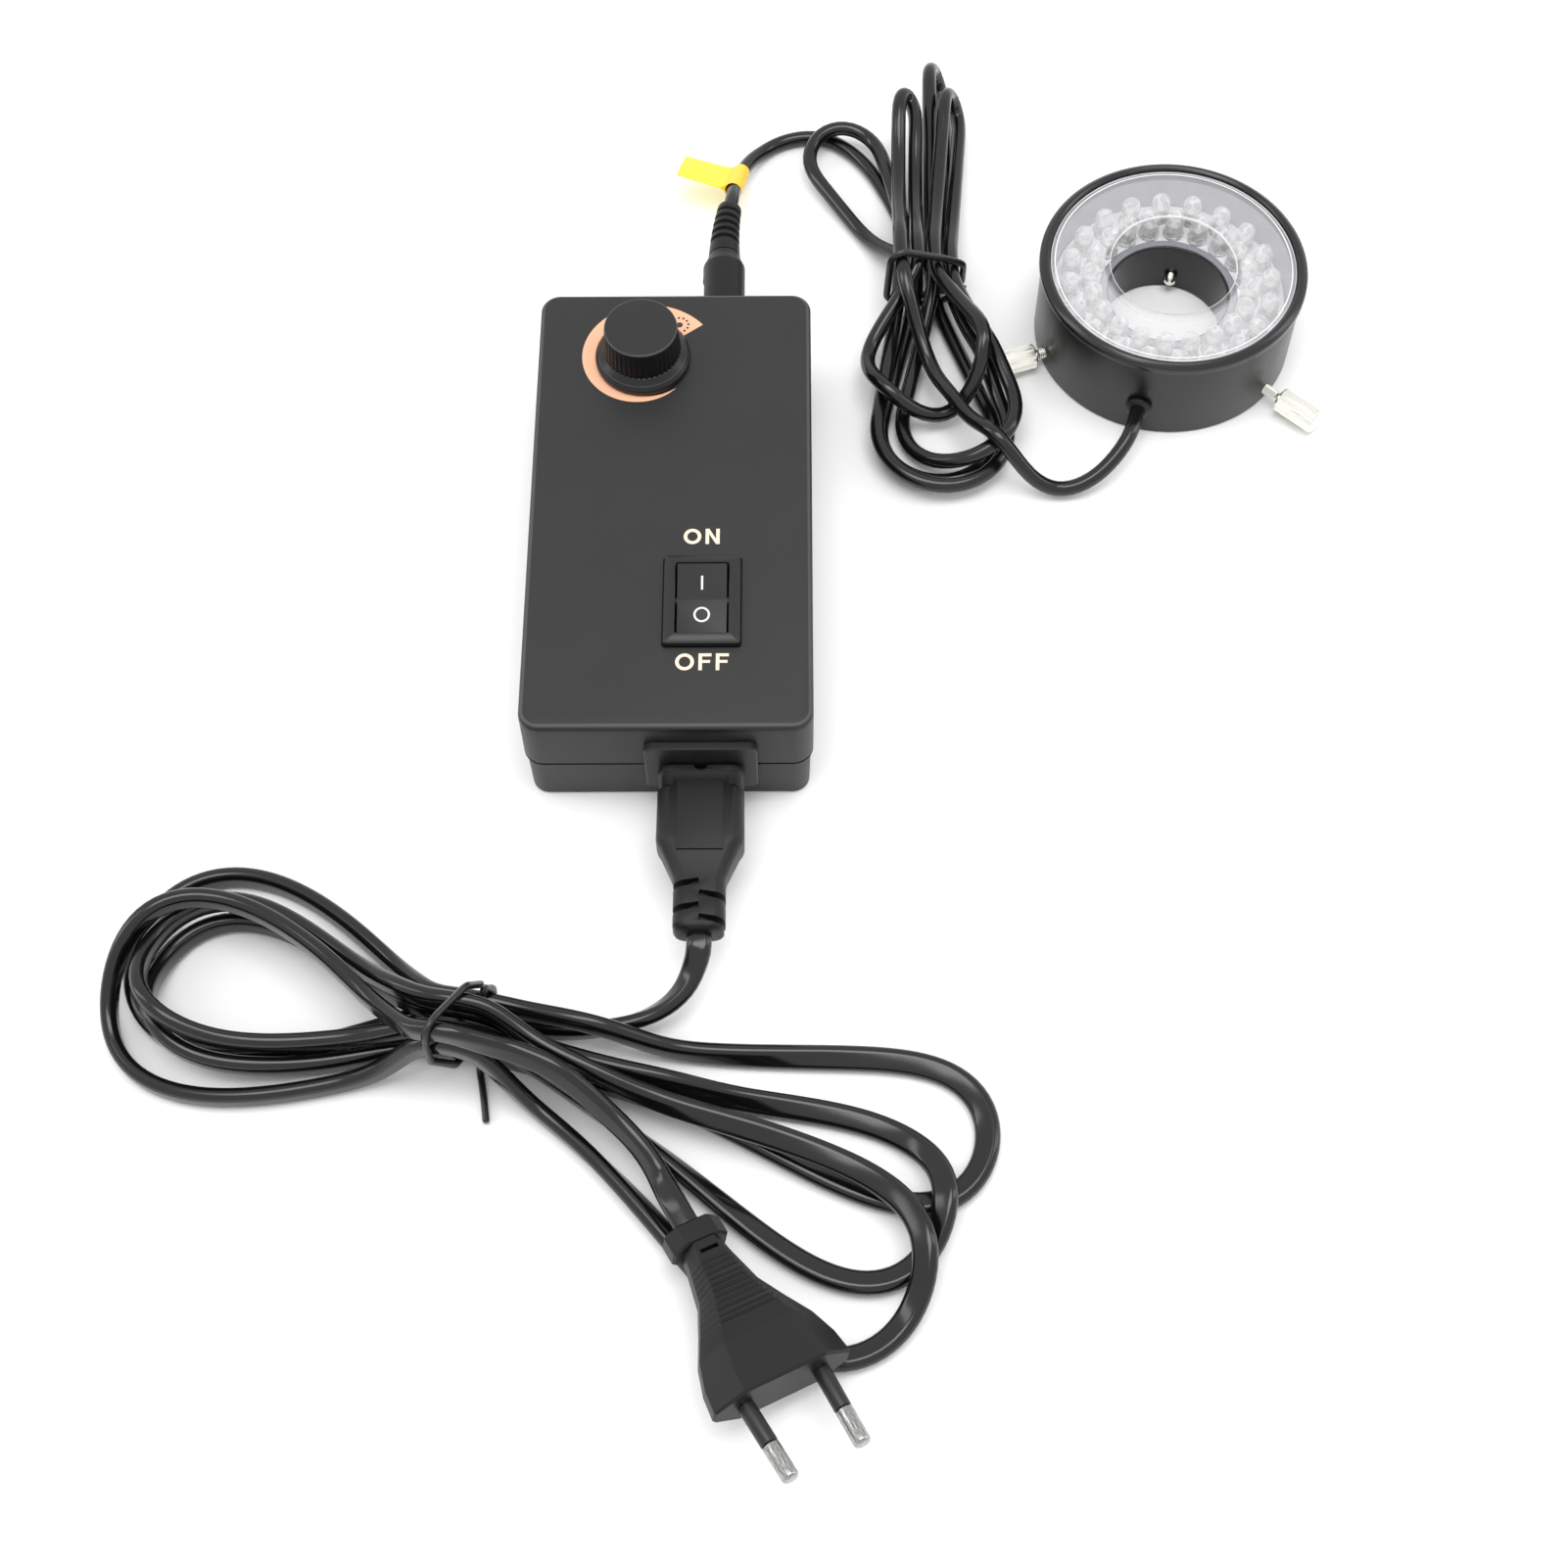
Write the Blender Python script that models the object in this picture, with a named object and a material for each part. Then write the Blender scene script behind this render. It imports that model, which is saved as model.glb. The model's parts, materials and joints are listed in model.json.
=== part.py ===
"""Microscope ring light with its dimmer box, lamp cable and mains lead.

Lengths are in metres and +Z is up. The origin is the middle of the control box's
underside, the mains side faces -Y and the ring head lies towards +X. Everything
rests on z = 0.
"""
import math

import bmesh
import bpy
import numpy as np
from mathutils import Matrix, Vector

# Shared clearances
GAP = 0.0003  # between pieces that touch
OVERRUN = 0.002  # how far a cutter passes the face that it opens
WELD = 0.0008  # how far joined shapes run into each other

# Control box
CASE_LENGTH = 0.131
CASE_WIDTH = 0.070
CASE_HEIGHT = 0.033
CASE_CORNER = 0.005
CASE_WALL = 0.0022
SEAM_HEIGHT = 0.015
SEAM_STEP = 0.0006
SIDE_DRAFT = 0.0008
TOP_EDGE = 0.0015
FOOT_EDGE = 0.0012
CASE_SCREW_INSET_X = 0.0065
CASE_SCREW_INSET_Y = 0.0085
CASE_SCREW_HEAD_RADIUS = 0.0029
CASE_SCREW_HEAD_HEIGHT = 0.0017
CASE_SCREW_SINK = 0.0005
CASE_SCREW_SHANK_RADIUS = 0.00115
CASE_SCREW_TIP_ROOM = 0.0068  # from its tip to the top of the box
CASE_SCREW_SLOT_WIDTH = 0.0008
CASE_SCREW_SLOT_DEPTH = 0.0007
SCREW_HOLE_PLAY = 0.0006
LOWER_BOSS_WALL = 0.0012
UPPER_BOSS_RADIUS = 0.0031
CORNER_LEFT_SHARE = 0.25  # of the corner's radius, left however far an outline is drawn in

# Dimmer knob and potentiometer
KNOB_X = -0.008
KNOB_FROM_BACK = 0.0215
SKIRT_RADIUS = 0.0121
SKIRT_EDGE = 0.0015
SKIRT_SHOULDER_RADIUS = 0.0103
SKIRT_HEIGHT = 0.0035
GRIP_RADIUS = 0.0098
GRIP_TOP_RADIUS = 0.0092
GRIP_CROWN_RADIUS = 0.0086
GRIP_CROWN_HEIGHT = 0.0009
KNOB_HEIGHT = 0.0124
KNOB_ROOF = 0.0026
KNOB_SKIN = 0.0018
RIB_DEPTH = 0.0004
RIB_COUNT = 20
SHAFT_RADIUS = 0.0023
BUSHING_RADIUS = 0.0035
BUSHING_RISE = 0.0028
POT_RADIUS = 0.008
POT_HEIGHT = 0.006
POT_FLOOR = 0.0008
POT_NUT_FLATS = 0.010
POT_NUT_HEIGHT = 0.002

# Rocker switch
SWITCH_X = 0.0082
SWITCH_FROM_FRONT = 0.0353
BEZEL_WIDTH = 0.0185
BEZEL_LENGTH = 0.0253
BEZEL_HEIGHT = 0.0019
BEZEL_SLOPE = 0.0004
BEZEL_CORNER = 0.0006
ROCKER_WIDTH = 0.0124
ROCKER_LENGTH = 0.0191
ROCKER_RISE = 0.0021
ROCKER_DROP = 0.0042
ROCKER_BODY = 0.0015
ROCKER_TILT = math.radians(6.0)
TRUNNION_RADIUS = 0.0012
TRUNNION_REACH = 0.0008
SWITCH_WALL = 0.00175
SWITCH_END_WALL = 0.0012
SWITCH_BASE = 0.002
TAB_WIDTH = 0.0048
TAB_THICKNESS = 0.0008
TAB_LENGTH = 0.0085
TAB_REACH = 0.0065
TAB_ROOM = 0.0024  # from a terminal down to the driver board
TAB_SPACING = 0.0095

# Mains inlet and the connector that is pushed into it
INLET_X = 0.00805
INLET_Z = 0.0154
FLANGE_WIDTH = 0.0271
FLANGE_HEIGHT = 0.0184
FLANGE_THICKNESS = 0.002
FLANGE_CORNER = 0.002
INLET_BODY_WIDTH = 0.023
INLET_BODY_HEIGHT = 0.0144
INLET_BODY_DEPTH = 0.0158
INLET_BODY_CORNER = 0.003
INLET_BACK = 0.004
LOBE_RADIUS = 0.00435
LOBE_OFFSET = 0.0043
INLET_PIN_RADIUS = 0.0012
INLET_PIN_LENGTH = 0.0175
INLET_PIN_TAIL = 0.003
NOSE_LENGTH = 0.0115
NOSE_PLAY = 0.0007
PIN_HOLE_DEPTH = 0.0105
CONNECTOR_WIDTH = 0.0207
CONNECTOR_THICKNESS = 0.012
CONNECTOR_CORNER = 0.0032
CONNECTOR_CORNER_SHARE = 0.34  # of the thickness, at most
CONNECTOR_RIM = 0.0020
CONNECTOR_WAIST_IN = 0.0009
CONNECTOR_WAIST_END = 0.0053
CONNECTOR_GRIP = 0.0202
CONNECTOR_SHOULDER = 0.0088
NECK_WIDTH = 0.0123
NECK_THICKNESS = 0.0095
RELIEF_LENGTH = 0.0135
RELIEF_END_ROUND = 0.0012
RELIEF_SLOT_WIDTH = 0.0013
RELIEF_SLOT_DEPTH = 0.0032
RELIEF_SLOT_PITCH = 0.0031
RELIEF_SLOT_COUNT = 4
CONNECTOR_PANEL_WIDTH = 0.0118
CONNECTOR_PANEL_LENGTH = 0.0165
CONNECTOR_PANEL_DEPTH = 0.0005

# Lamp socket, plug, its boot and the tag on the cable
JACK_X = 0.0118
JACK_Z = 0.015
JACK_TUBE_RADIUS = 0.004
JACK_BORE_RADIUS = 0.00305
JACK_BORE_DEPTH = 0.0106
JACK_RISE = 0.0031
JACK_BODY_WIDTH = 0.0095
JACK_BODY_HEIGHT = 0.011
JACK_BODY_DEPTH = 0.0115
JACK_NUT_FLATS = 0.011
JACK_NUT_HEIGHT = 0.002
PLUG_PLAY = 0.0004
BARREL_LENGTH = 0.0085
BARREL_WALL = 0.0006
BARREL_BORE_RADIUS = 0.00125
BARREL_BORE_DEPTH = 0.00425
COLLAR_RADIUS = 0.00565
COLLAR_LENGTH = 0.0215
COLLAR_CHAMFER = 0.0012
COLLAR_TAIL = 0.0025
BOOT_START_RADIUS = 0.00425
BOOT_END_RADIUS = 0.0032
BOOT_LENGTH = 0.0185
BOOT_GROOVES = 5
BOOT_GROOVE_DEPTH = 0.0007
BOOT_SWAY = 0.0013
BOOT_SAG = 0.0015
LABEL_THICKNESS = 0.0003
LABEL_WIDTH = 0.0105
LABEL_FLAG_LENGTH = 0.0135
LABEL_RUN = 0.0150
LABEL_DROOP = math.radians(24.0)
LABEL_PLAY = 0.0007
LABEL_INSET = 0.0003

# Ring head
RING_X = 0.13135
RING_Y = 0.07955
RING_RADIUS = 0.0347
RING_HEIGHT = 0.0251
RING_BORE_RADIUS = 0.016
RING_WALL = 0.0033
RING_FLOOR = 0.008
LEDGE_HEIGHT = 0.0137
LEDGE_WIDTH = 0.0016
HUB_HEIGHT = 0.0156
HUB_WALL = 0.0024
CHAMBER_WALL = 0.004
BOARD_THICKNESS = 0.0013
LED_RADIUS = 0.0025
LED_HEIGHT = 0.0086
LED_COUNT = 20
LED_EDGE = 0.0044  # from the wall to the outer circle of lamps
LED_CIRCLE_PITCH = 0.0057
LED_START = math.radians(1.0)
LED_SUNK = 0.0003
BEZEL_RING_OVERHANG = 0.0008
BEZEL_RING_SEAT = 0.0019
BEZEL_RING_HEIGHT = 0.003
BEZEL_RING_EDGE = 0.0006
WINDOW_THICKNESS = 0.002
WINDOW_TUBE_WALL = 0.0012
WINDOW_SET_IN = 0.0006
SCREW_ANGLES = [math.radians(angle) for angle in (78.0, 198.0, 318.0)]
SCREW_AXIS_HEIGHT = 0.004
SCREW_SHANK_RADIUS = 0.0015
SCREW_SHANK_LENGTH = 0.0245
SCREW_HEAD_RADIUS = 0.0035
SCREW_HEAD_LENGTH = 0.0121
SCREW_HEAD_CHAMFER = 0.0006
SCREW_HEAD_STANDS = (0.0033, 0.0026, 0.0049)
SCREW_FLUTES = 12
SCREW_FLUTE_DEPTH = 0.0003
GROMMET_ANGLE = math.radians(254.0)
GROMMET_HEIGHT = 0.0102
GROMMET_FLANGE_RADIUS = 0.0035
GROMMET_FLANGE = 0.0012
GROMMET_NECK_RADIUS = 0.0025
GROMMET_NECK_REACH = 0.0006

# Mains plug: two round pins that lean towards each other
PLUG_FACE = (0.02755, -0.2167, 0.0147)
PLUG_HEADING = math.radians(-60.2)
PLUG_PITCH = math.radians(6.0)
PLUG_ROLL = math.radians(12.0)
PLUG_LENGTH = 0.042
PLUG_HALF_THICKNESS = 0.0066
PLUG_HALF_WIDTH = 0.0168
PLUG_NECK_RADIUS = 0.0046
PLUG_COLLAR_HALF_WIDTH = 0.0068
PLUG_COLLAR_HALF_THICKNESS = 0.005
PLUG_COLLAR_LENGTH = 0.0055
PLUG_RIM = 0.0035
PLUG_FLAT_SHARE = 0.60  # of the width, on the flat top
PLUG_EDGE_SHARE = 0.42  # of half the thickness, at most
PLUG_ROUNDING_SHARE = 1 / 6  # of a section's side, cut at each corner
# share of the length, share of the half width
PLUG_OUTLINE_SHARES = ((0.214, 0.31), (0.421, 0.435), (0.571, 0.631), (0.714, 0.833), (0.857, 0.952),
                       (1.0, 1.0))
PLUG_FULL_THICKNESS_SHARE = 0.714  # of the length
PLUG_GRIP_GROOVES = 7
PLUG_GROOVE_WIDTH = 0.0007
PLUG_GROOVE_DEPTH = 0.0004
PLUG_GROOVE_PITCH = 0.0022
PLUG_GROOVE_START = 0.0125
PLUG_GROOVE_SHARE = 0.5  # of the width
PLUG_PIN_RADIUS = 0.002
PLUG_PIN_CORE_RADIUS = 0.0013
PLUG_PIN_LENGTH = 0.019
PLUG_SLEEVE_LENGTH = 0.010
PLUG_PIN_SPACING = 0.0186
PLUG_PIN_TIP_SPACING = 0.0175
PLUG_PIN_ROOT = 0.007
PLUG_PIN_TIP_SHARES = (0.8, 0.4)  # of the pin's radius, round its tip

# Circuit board and what it carries
BOARD_SIDE_MARGIN = 0.007  # from the box's sides
BOARD_FRONT_MARGIN = 0.0255
BOARD_BACK_MARGIN = 0.0175
DRIVER_BOARD_THICKNESS = 0.0016
STANDOFF_HEIGHT = 0.004
STANDOFF_RADIUS = 0.0022
STANDOFF_INSET = 0.0035
CORE_EDGE = 0.002  # from the board's edge, as the others here
CORE_Y = -0.020
CORE_WIDTH = 0.022
CORE_DEPTH = 0.012
CORE_HEADROOM = 0.0024  # from its top to the lid, as the others here
CORE_LEG = 0.0054
CORE_YOKE = 0.0035
CAPACITOR_EDGE = 0.006
CAPACITOR_Y = 0.010
CAPACITOR_RADIUS = 0.005
CAPACITOR_HEADROOM = 0.0054
CAPACITOR_CRIMP = 0.0004
CAPACITOR_CRIMP_HEIGHT = 0.0020
SINK_EDGE = 0.007
SINK_Y = 0.022
SINK_THICKNESS = 0.002
SINK_LENGTH = 0.018
SINK_HEADROOM = 0.0064
SINK_FIN_REACH = 0.004
SINK_FIN_THICKNESS = 0.0012
SINK_FINS = 4
TRANSISTOR_WIDTH = 0.0102
TRANSISTOR_THICKNESS = 0.0045
TRANSISTOR_LEG_LENGTH = 0.0035
TRANSISTOR_LEG_WIDTH = 0.0009
TRANSISTOR_LEG_PITCH = 0.00254
FUSE_EDGE = 0.0045
FUSE_Y = -0.006
FUSE_LENGTH = 0.020
FUSE_CAP_RADIUS = 0.003
FUSE_GLASS_RADIUS = 0.0026
FUSE_CAP_LENGTH = 0.0055

# Cords: the mains lead is flat, the lamp cable is round
LEAD_WIDTH = 0.006
LEAD_THICKNESS = 0.0037
CABLE_DIAMETER = 0.004
CORD_SPACE = 0.0012  # kept between stretches that lie on each other
TIE_THICKNESS = 0.0011
TIE_BAND = 0.0030
TIE_PLAY = 0.0007
TIE_REACH = 0.0120  # to each side of the waist's middle
TIE_TAIL_LENGTH = 0.009
TIE_TAIL_SHARE = 0.7  # of the band's width
ROUTE_STEP = 0.002
GAP_SAMPLE = 0.001
PASS_REACH = 0.003
BEND_RUN = 0.0005  # run over which a turn in plan is eased
CLIMB_RUN = 0.010  # run over which a climb is eased
EXIT_RUN = 0.014  # run at each end that keeps its own line
SETTLED = 0.00002
SETTLE_ROUNDS = 400
TINY = 1e-7
END_CLEAR_SHARE = 1.6  # of the thickness, kept free of points at a stretch's ends
NEIGHBOUR_SHARE = 3  # of the thickness, within which a cord is its own neighbour
LEG_STEPS = 6
BEND_STEPS = 12
PETAL_STEPS = 24
PETAL_BLUNT_SHARE = 3.0
PETAL_BLUNT_LEAST_SHARE = 0.35
PETAL_BLUNT_MOST_SHARE = 1.8
LIE_RISE_SHARE = 2.5
LIE_DROP_SHARE = 0.6

# Mains lead: its tie, the lanes through the tie and the loops on both sides
LEAD_WAIST = (-0.0470, -0.1326)
LEAD_WAIST_HEADING = math.radians(-9.0)
LEAD_LANE = 0.0049
LEAD_DOOR = 0.007
LEAD_LANE_SHARES = (1.5, 1.5, -0.5, 0.5, -0.5, 0.5, -1.5, -1.5)
LEAD_SKIP = 0.012
LEAD_STEPS = (0.031, 0.58)  # straight run and turn from one point to the next
# length, width and heading in degrees of each loop
LEAD_LEFT_LOOPS = ((0.082, 0.046, 166.5), (0.075, 0.036, 166.5), (0.077, 0.034, 163.5),
                   (0.084, 0.044, 163.5))
LEAD_RIGHT_LOOPS = ((0.124, 0.030, -13.8), (0.119, 0.035, -24.0), (0.121, 0.038, -32.5))
LEAD_EDGE_TILT = math.radians(88.0)
LEAD_FLAT_TILT = math.radians(20.0)
LEAD_END_TILT = math.radians(60.0)
LEAD_START_RUN = ((0.0072, -0.1170, 0.0122), (0.0048, -0.1220, 0.0095), (-0.0010, -0.1262, 0.0064),
                  (-0.0100, -0.1290, 0.0048), (-0.0240, -0.1305, 0.0048))
LEAD_END_RUN = ((-0.0310, -0.1425, 0.0), (-0.0135, -0.1524, 0.0), (-0.0030, -0.1625, 0.0))

# Lamp cable: the same
CABLE_WAIST = (0.0666, 0.0935)
CABLE_WAIST_HEADING = math.radians(-90.0)
CABLE_LANE = 0.0047
CABLE_DOOR = 0.005
CABLE_LANE_SHARES = (0.5, -0.5, -1.5, 1.5, 0.5, 1.5, 0.5, -0.5, -1.5)
CABLE_SKIP = 0.009
CABLE_STEPS = (0.020, 0.52)
# length, width, heading and lean in degrees of each loop
CABLE_LOW_LOOPS = ((0.066, 0.031, -87.0, 0.0), (0.070, 0.035, -86.0, 0.0), (0.063, 0.030, -86.0, 0.0),
                   (0.047, 0.031, -92.0, 0.0))
CABLE_HIGH_LOOPS = ((0.058, 0.021, 113.0, 12.0), (0.074, 0.016, 89.5, 72.0), (0.062, 0.016, 85.0, 72.0),
                    (0.057, 0.016, 89.0, 72.0))
CABLE_START_RUN = ((0.0142, 0.1230, 0.0098), (0.0160, 0.1320, 0.0060), (0.0195, 0.1400, 0.0035),
                   (0.0260, 0.1466, 0.0), (0.0363, 0.1492, 0.0), (0.0442, 0.1460, 0.0),
                   (0.0515, 0.1380, 0.0), (0.0575, 0.1260, 0.0), (0.0622, 0.1130, 0.0))
CABLE_END_RUN = ((0.0605, 0.0825, 0.0), (0.0665, 0.0640, 0.0), (0.0738, 0.0466, 0.0),
                 (0.0818, 0.0345, 0.0), (0.0911, 0.0268, 0.0), (0.1000, 0.0242, 0.0020),
                 (0.1075, 0.0256, 0.0042), (0.1138, 0.0300, 0.0070))

# Facets of round things
FINE_SIDES = 40
ROUND_SIDES = 24
SMALL_SIDES = 12
LAMP_SIDES = 6
SCREW_SIDES = 8
BOOT_SIDES = 10
BOOT_GROOVE_STEPS = 4
CORNER_STEPS = 3
FINE_SAMPLES = 16
SHARP_ANGLE = math.radians(35.0)


# Finishes

def finish(name, colour, roughness, metallic=0.0, transmission=0.0):
    """A Principled material in the piece's own colour."""
    made = bpy.data.materials.new(name)
    made.use_nodes = True
    shader = made.node_tree.nodes["Principled BSDF"]
    shader.inputs["Base Color"].default_value = (*colour, 1.0)
    shader.inputs["Roughness"].default_value = roughness
    shader.inputs["Metallic"].default_value = metallic
    shader.inputs["Transmission Weight"].default_value = transmission
    made.diffuse_color = (*colour, 1.0)
    return made


# Solids: each is a pair of a vertex list and a face list

def circle(radius, sides, x=0.0, y=0.0):
    """Points of a circle in plan, anticlockwise."""
    turns = [2 * math.pi * step / sides for step in range(sides)]
    return [(x + radius * math.cos(turn), y + radius * math.sin(turn)) for turn in turns]


def rounded(half_x, half_y, corner):
    """Points of a rectangle with round corners, anticlockwise from +X."""
    points = []
    for quarter, (side_x, side_y) in enumerate(((1, 1), (-1, 1), (-1, -1), (1, -1))):
        for step in range(CORNER_STEPS + 1):
            turn = math.pi / 2 * (quarter + step / CORNER_STEPS)
            points.append((side_x * (half_x - corner) + corner * math.cos(turn),
                           side_y * (half_y - corner) + corner * math.sin(turn)))
    return points


def figure_eight(lobe, offset, sides):
    """Points round two equal circles that run into each other along X."""
    open_angle = math.acos(min(1.0, offset / lobe))
    points = []
    for side in (0, 1):
        centre = offset * (1 - 2 * side)
        for step in range(sides + 1):
            sweep = -(math.pi - open_angle) + 2 * (math.pi - open_angle) * step / sides
            turn = math.pi * side + sweep
            if side and step == 0 or side and step == sides:
                continue
            points.append((centre + lobe * math.cos(turn), lobe * math.sin(turn)))
    return points


def level(outline, height):
    """An outline lifted to a height."""
    return [Vector((x, y, height)) for x, y in outline]


def skin(rings, closed=False):
    """Joins rings of points into one closed solid; one point is a tip."""
    verts, starts = [], []
    for ring in rings:
        starts.append(len(verts))
        verts.extend(Vector(point) for point in ring)
    faces = []
    pairs = list(zip(range(len(rings)), range(1, len(rings))))
    if closed:
        pairs.append((len(rings) - 1, 0))
    for low, high in pairs:
        count = max(len(rings[low]), len(rings[high]))
        for step in range(count):
            after = (step + 1) % count
            corners = []
            for ring, picks in ((low, (step, after)), (high, (after, step))):
                if len(rings[ring]) == 1:
                    corners.append(starts[ring])
                else:
                    corners.extend(starts[ring] + pick for pick in picks)
            faces.append(tuple(corners))
    if not closed:
        for index in (0, len(rings) - 1):
            if len(rings[index]) > 2:
                faces.append(tuple(range(starts[index], starts[index] + len(rings[index]))))
    return verts, faces


def turned(profile, sides, closed=False):
    """Revolves (radius, height) rows about Z; a closed profile leaves a bore."""
    rings = []
    for radius, height in profile:
        if radius == 0.0:
            rings.append([Vector((0.0, 0.0, height))])
        else:
            rings.append(level(circle(radius, sides), height))
    return skin(rings, closed)


def prism(outline, low, high):
    """An outline extruded between two heights."""
    return skin([level(outline, low), level(outline, high)])


def block(low, high):
    """A box between two corners."""
    (x0, y0, z0), (x1, y1, z1) = low, high
    return prism([(x0, y0), (x1, y0), (x1, y1), (x0, y1)], z0, z1)


def rod(radius, low, high, sides=SMALL_SIDES, x=0.0, y=0.0):
    """A plain round bar along Z."""
    return prism(circle(radius, sides, x, y), low, high)


def moved(solid, frame):
    """A solid carried into another frame."""
    verts, faces = solid
    return [frame @ vert for vert in verts], faces


def shifted(solid, x=0.0, y=0.0, z=0.0):
    """A solid moved sideways."""
    return moved(solid, Matrix.Translation((x, y, z)))


def merged(*solids):
    """Several solids that don't touch, as one cutter or one addition."""
    verts, faces = [], []
    for more_verts, more_faces in solids:
        base = len(verts)
        verts.extend(more_verts)
        faces.extend(tuple(base + index for index in face) for face in more_faces)
    return verts, faces


ALONG_X = Matrix(((0, 0, 1), (1, 0, 0), (0, 1, 0))).to_4x4()
ALONG_Y = Matrix(((-1, 0, 0), (0, 0, 1), (0, 1, 0))).to_4x4()


# Objects

def mesh_of(name, solid):
    """A mesh with its faces pointing out."""
    verts, faces = solid
    mesh = bpy.data.meshes.new(name)
    mesh.from_pydata([tuple(vert) for vert in verts], [], faces)
    shape = bmesh.new()
    shape.from_mesh(mesh)
    bmesh.ops.recalc_face_normals(shape, faces=shape.faces)
    shape.to_mesh(mesh)
    shape.free()
    return mesh


def empty(name, location=(0.0, 0.0, 0.0)):
    """A parent for a sub-assembly."""
    made = bpy.data.objects.new(name, None)
    made.location = location
    bpy.context.collection.objects.link(made)
    return made


def place(made, parent, location, rotation):
    """Links an object under its parent."""
    bpy.context.collection.objects.link(made)
    made.parent = parent
    made.location = location
    made.rotation_euler = rotation
    return made


def piece(name, solid, look, parent, location=(0, 0, 0), rotation=(0, 0, 0), joins=(), cuts=()):
    """One named sub-part, with the shapes that join it and the shapes cut from it."""
    made = place(bpy.data.objects.new(name, mesh_of(name, solid)), parent, location, rotation)
    made.data.materials.append(look)
    made.data.shade_smooth()
    made.data.set_sharp_from_angle(angle=SHARP_ANGLE)
    for mode, shapes in (("UNION", joins), ("DIFFERENCE", cuts)):
        for number, shape in enumerate(shapes):
            helper_name = f"{name}_{mode.lower()}_{number}"
            helper = bpy.data.objects.new(helper_name, mesh_of(helper_name, shape))
            place(helper, parent, location, rotation)
            helper.hide_render = True
            helper.display_type = "WIRE"
            change = made.modifiers.new(helper_name, "BOOLEAN")
            change.operation = mode
            change.solver = "EXACT"
            change.object = helper
    return made


def tube(name, points, look, parent, width, thickness, detail, tilts=None):
    """An unbroken tube through points; a flat one is wider than it is thick."""
    curve = bpy.data.curves.new(name, "CURVE")
    curve.dimensions = "3D"
    curve.twist_mode = "Z_UP"
    curve.fill_mode = "FULL"
    curve.use_fill_caps = True
    curve.bevel_depth = thickness / 2
    curve.extrude = (width - thickness) / 2
    curve.bevel_resolution = detail
    spline = curve.splines.new("POLY")
    spline.points.add(len(points) - 1)
    for index, point in enumerate(points):
        spline.points[index].co = (*point, 1.0)
        spline.points[index].tilt = 0.0 if tilts is None else tilts[index]
    curve.materials.append(look)
    return place(bpy.data.objects.new(name, curve), parent, (0, 0, 0), (0, 0, 0))


# Control box

CASE_HALF_X = CASE_WIDTH / 2
CASE_HALF_Y = CASE_LENGTH / 2
CASE_CEILING = CASE_HEIGHT - CASE_WALL
CASE_TOP_START = SEAM_HEIGHT + GAP
CASE_SCREW_PLACES = [(side_x * (CASE_HALF_X - CASE_SCREW_INSET_X),
                      side_y * (CASE_HALF_Y - CASE_SCREW_INSET_Y))
                     for side_x in (-1, 1) for side_y in (-1, 1)]
BOARD_WIDTH = CASE_WIDTH - BOARD_SIDE_MARGIN * 2
BOARD_LENGTH = CASE_LENGTH - BOARD_FRONT_MARGIN - BOARD_BACK_MARGIN
BOARD_Y = (BOARD_FRONT_MARGIN - BOARD_BACK_MARGIN) / 2
BOARD_UNDERSIDE = CASE_WALL + STANDOFF_HEIGHT + GAP
BOARD_TOP = BOARD_UNDERSIDE + DRIVER_BOARD_THICKNESS
PART_LEVEL = BOARD_TOP + GAP


def case_outline(inset):
    """The box's plan, drawn in by an inset."""
    corner = max(CASE_CORNER - inset, CASE_CORNER * CORNER_LEFT_SHARE)
    return rounded(CASE_HALF_X - inset, CASE_HALF_Y - inset, corner)


def wall_openings():
    """Cutters for the mains inlet and the lamp socket, which straddle the seam."""
    inlet = rounded(INLET_BODY_WIDTH / 2 + GAP, INLET_BODY_HEIGHT / 2 + GAP, INLET_BODY_CORNER)
    through = CASE_HALF_Y - CASE_WALL - SEAM_STEP - SIDE_DRAFT - OVERRUN
    inlet_cut = prism(inlet, -CASE_HALF_Y - OVERRUN, -through)
    jack_cut = rod(JACK_TUBE_RADIUS + GAP, through, CASE_HALF_Y + OVERRUN, ROUND_SIDES)
    return merged(shifted(moved(inlet_cut, ALONG_Y), x=INLET_X, z=INLET_Z),
                  shifted(moved(jack_cut, ALONG_Y), x=JACK_X, z=JACK_Z))


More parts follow.
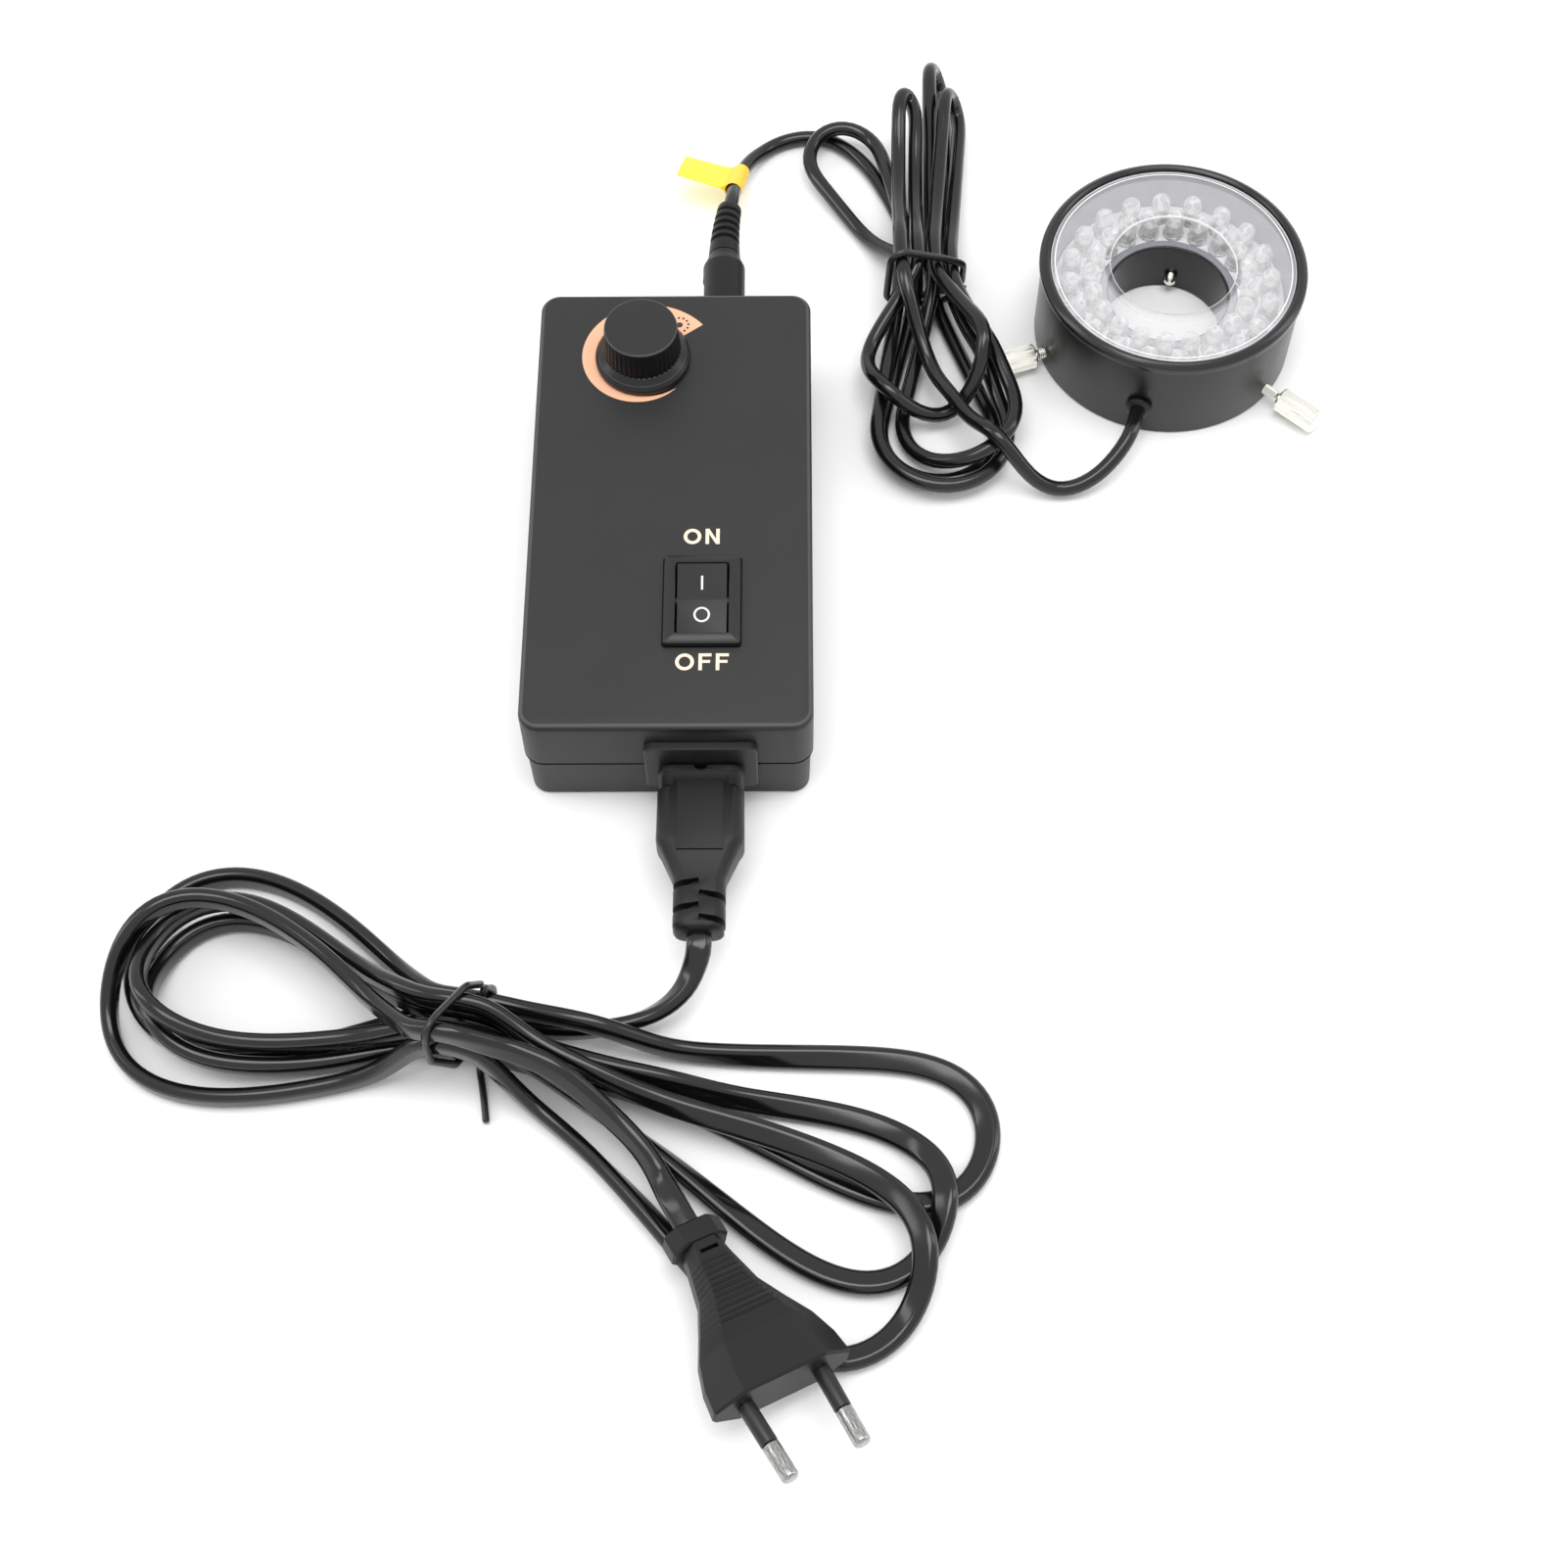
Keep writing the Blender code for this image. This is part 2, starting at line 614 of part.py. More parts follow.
def build_case(look, metal, parent):
    """The two shells of the box and the four screws that hold them together."""
    waist = SEAM_STEP + SIDE_DRAFT
    arcs = [(1 - math.cos(turn), 1 - math.sin(turn)) for turn in
            (math.pi / 2 * step / CORNER_STEPS for step in range(CORNER_STEPS + 1))]
    foot = [level(case_outline(waist + FOOT_EDGE * inward), FOOT_EDGE * upward)
            for inward, upward in arcs[::-1]]
    tub = foot + [level(case_outline(SEAM_STEP), SEAM_HEIGHT),
                  level(case_outline(SEAM_STEP + CASE_WALL), SEAM_HEIGHT),
                  level(case_outline(waist + CASE_WALL), CASE_WALL)]
    head_top = CASE_SCREW_SINK + CASE_SCREW_HEAD_HEIGHT
    bore = CASE_SCREW_HEAD_RADIUS + GAP
    bosses = merged(*[rod(bore + LOWER_BOSS_WALL, CASE_WALL - WELD, SEAM_HEIGHT - GAP, SMALL_SIDES, x, y)
                      for x, y in CASE_SCREW_PLACES])
    standoff = rod(STANDOFF_RADIUS, CASE_WALL - WELD, BOARD_UNDERSIDE - GAP, SCREW_SIDES)
    standoffs = merged(*[shifted(standoff, x, BOARD_Y + y)
                         for x in (STANDOFF_INSET - BOARD_WIDTH / 2, BOARD_WIDTH / 2 - STANDOFF_INSET)
                         for y in (STANDOFF_INSET - BOARD_LENGTH / 2, BOARD_LENGTH / 2 - STANDOFF_INSET)])
    clear_hole = CASE_SCREW_SHANK_RADIUS + SCREW_HOLE_PLAY
    counterbores = merged(*[shifted(turned([(0.0, -OVERRUN), (bore, -OVERRUN), (bore, head_top + GAP),
                                            (clear_hole, head_top + GAP), (clear_hole, SEAM_HEIGHT + OVERRUN),
                                            (0.0, SEAM_HEIGHT + OVERRUN)], SCREW_SIDES), x, y)
                            for x, y in CASE_SCREW_PLACES])
    piece("case_bottom", skin(tub), look, parent, joins=[bosses, standoffs],
          cuts=[counterbores, wall_openings()])

    crown = [level(case_outline(TOP_EDGE * inward), CASE_HEIGHT - TOP_EDGE * upward)
             for inward, upward in arcs]
    cap = [level(case_outline(CASE_WALL), CASE_CEILING), level(case_outline(CASE_WALL), CASE_TOP_START),
           level(case_outline(0.0), CASE_TOP_START)] + crown
    tip = CASE_HEIGHT - CASE_SCREW_TIP_ROOM
    top_bosses = merged(*[rod(UPPER_BOSS_RADIUS, CASE_TOP_START, CASE_CEILING + WELD, SMALL_SIDES, x, y)
                          for x, y in CASE_SCREW_PLACES])
    pilot = rod(CASE_SCREW_SHANK_RADIUS + GAP, CASE_TOP_START - OVERRUN, tip + GAP, SCREW_SIDES)
    pilots = merged(*[shifted(pilot, x, y) for x, y in CASE_SCREW_PLACES])
    shaft_hole = rod(BUSHING_RADIUS + GAP, CASE_CEILING - OVERRUN, CASE_HEIGHT + OVERRUN, ROUND_SIDES,
                     KNOB_X, KNOB_Y)
    switch_hole = shifted(prism(rounded(SWITCH_HALF_X + GAP, SWITCH_HALF_Y + GAP, BEZEL_CORNER),
                                CASE_CEILING - OVERRUN, CASE_HEIGHT + OVERRUN), SWITCH_X, SWITCH_Y)
    piece("case_top", skin(cap), look, parent, joins=[top_bosses],
          cuts=[pilots, merged(shaft_hole, switch_hole), wall_openings()])

    slot = block((-CASE_SCREW_HEAD_RADIUS - OVERRUN, -CASE_SCREW_SLOT_WIDTH / 2, -OVERRUN),
                 (CASE_SCREW_HEAD_RADIUS + OVERRUN, CASE_SCREW_SLOT_WIDTH / 2, CASE_SCREW_SLOT_DEPTH))
    point = tip - CASE_SCREW_SINK
    screw = turned([(0.0, 0.0), (CASE_SCREW_HEAD_RADIUS, 0.0),
                    (CASE_SCREW_HEAD_RADIUS, CASE_SCREW_HEAD_HEIGHT),
                    (CASE_SCREW_SHANK_RADIUS, CASE_SCREW_HEAD_HEIGHT),
                    (CASE_SCREW_SHANK_RADIUS, point - CASE_SCREW_SHANK_RADIUS), (0.0, point)], SCREW_SIDES)
    for number, (x, y) in enumerate(CASE_SCREW_PLACES, 1):
        piece(f"case_screw_{number}", screw, metal, parent, (x, y, CASE_SCREW_SINK), cuts=[slot])


# Dimmer

KNOB_Y = CASE_HALF_Y - KNOB_FROM_BACK
KNOB_BASE = CASE_HEIGHT + GAP
NUT_BASE = CASE_HEIGHT + GAP
POT_TOP = CASE_CEILING - GAP
POT_BASE = POT_TOP - POT_HEIGHT
BUSHING_TOP = CASE_HEIGHT + BUSHING_RISE


def ribbed(rows, ribs):
    """Revolves (radius, height, depth) rows; a depth sets every other facet in."""
    rings = []
    for radius, height, depth in rows:
        if radius == 0.0:
            rings.append([Vector((0.0, 0.0, height))])
            continue
        ring = []
        for step in range(ribs * 2):
            turn = math.pi * step / ribs
            reach = radius - (depth if step % 2 else 0.0)
            ring.append(Vector((reach * math.cos(turn), reach * math.sin(turn), height)))
        rings.append(ring)
    return skin(rings)


def build_dimmer(plastic, metal, dark, parent):
    """Knob, shaft, potentiometer and its nut, on one upright axis."""
    here = (KNOB_X, KNOB_Y, 0.0)
    roof = KNOB_BASE + KNOB_HEIGHT - KNOB_ROOF
    crown = KNOB_BASE + KNOB_HEIGHT
    hollow = GRIP_RADIUS - KNOB_SKIN - RIB_DEPTH
    shelf = KNOB_BASE + SKIRT_HEIGHT
    bore = SHAFT_RADIUS + GAP
    rows = [(0.0, roof, 0.0), (bore, roof, 0.0), (bore, shelf, 0.0), (hollow, shelf, 0.0),
            (hollow, KNOB_BASE, 0.0), (SKIRT_RADIUS, KNOB_BASE, 0.0),
            (SKIRT_RADIUS, KNOB_BASE + SKIRT_EDGE, 0.0), (SKIRT_SHOULDER_RADIUS, shelf, 0.0),
            (GRIP_RADIUS, shelf, RIB_DEPTH),
            (GRIP_TOP_RADIUS, crown - GRIP_CROWN_HEIGHT, RIB_DEPTH), (GRIP_CROWN_RADIUS, crown, 0.0),
            (0.0, crown, 0.0)]
    piece("dimmer_knob", ribbed(rows, RIB_COUNT), plastic, parent, here)
    shaft_base = POT_BASE + POT_FLOOR + GAP
    piece("pot_shaft", rod(SHAFT_RADIUS, shaft_base, roof - GAP), metal, parent, here)
    pot = turned([(0.0, POT_BASE), (POT_RADIUS, POT_BASE), (POT_RADIUS, POT_TOP), (BUSHING_RADIUS, POT_TOP),
                  (BUSHING_RADIUS, BUSHING_TOP), (bore, BUSHING_TOP), (bore, POT_BASE + POT_FLOOR),
                  (0.0, POT_BASE + POT_FLOOR)], ROUND_SIDES)
    piece("pot_body", pot, dark, parent, here)
    hexagon = circle(POT_NUT_FLATS / math.sqrt(3), 6)
    nut = prism(hexagon, NUT_BASE, NUT_BASE + POT_NUT_HEIGHT)
    hole = rod(BUSHING_RADIUS + GAP, NUT_BASE - OVERRUN, NUT_BASE + POT_NUT_HEIGHT + OVERRUN, ROUND_SIDES)
    piece("pot_nut", nut, metal, parent, here, cuts=[hole])


# Rocker switch

SWITCH_HALF_X = ROCKER_WIDTH / 2 + GAP + SWITCH_WALL
ROCKER_SWING = math.hypot(ROCKER_LENGTH / 2, ROCKER_RISE)
SWITCH_HALF_Y = ROCKER_SWING + GAP + SWITCH_END_WALL
SWITCH_Y = SWITCH_FROM_FRONT - CASE_HALF_Y
PIVOT_HEIGHT = CASE_HEIGHT
SWITCH_FOOT = BOARD_TOP + TAB_ROOM + TAB_REACH


def rocker_outline():
    """Side view of the rocker about its pivot, with round ends and a shallow V on top."""
    top = math.asin(ROCKER_RISE / ROCKER_SWING)
    low = -math.asin(ROCKER_DROP / ROCKER_SWING)
    points = []
    for side in (1, -1):
        ends = [low + (top - low) * step / CORNER_STEPS for step in range(CORNER_STEPS + 1)]
        arc = [(side * ROCKER_SWING * math.cos(turn), ROCKER_SWING * math.sin(turn)) for turn in ends]
        points += arc if side > 0 else arc[::-1]
        if side > 0:
            points.append((0.0, ROCKER_RISE - ROCKER_LENGTH / 2 * math.tan(ROCKER_TILT)))
    points.append((0.0, -ROCKER_DROP - ROCKER_BODY))
    return points


def build_switch(plastic, metal, parent):
    """Rocker, its frame with the contact housing, and two blade terminals."""
    here = (SWITCH_X, SWITCH_Y, 0.0)
    opening_x = ROCKER_WIDTH / 2 + GAP
    opening_y = ROCKER_SWING + GAP
    bezel_base = CASE_HEIGHT + GAP
    bezel_top = bezel_base + BEZEL_HEIGHT
    rows = [(SWITCH_HALF_X, SWITCH_HALF_Y, SWITCH_FOOT), (SWITCH_HALF_X, SWITCH_HALF_Y, bezel_base),
            (BEZEL_WIDTH / 2, BEZEL_LENGTH / 2, bezel_base),
            (BEZEL_WIDTH / 2 - BEZEL_SLOPE, BEZEL_LENGTH / 2 - BEZEL_SLOPE, bezel_top),
            (opening_x, opening_y, bezel_top), (opening_x, opening_y, SWITCH_FOOT + SWITCH_BASE)]
    rings = [level(rounded(half_x, half_y, BEZEL_CORNER), height) for half_x, half_y, height in rows]
    reach = ROCKER_WIDTH / 2 + TRUNNION_REACH
    sockets = moved(rod(TRUNNION_RADIUS + GAP, -reach - GAP, reach + GAP), ALONG_X)
    slot_x, slot_y = TAB_WIDTH / 2 + GAP, TAB_THICKNESS / 2 + GAP
    slots = merged(*[block((-slot_x, y - slot_y, SWITCH_FOOT - OVERRUN),
                           (slot_x, y + slot_y, SWITCH_FOOT + SWITCH_BASE + OVERRUN))
                     for y in (-TAB_SPACING / 2, TAB_SPACING / 2)])
    piece("switch_frame", skin(rings), plastic, parent, here,
          cuts=[shifted(sockets, z=PIVOT_HEIGHT), slots])
    side_view = moved(prism(rocker_outline(), -ROCKER_WIDTH / 2, ROCKER_WIDTH / 2), ALONG_X)
    trunnions = moved(rod(TRUNNION_RADIUS, -reach, reach), ALONG_X)
    piece("switch_rocker", side_view, plastic, parent, (SWITCH_X, SWITCH_Y, PIVOT_HEIGHT),
          (ROCKER_TILT, 0.0, 0.0), joins=[trunnions])
    tab_low = SWITCH_FOOT - TAB_REACH
    tab = block((-TAB_WIDTH / 2, -TAB_THICKNESS / 2, tab_low),
                (TAB_WIDTH / 2, TAB_THICKNESS / 2, tab_low + TAB_LENGTH))
    for number, y in enumerate((-TAB_SPACING / 2, TAB_SPACING / 2), 1):
        piece(f"switch_terminal_{number}", tab, metal, parent, (SWITCH_X, SWITCH_Y + y, 0.0))


# Mains inlet

FLANGE_BACK = -CASE_HALF_Y - GAP
FLANGE_FRONT = FLANGE_BACK - FLANGE_THICKNESS
INLET_REAR = FLANGE_BACK + INLET_BODY_DEPTH
RECESS_END = INLET_REAR - INLET_BACK
INLET_PIN_TIP = INLET_REAR + INLET_PIN_TAIL - INLET_PIN_LENGTH


def build_inlet(plastic, metal, parent):
    """The two-pin inlet: flange, body with its figure-eight recess, and two pins."""
    here = (INLET_X, 0.0, INLET_Z)
    flange = rounded(FLANGE_WIDTH / 2, FLANGE_HEIGHT / 2, FLANGE_CORNER)
    body = rounded(INLET_BODY_WIDTH / 2, INLET_BODY_HEIGHT / 2, INLET_BODY_CORNER)
    solid = skin([level(flange, FLANGE_FRONT), level(flange, FLANGE_BACK), level(body, FLANGE_BACK),
                  level(body, INLET_REAR)])
    recess = prism(figure_eight(LOBE_RADIUS + GAP, LOBE_OFFSET, SMALL_SIDES), FLANGE_FRONT - OVERRUN,
                   RECESS_END)
    holes = merged(*[rod(INLET_PIN_RADIUS + GAP, RECESS_END - OVERRUN, INLET_REAR + OVERRUN, SMALL_SIDES, x)
                     for x in (-LOBE_OFFSET, LOBE_OFFSET)])
    piece("inlet_socket", moved(solid, ALONG_Y), plastic, parent, here,
          cuts=[moved(recess, ALONG_Y), moved(holes, ALONG_Y)])
    pin = turned([(0.0, INLET_PIN_TIP), (INLET_PIN_RADIUS / 2, INLET_PIN_TIP),
                  (INLET_PIN_RADIUS, INLET_PIN_TIP + INLET_PIN_RADIUS),
                  (INLET_PIN_RADIUS, INLET_REAR + INLET_PIN_TAIL),
                  (0.0, INLET_REAR + INLET_PIN_TAIL)], SMALL_SIDES)
    for number, x in enumerate((-LOBE_OFFSET, LOBE_OFFSET), 1):
        piece(f"inlet_pin_{number}", moved(pin, ALONG_Y), metal, parent, (INLET_X + x, 0.0, INLET_Z))


CONNECTOR_FACE = FLANGE_FRONT - NOSE_PLAY
CONNECTOR_LENGTH = CONNECTOR_GRIP + CONNECTOR_SHOULDER + RELIEF_LENGTH
CONNECTOR_NECK_Y = CONNECTOR_FACE - CONNECTOR_GRIP - CONNECTOR_SHOULDER
RELIEF_END_Y = CONNECTOR_FACE - CONNECTOR_LENGTH


def build_connector(rubber, parent):
    """The moulded connector on the lead: nose, grip, shoulders and slotted relief."""
    here = (INLET_X, 0.0, INLET_Z)
    slim = CONNECTOR_WAIST_IN
    rows = [(0.0, CONNECTOR_WIDTH, CONNECTOR_THICKNESS),
            (CONNECTOR_RIM, CONNECTOR_WIDTH, CONNECTOR_THICKNESS),
            (CONNECTOR_RIM + slim / 2, CONNECTOR_WIDTH - slim * 2, CONNECTOR_THICKNESS - slim),
            (CONNECTOR_WAIST_END - slim, CONNECTOR_WIDTH - slim * 2, CONNECTOR_THICKNESS - slim),
            (CONNECTOR_WAIST_END, CONNECTOR_WIDTH, CONNECTOR_THICKNESS),
            (CONNECTOR_GRIP, CONNECTOR_WIDTH, CONNECTOR_THICKNESS),
            (CONNECTOR_GRIP + CONNECTOR_SHOULDER, NECK_WIDTH, NECK_THICKNESS),
            (CONNECTOR_LENGTH - RELIEF_END_ROUND, NECK_WIDTH, NECK_THICKNESS),
            (CONNECTOR_LENGTH, NECK_WIDTH - RELIEF_END_ROUND * 2, NECK_THICKNESS - RELIEF_END_ROUND * 2)]
    grip = skin([level(rounded(wide / 2, thick / 2, min(CONNECTOR_CORNER, thick * CONNECTOR_CORNER_SHARE)),
                       CONNECTOR_FACE - run) for run, wide, thick in rows])
    nose_end = CONNECTOR_FACE + NOSE_LENGTH
    nose = prism(figure_eight(LOBE_RADIUS, LOBE_OFFSET, SMALL_SIDES), nose_end, CONNECTOR_FACE - WELD)
    hole = rod(INLET_PIN_RADIUS + GAP, nose_end - PIN_HOLE_DEPTH, nose_end + OVERRUN)
    holes = merged(shifted(hole, x=-LOBE_OFFSET), shifted(hole, x=LOBE_OFFSET))
    slots = []
    for number in range(RELIEF_SLOT_COUNT):
        middle = CONNECTOR_NECK_Y - RELIEF_SLOT_PITCH * (number + 1 / 2)
        side = -1 if number % 2 else 1
        inner, outer = side * (NECK_WIDTH / 2 - RELIEF_SLOT_DEPTH), side * (NECK_WIDTH / 2 + OVERRUN)
        slots.append(block((min(inner, outer), -NECK_THICKNESS, middle - RELIEF_SLOT_WIDTH / 2),
                           (max(inner, outer), NECK_THICKNESS, middle + RELIEF_SLOT_WIDTH / 2)))
    panel_middle = CONNECTOR_FACE - (CONNECTOR_RIM + CONNECTOR_GRIP) / 2
    panel = block((-CONNECTOR_PANEL_WIDTH / 2, CONNECTOR_THICKNESS / 2 - CONNECTOR_PANEL_DEPTH,
                   panel_middle - CONNECTOR_PANEL_LENGTH / 2),
                  (CONNECTOR_PANEL_WIDTH / 2, CONNECTOR_THICKNESS / 2 + OVERRUN,
                   panel_middle + CONNECTOR_PANEL_LENGTH / 2))
    piece("mains_connector", moved(grip, ALONG_Y), rubber, parent, here, joins=[moved(nose, ALONG_Y)],
          cuts=[moved(shape, ALONG_Y) for shape in (holes, merged(*slots), panel)])


# Lamp socket, plug and boot

JACK_WALL_INNER = CASE_HALF_Y - SEAM_STEP - SIDE_DRAFT - CASE_WALL
JACK_FRONT = CASE_HALF_Y + JACK_RISE
PLUG_BACK = JACK_FRONT + PLUG_PLAY
COLLAR_END = PLUG_BACK + COLLAR_LENGTH
BOOT_START = COLLAR_END + COLLAR_TAIL + GAP
BOOT_END = BOOT_START + BOOT_LENGTH


def boot_centre(share):
    """Middle of the boot at a share of its length, as it starts to sag."""
    return Vector((JACK_X + BOOT_SWAY * share ** 2, BOOT_START + BOOT_LENGTH * share,
                   JACK_Z - BOOT_SAG * share ** 2))


def boot_heading():
    """Direction in which the cable leaves the boot."""
    return Vector((2 * BOOT_SWAY, BOOT_LENGTH, -2 * BOOT_SAG)).normalized()


def build_lamp_plug(plastic, metal, rubber, parent):
    """Socket and nut in the far wall, and the barrel plug with its grooved boot."""
    here = (JACK_X, 0.0, JACK_Z)
    body_front = JACK_WALL_INNER - GAP
    body = block((-JACK_BODY_WIDTH / 2, -JACK_BODY_HEIGHT / 2, body_front - JACK_BODY_DEPTH),
                 (JACK_BODY_WIDTH / 2, JACK_BODY_HEIGHT / 2, body_front))
    neck = rod(JACK_TUBE_RADIUS, body_front - WELD, JACK_FRONT, ROUND_SIDES)
    bore = rod(JACK_BORE_RADIUS, JACK_FRONT - JACK_BORE_DEPTH, JACK_FRONT + OVERRUN, ROUND_SIDES)
    piece("dc_jack", moved(body, ALONG_Y), plastic, parent, here, joins=[moved(neck, ALONG_Y)],
          cuts=[moved(bore, ALONG_Y)])
    nut_base = CASE_HALF_Y + GAP
    nut = prism(circle(JACK_NUT_FLATS / math.sqrt(3), 6), nut_base, nut_base + JACK_NUT_HEIGHT)
    hole = rod(JACK_TUBE_RADIUS + GAP, nut_base - OVERRUN, nut_base + JACK_NUT_HEIGHT + OVERRUN, ROUND_SIDES)
    piece("dc_jack_nut", moved(nut, ALONG_Y), metal, parent, here, cuts=[moved(hole, ALONG_Y)])
    barrel = JACK_BORE_RADIUS - GAP
    barrel_tip = PLUG_BACK - BARREL_LENGTH
    rows = [(BARREL_BORE_RADIUS, barrel_tip + BARREL_BORE_DEPTH), (BARREL_BORE_RADIUS, barrel_tip),
            (barrel, barrel_tip), (barrel, PLUG_BACK), (COLLAR_RADIUS - COLLAR_CHAMFER / 2, PLUG_BACK),
            (COLLAR_RADIUS, PLUG_BACK + COLLAR_CHAMFER / 2), (COLLAR_RADIUS, COLLAR_END - COLLAR_CHAMFER),
            (COLLAR_RADIUS - COLLAR_CHAMFER, COLLAR_END), (BOOT_START_RADIUS, COLLAR_END + COLLAR_TAIL)]
    rows = [(0.0, barrel_tip + BARREL_BORE_DEPTH)] + rows + [(0.0, COLLAR_END + COLLAR_TAIL)]
    piece("dc_plug", moved(turned(rows, ROUND_SIDES), ALONG_Y), rubber, parent, here)
    steps = BOOT_GROOVES * BOOT_GROOVE_STEPS
    rings = []
    for step in range(steps + 1):
        share = step / steps
        radius = BOOT_START_RADIUS + (BOOT_END_RADIUS - BOOT_START_RADIUS) * share
        if step % BOOT_GROOVE_STEPS >= BOOT_GROOVE_STEPS / 2 and step < steps:
            radius -= BOOT_GROOVE_DEPTH
        slope = Vector((2 * BOOT_SWAY * share, BOOT_LENGTH, -2 * BOOT_SAG * share)).normalized()
        frame = Matrix.Translation(boot_centre(share)) @ slope.to_track_quat("Z", "Y").to_matrix().to_4x4()
        rings.append([frame @ point for point in level(circle(radius, BOOT_SIDES), 0.0)])
    piece("dc_plug_boot", skin(rings), rubber, parent)


# Ring head

RING_PLACE = (RING_X, RING_Y, 0.0)
BEZEL_RING_OUTER = RING_RADIUS + BEZEL_RING_OVERHANG
BEZEL_RING_INNER = RING_RADIUS - BEZEL_RING_SEAT
WINDOW_BORE_RADIUS = RING_BORE_RADIUS + WINDOW_SET_IN
LED_BOARD_BASE = LEDGE_HEIGHT + GAP
LED_BOARD_TOP = LED_BOARD_BASE + BOARD_THICKNESS
WINDOW_BASE = RING_HEIGHT + GAP


def lamp_circles():
    """Radii of the circles of lamps, from the wall inwards for as long as they clear the hub."""
    circles = [RING_RADIUS - RING_WALL - LED_EDGE]
    while circles[-1] - LED_CIRCLE_PITCH - LED_RADIUS > RING_BORE_RADIUS + HUB_WALL:
        circles.append(circles[-1] - LED_CIRCLE_PITCH)
    return circles


def build_ring(metal, clear, board, lamp, parent):
    """Housing, bezel, clear window and the board with its two circles of lamps."""
    rim = RING_RADIUS - RING_WALL
    ledge = rim - LEDGE_WIDTH
    hub = RING_BORE_RADIUS + HUB_WALL
    chamber = hub + LEDGE_WIDTH
    housing = [(RING_BORE_RADIUS, 0.0), (RING_RADIUS, 0.0), (RING_RADIUS, RING_HEIGHT), (rim, RING_HEIGHT),
               (rim, LEDGE_HEIGHT), (ledge, LEDGE_HEIGHT), (ledge, RING_FLOOR), (chamber, RING_FLOOR),
               (chamber, LEDGE_HEIGHT), (hub, LEDGE_HEIGHT), (hub, HUB_HEIGHT),
               (RING_BORE_RADIUS, HUB_HEIGHT)]
    holes = []
    rows = [(angle, SCREW_SHANK_RADIUS, RING_BORE_RADIUS, SCREW_AXIS_HEIGHT) for angle in SCREW_ANGLES]
    rows.append((GROMMET_ANGLE, GROMMET_NECK_RADIUS, ledge, GROMMET_HEIGHT))
    for angle, radius, start, height in rows:
        hole = rod(radius + GAP, start - OVERRUN, RING_RADIUS + OVERRUN)
        holes.append(shifted(moved(hole, Matrix.Rotation(angle, 4, "Z") @ ALONG_X), z=height))
    piece("ring_housing", turned(housing, FINE_SIDES, closed=True), metal, parent, cuts=[merged(*holes)])

    bezel = [(BEZEL_RING_INNER, WINDOW_BASE), (BEZEL_RING_OUTER, WINDOW_BASE),
             (BEZEL_RING_OUTER, WINDOW_BASE + BEZEL_RING_HEIGHT - BEZEL_RING_EDGE),
             (BEZEL_RING_OUTER - BEZEL_RING_EDGE, WINDOW_BASE + BEZEL_RING_HEIGHT),
             (BEZEL_RING_INNER + BEZEL_RING_EDGE, WINDOW_BASE + BEZEL_RING_HEIGHT),
             (BEZEL_RING_INNER, WINDOW_BASE + WINDOW_THICKNESS)]
    piece("ring_bezel", turned(bezel, FINE_SIDES, closed=True), metal, parent)
    tube_outer = WINDOW_BORE_RADIUS + WINDOW_TUBE_WALL
    window_top = WINDOW_BASE + WINDOW_THICKNESS
    window = [(WINDOW_BORE_RADIUS, HUB_HEIGHT + GAP), (tube_outer, HUB_HEIGHT + GAP),
              (tube_outer, WINDOW_BASE), (BEZEL_RING_INNER - GAP, WINDOW_BASE),
              (BEZEL_RING_INNER - GAP, window_top),
              (WINDOW_BORE_RADIUS, window_top)]
    piece("ring_window", turned(window, FINE_SIDES, closed=True), clear, parent)

    disc = [(hub + GAP, LED_BOARD_BASE), (rim - GAP, LED_BOARD_BASE), (rim - GAP, LED_BOARD_TOP),
            (hub + GAP, LED_BOARD_TOP)]
    lamp_top = LED_BOARD_TOP + LED_HEIGHT
    slant = LED_RADIUS * math.cos(math.pi / 4)
    rows = [(0.0, LED_BOARD_TOP - LED_SUNK), (LED_RADIUS, LED_BOARD_TOP - LED_SUNK),
            (LED_RADIUS, lamp_top - LED_RADIUS), (slant, lamp_top - LED_RADIUS + slant), (0.0, lamp_top)]
    lamp_solid = turned(rows, LAMP_SIDES)
    lamps = []
    for ring, reach in enumerate(lamp_circles()):
        for number in range(LED_COUNT):
            angle = LED_START + math.pi * (2 * number + ring) / LED_COUNT
            lamps.append(shifted(lamp_solid, reach * math.cos(angle), reach * math.sin(angle)))
    made = piece("led_board", turned(disc, FINE_SIDES, closed=True), board, parent, joins=[merged(*lamps)])
    made.data.materials.append(lamp)


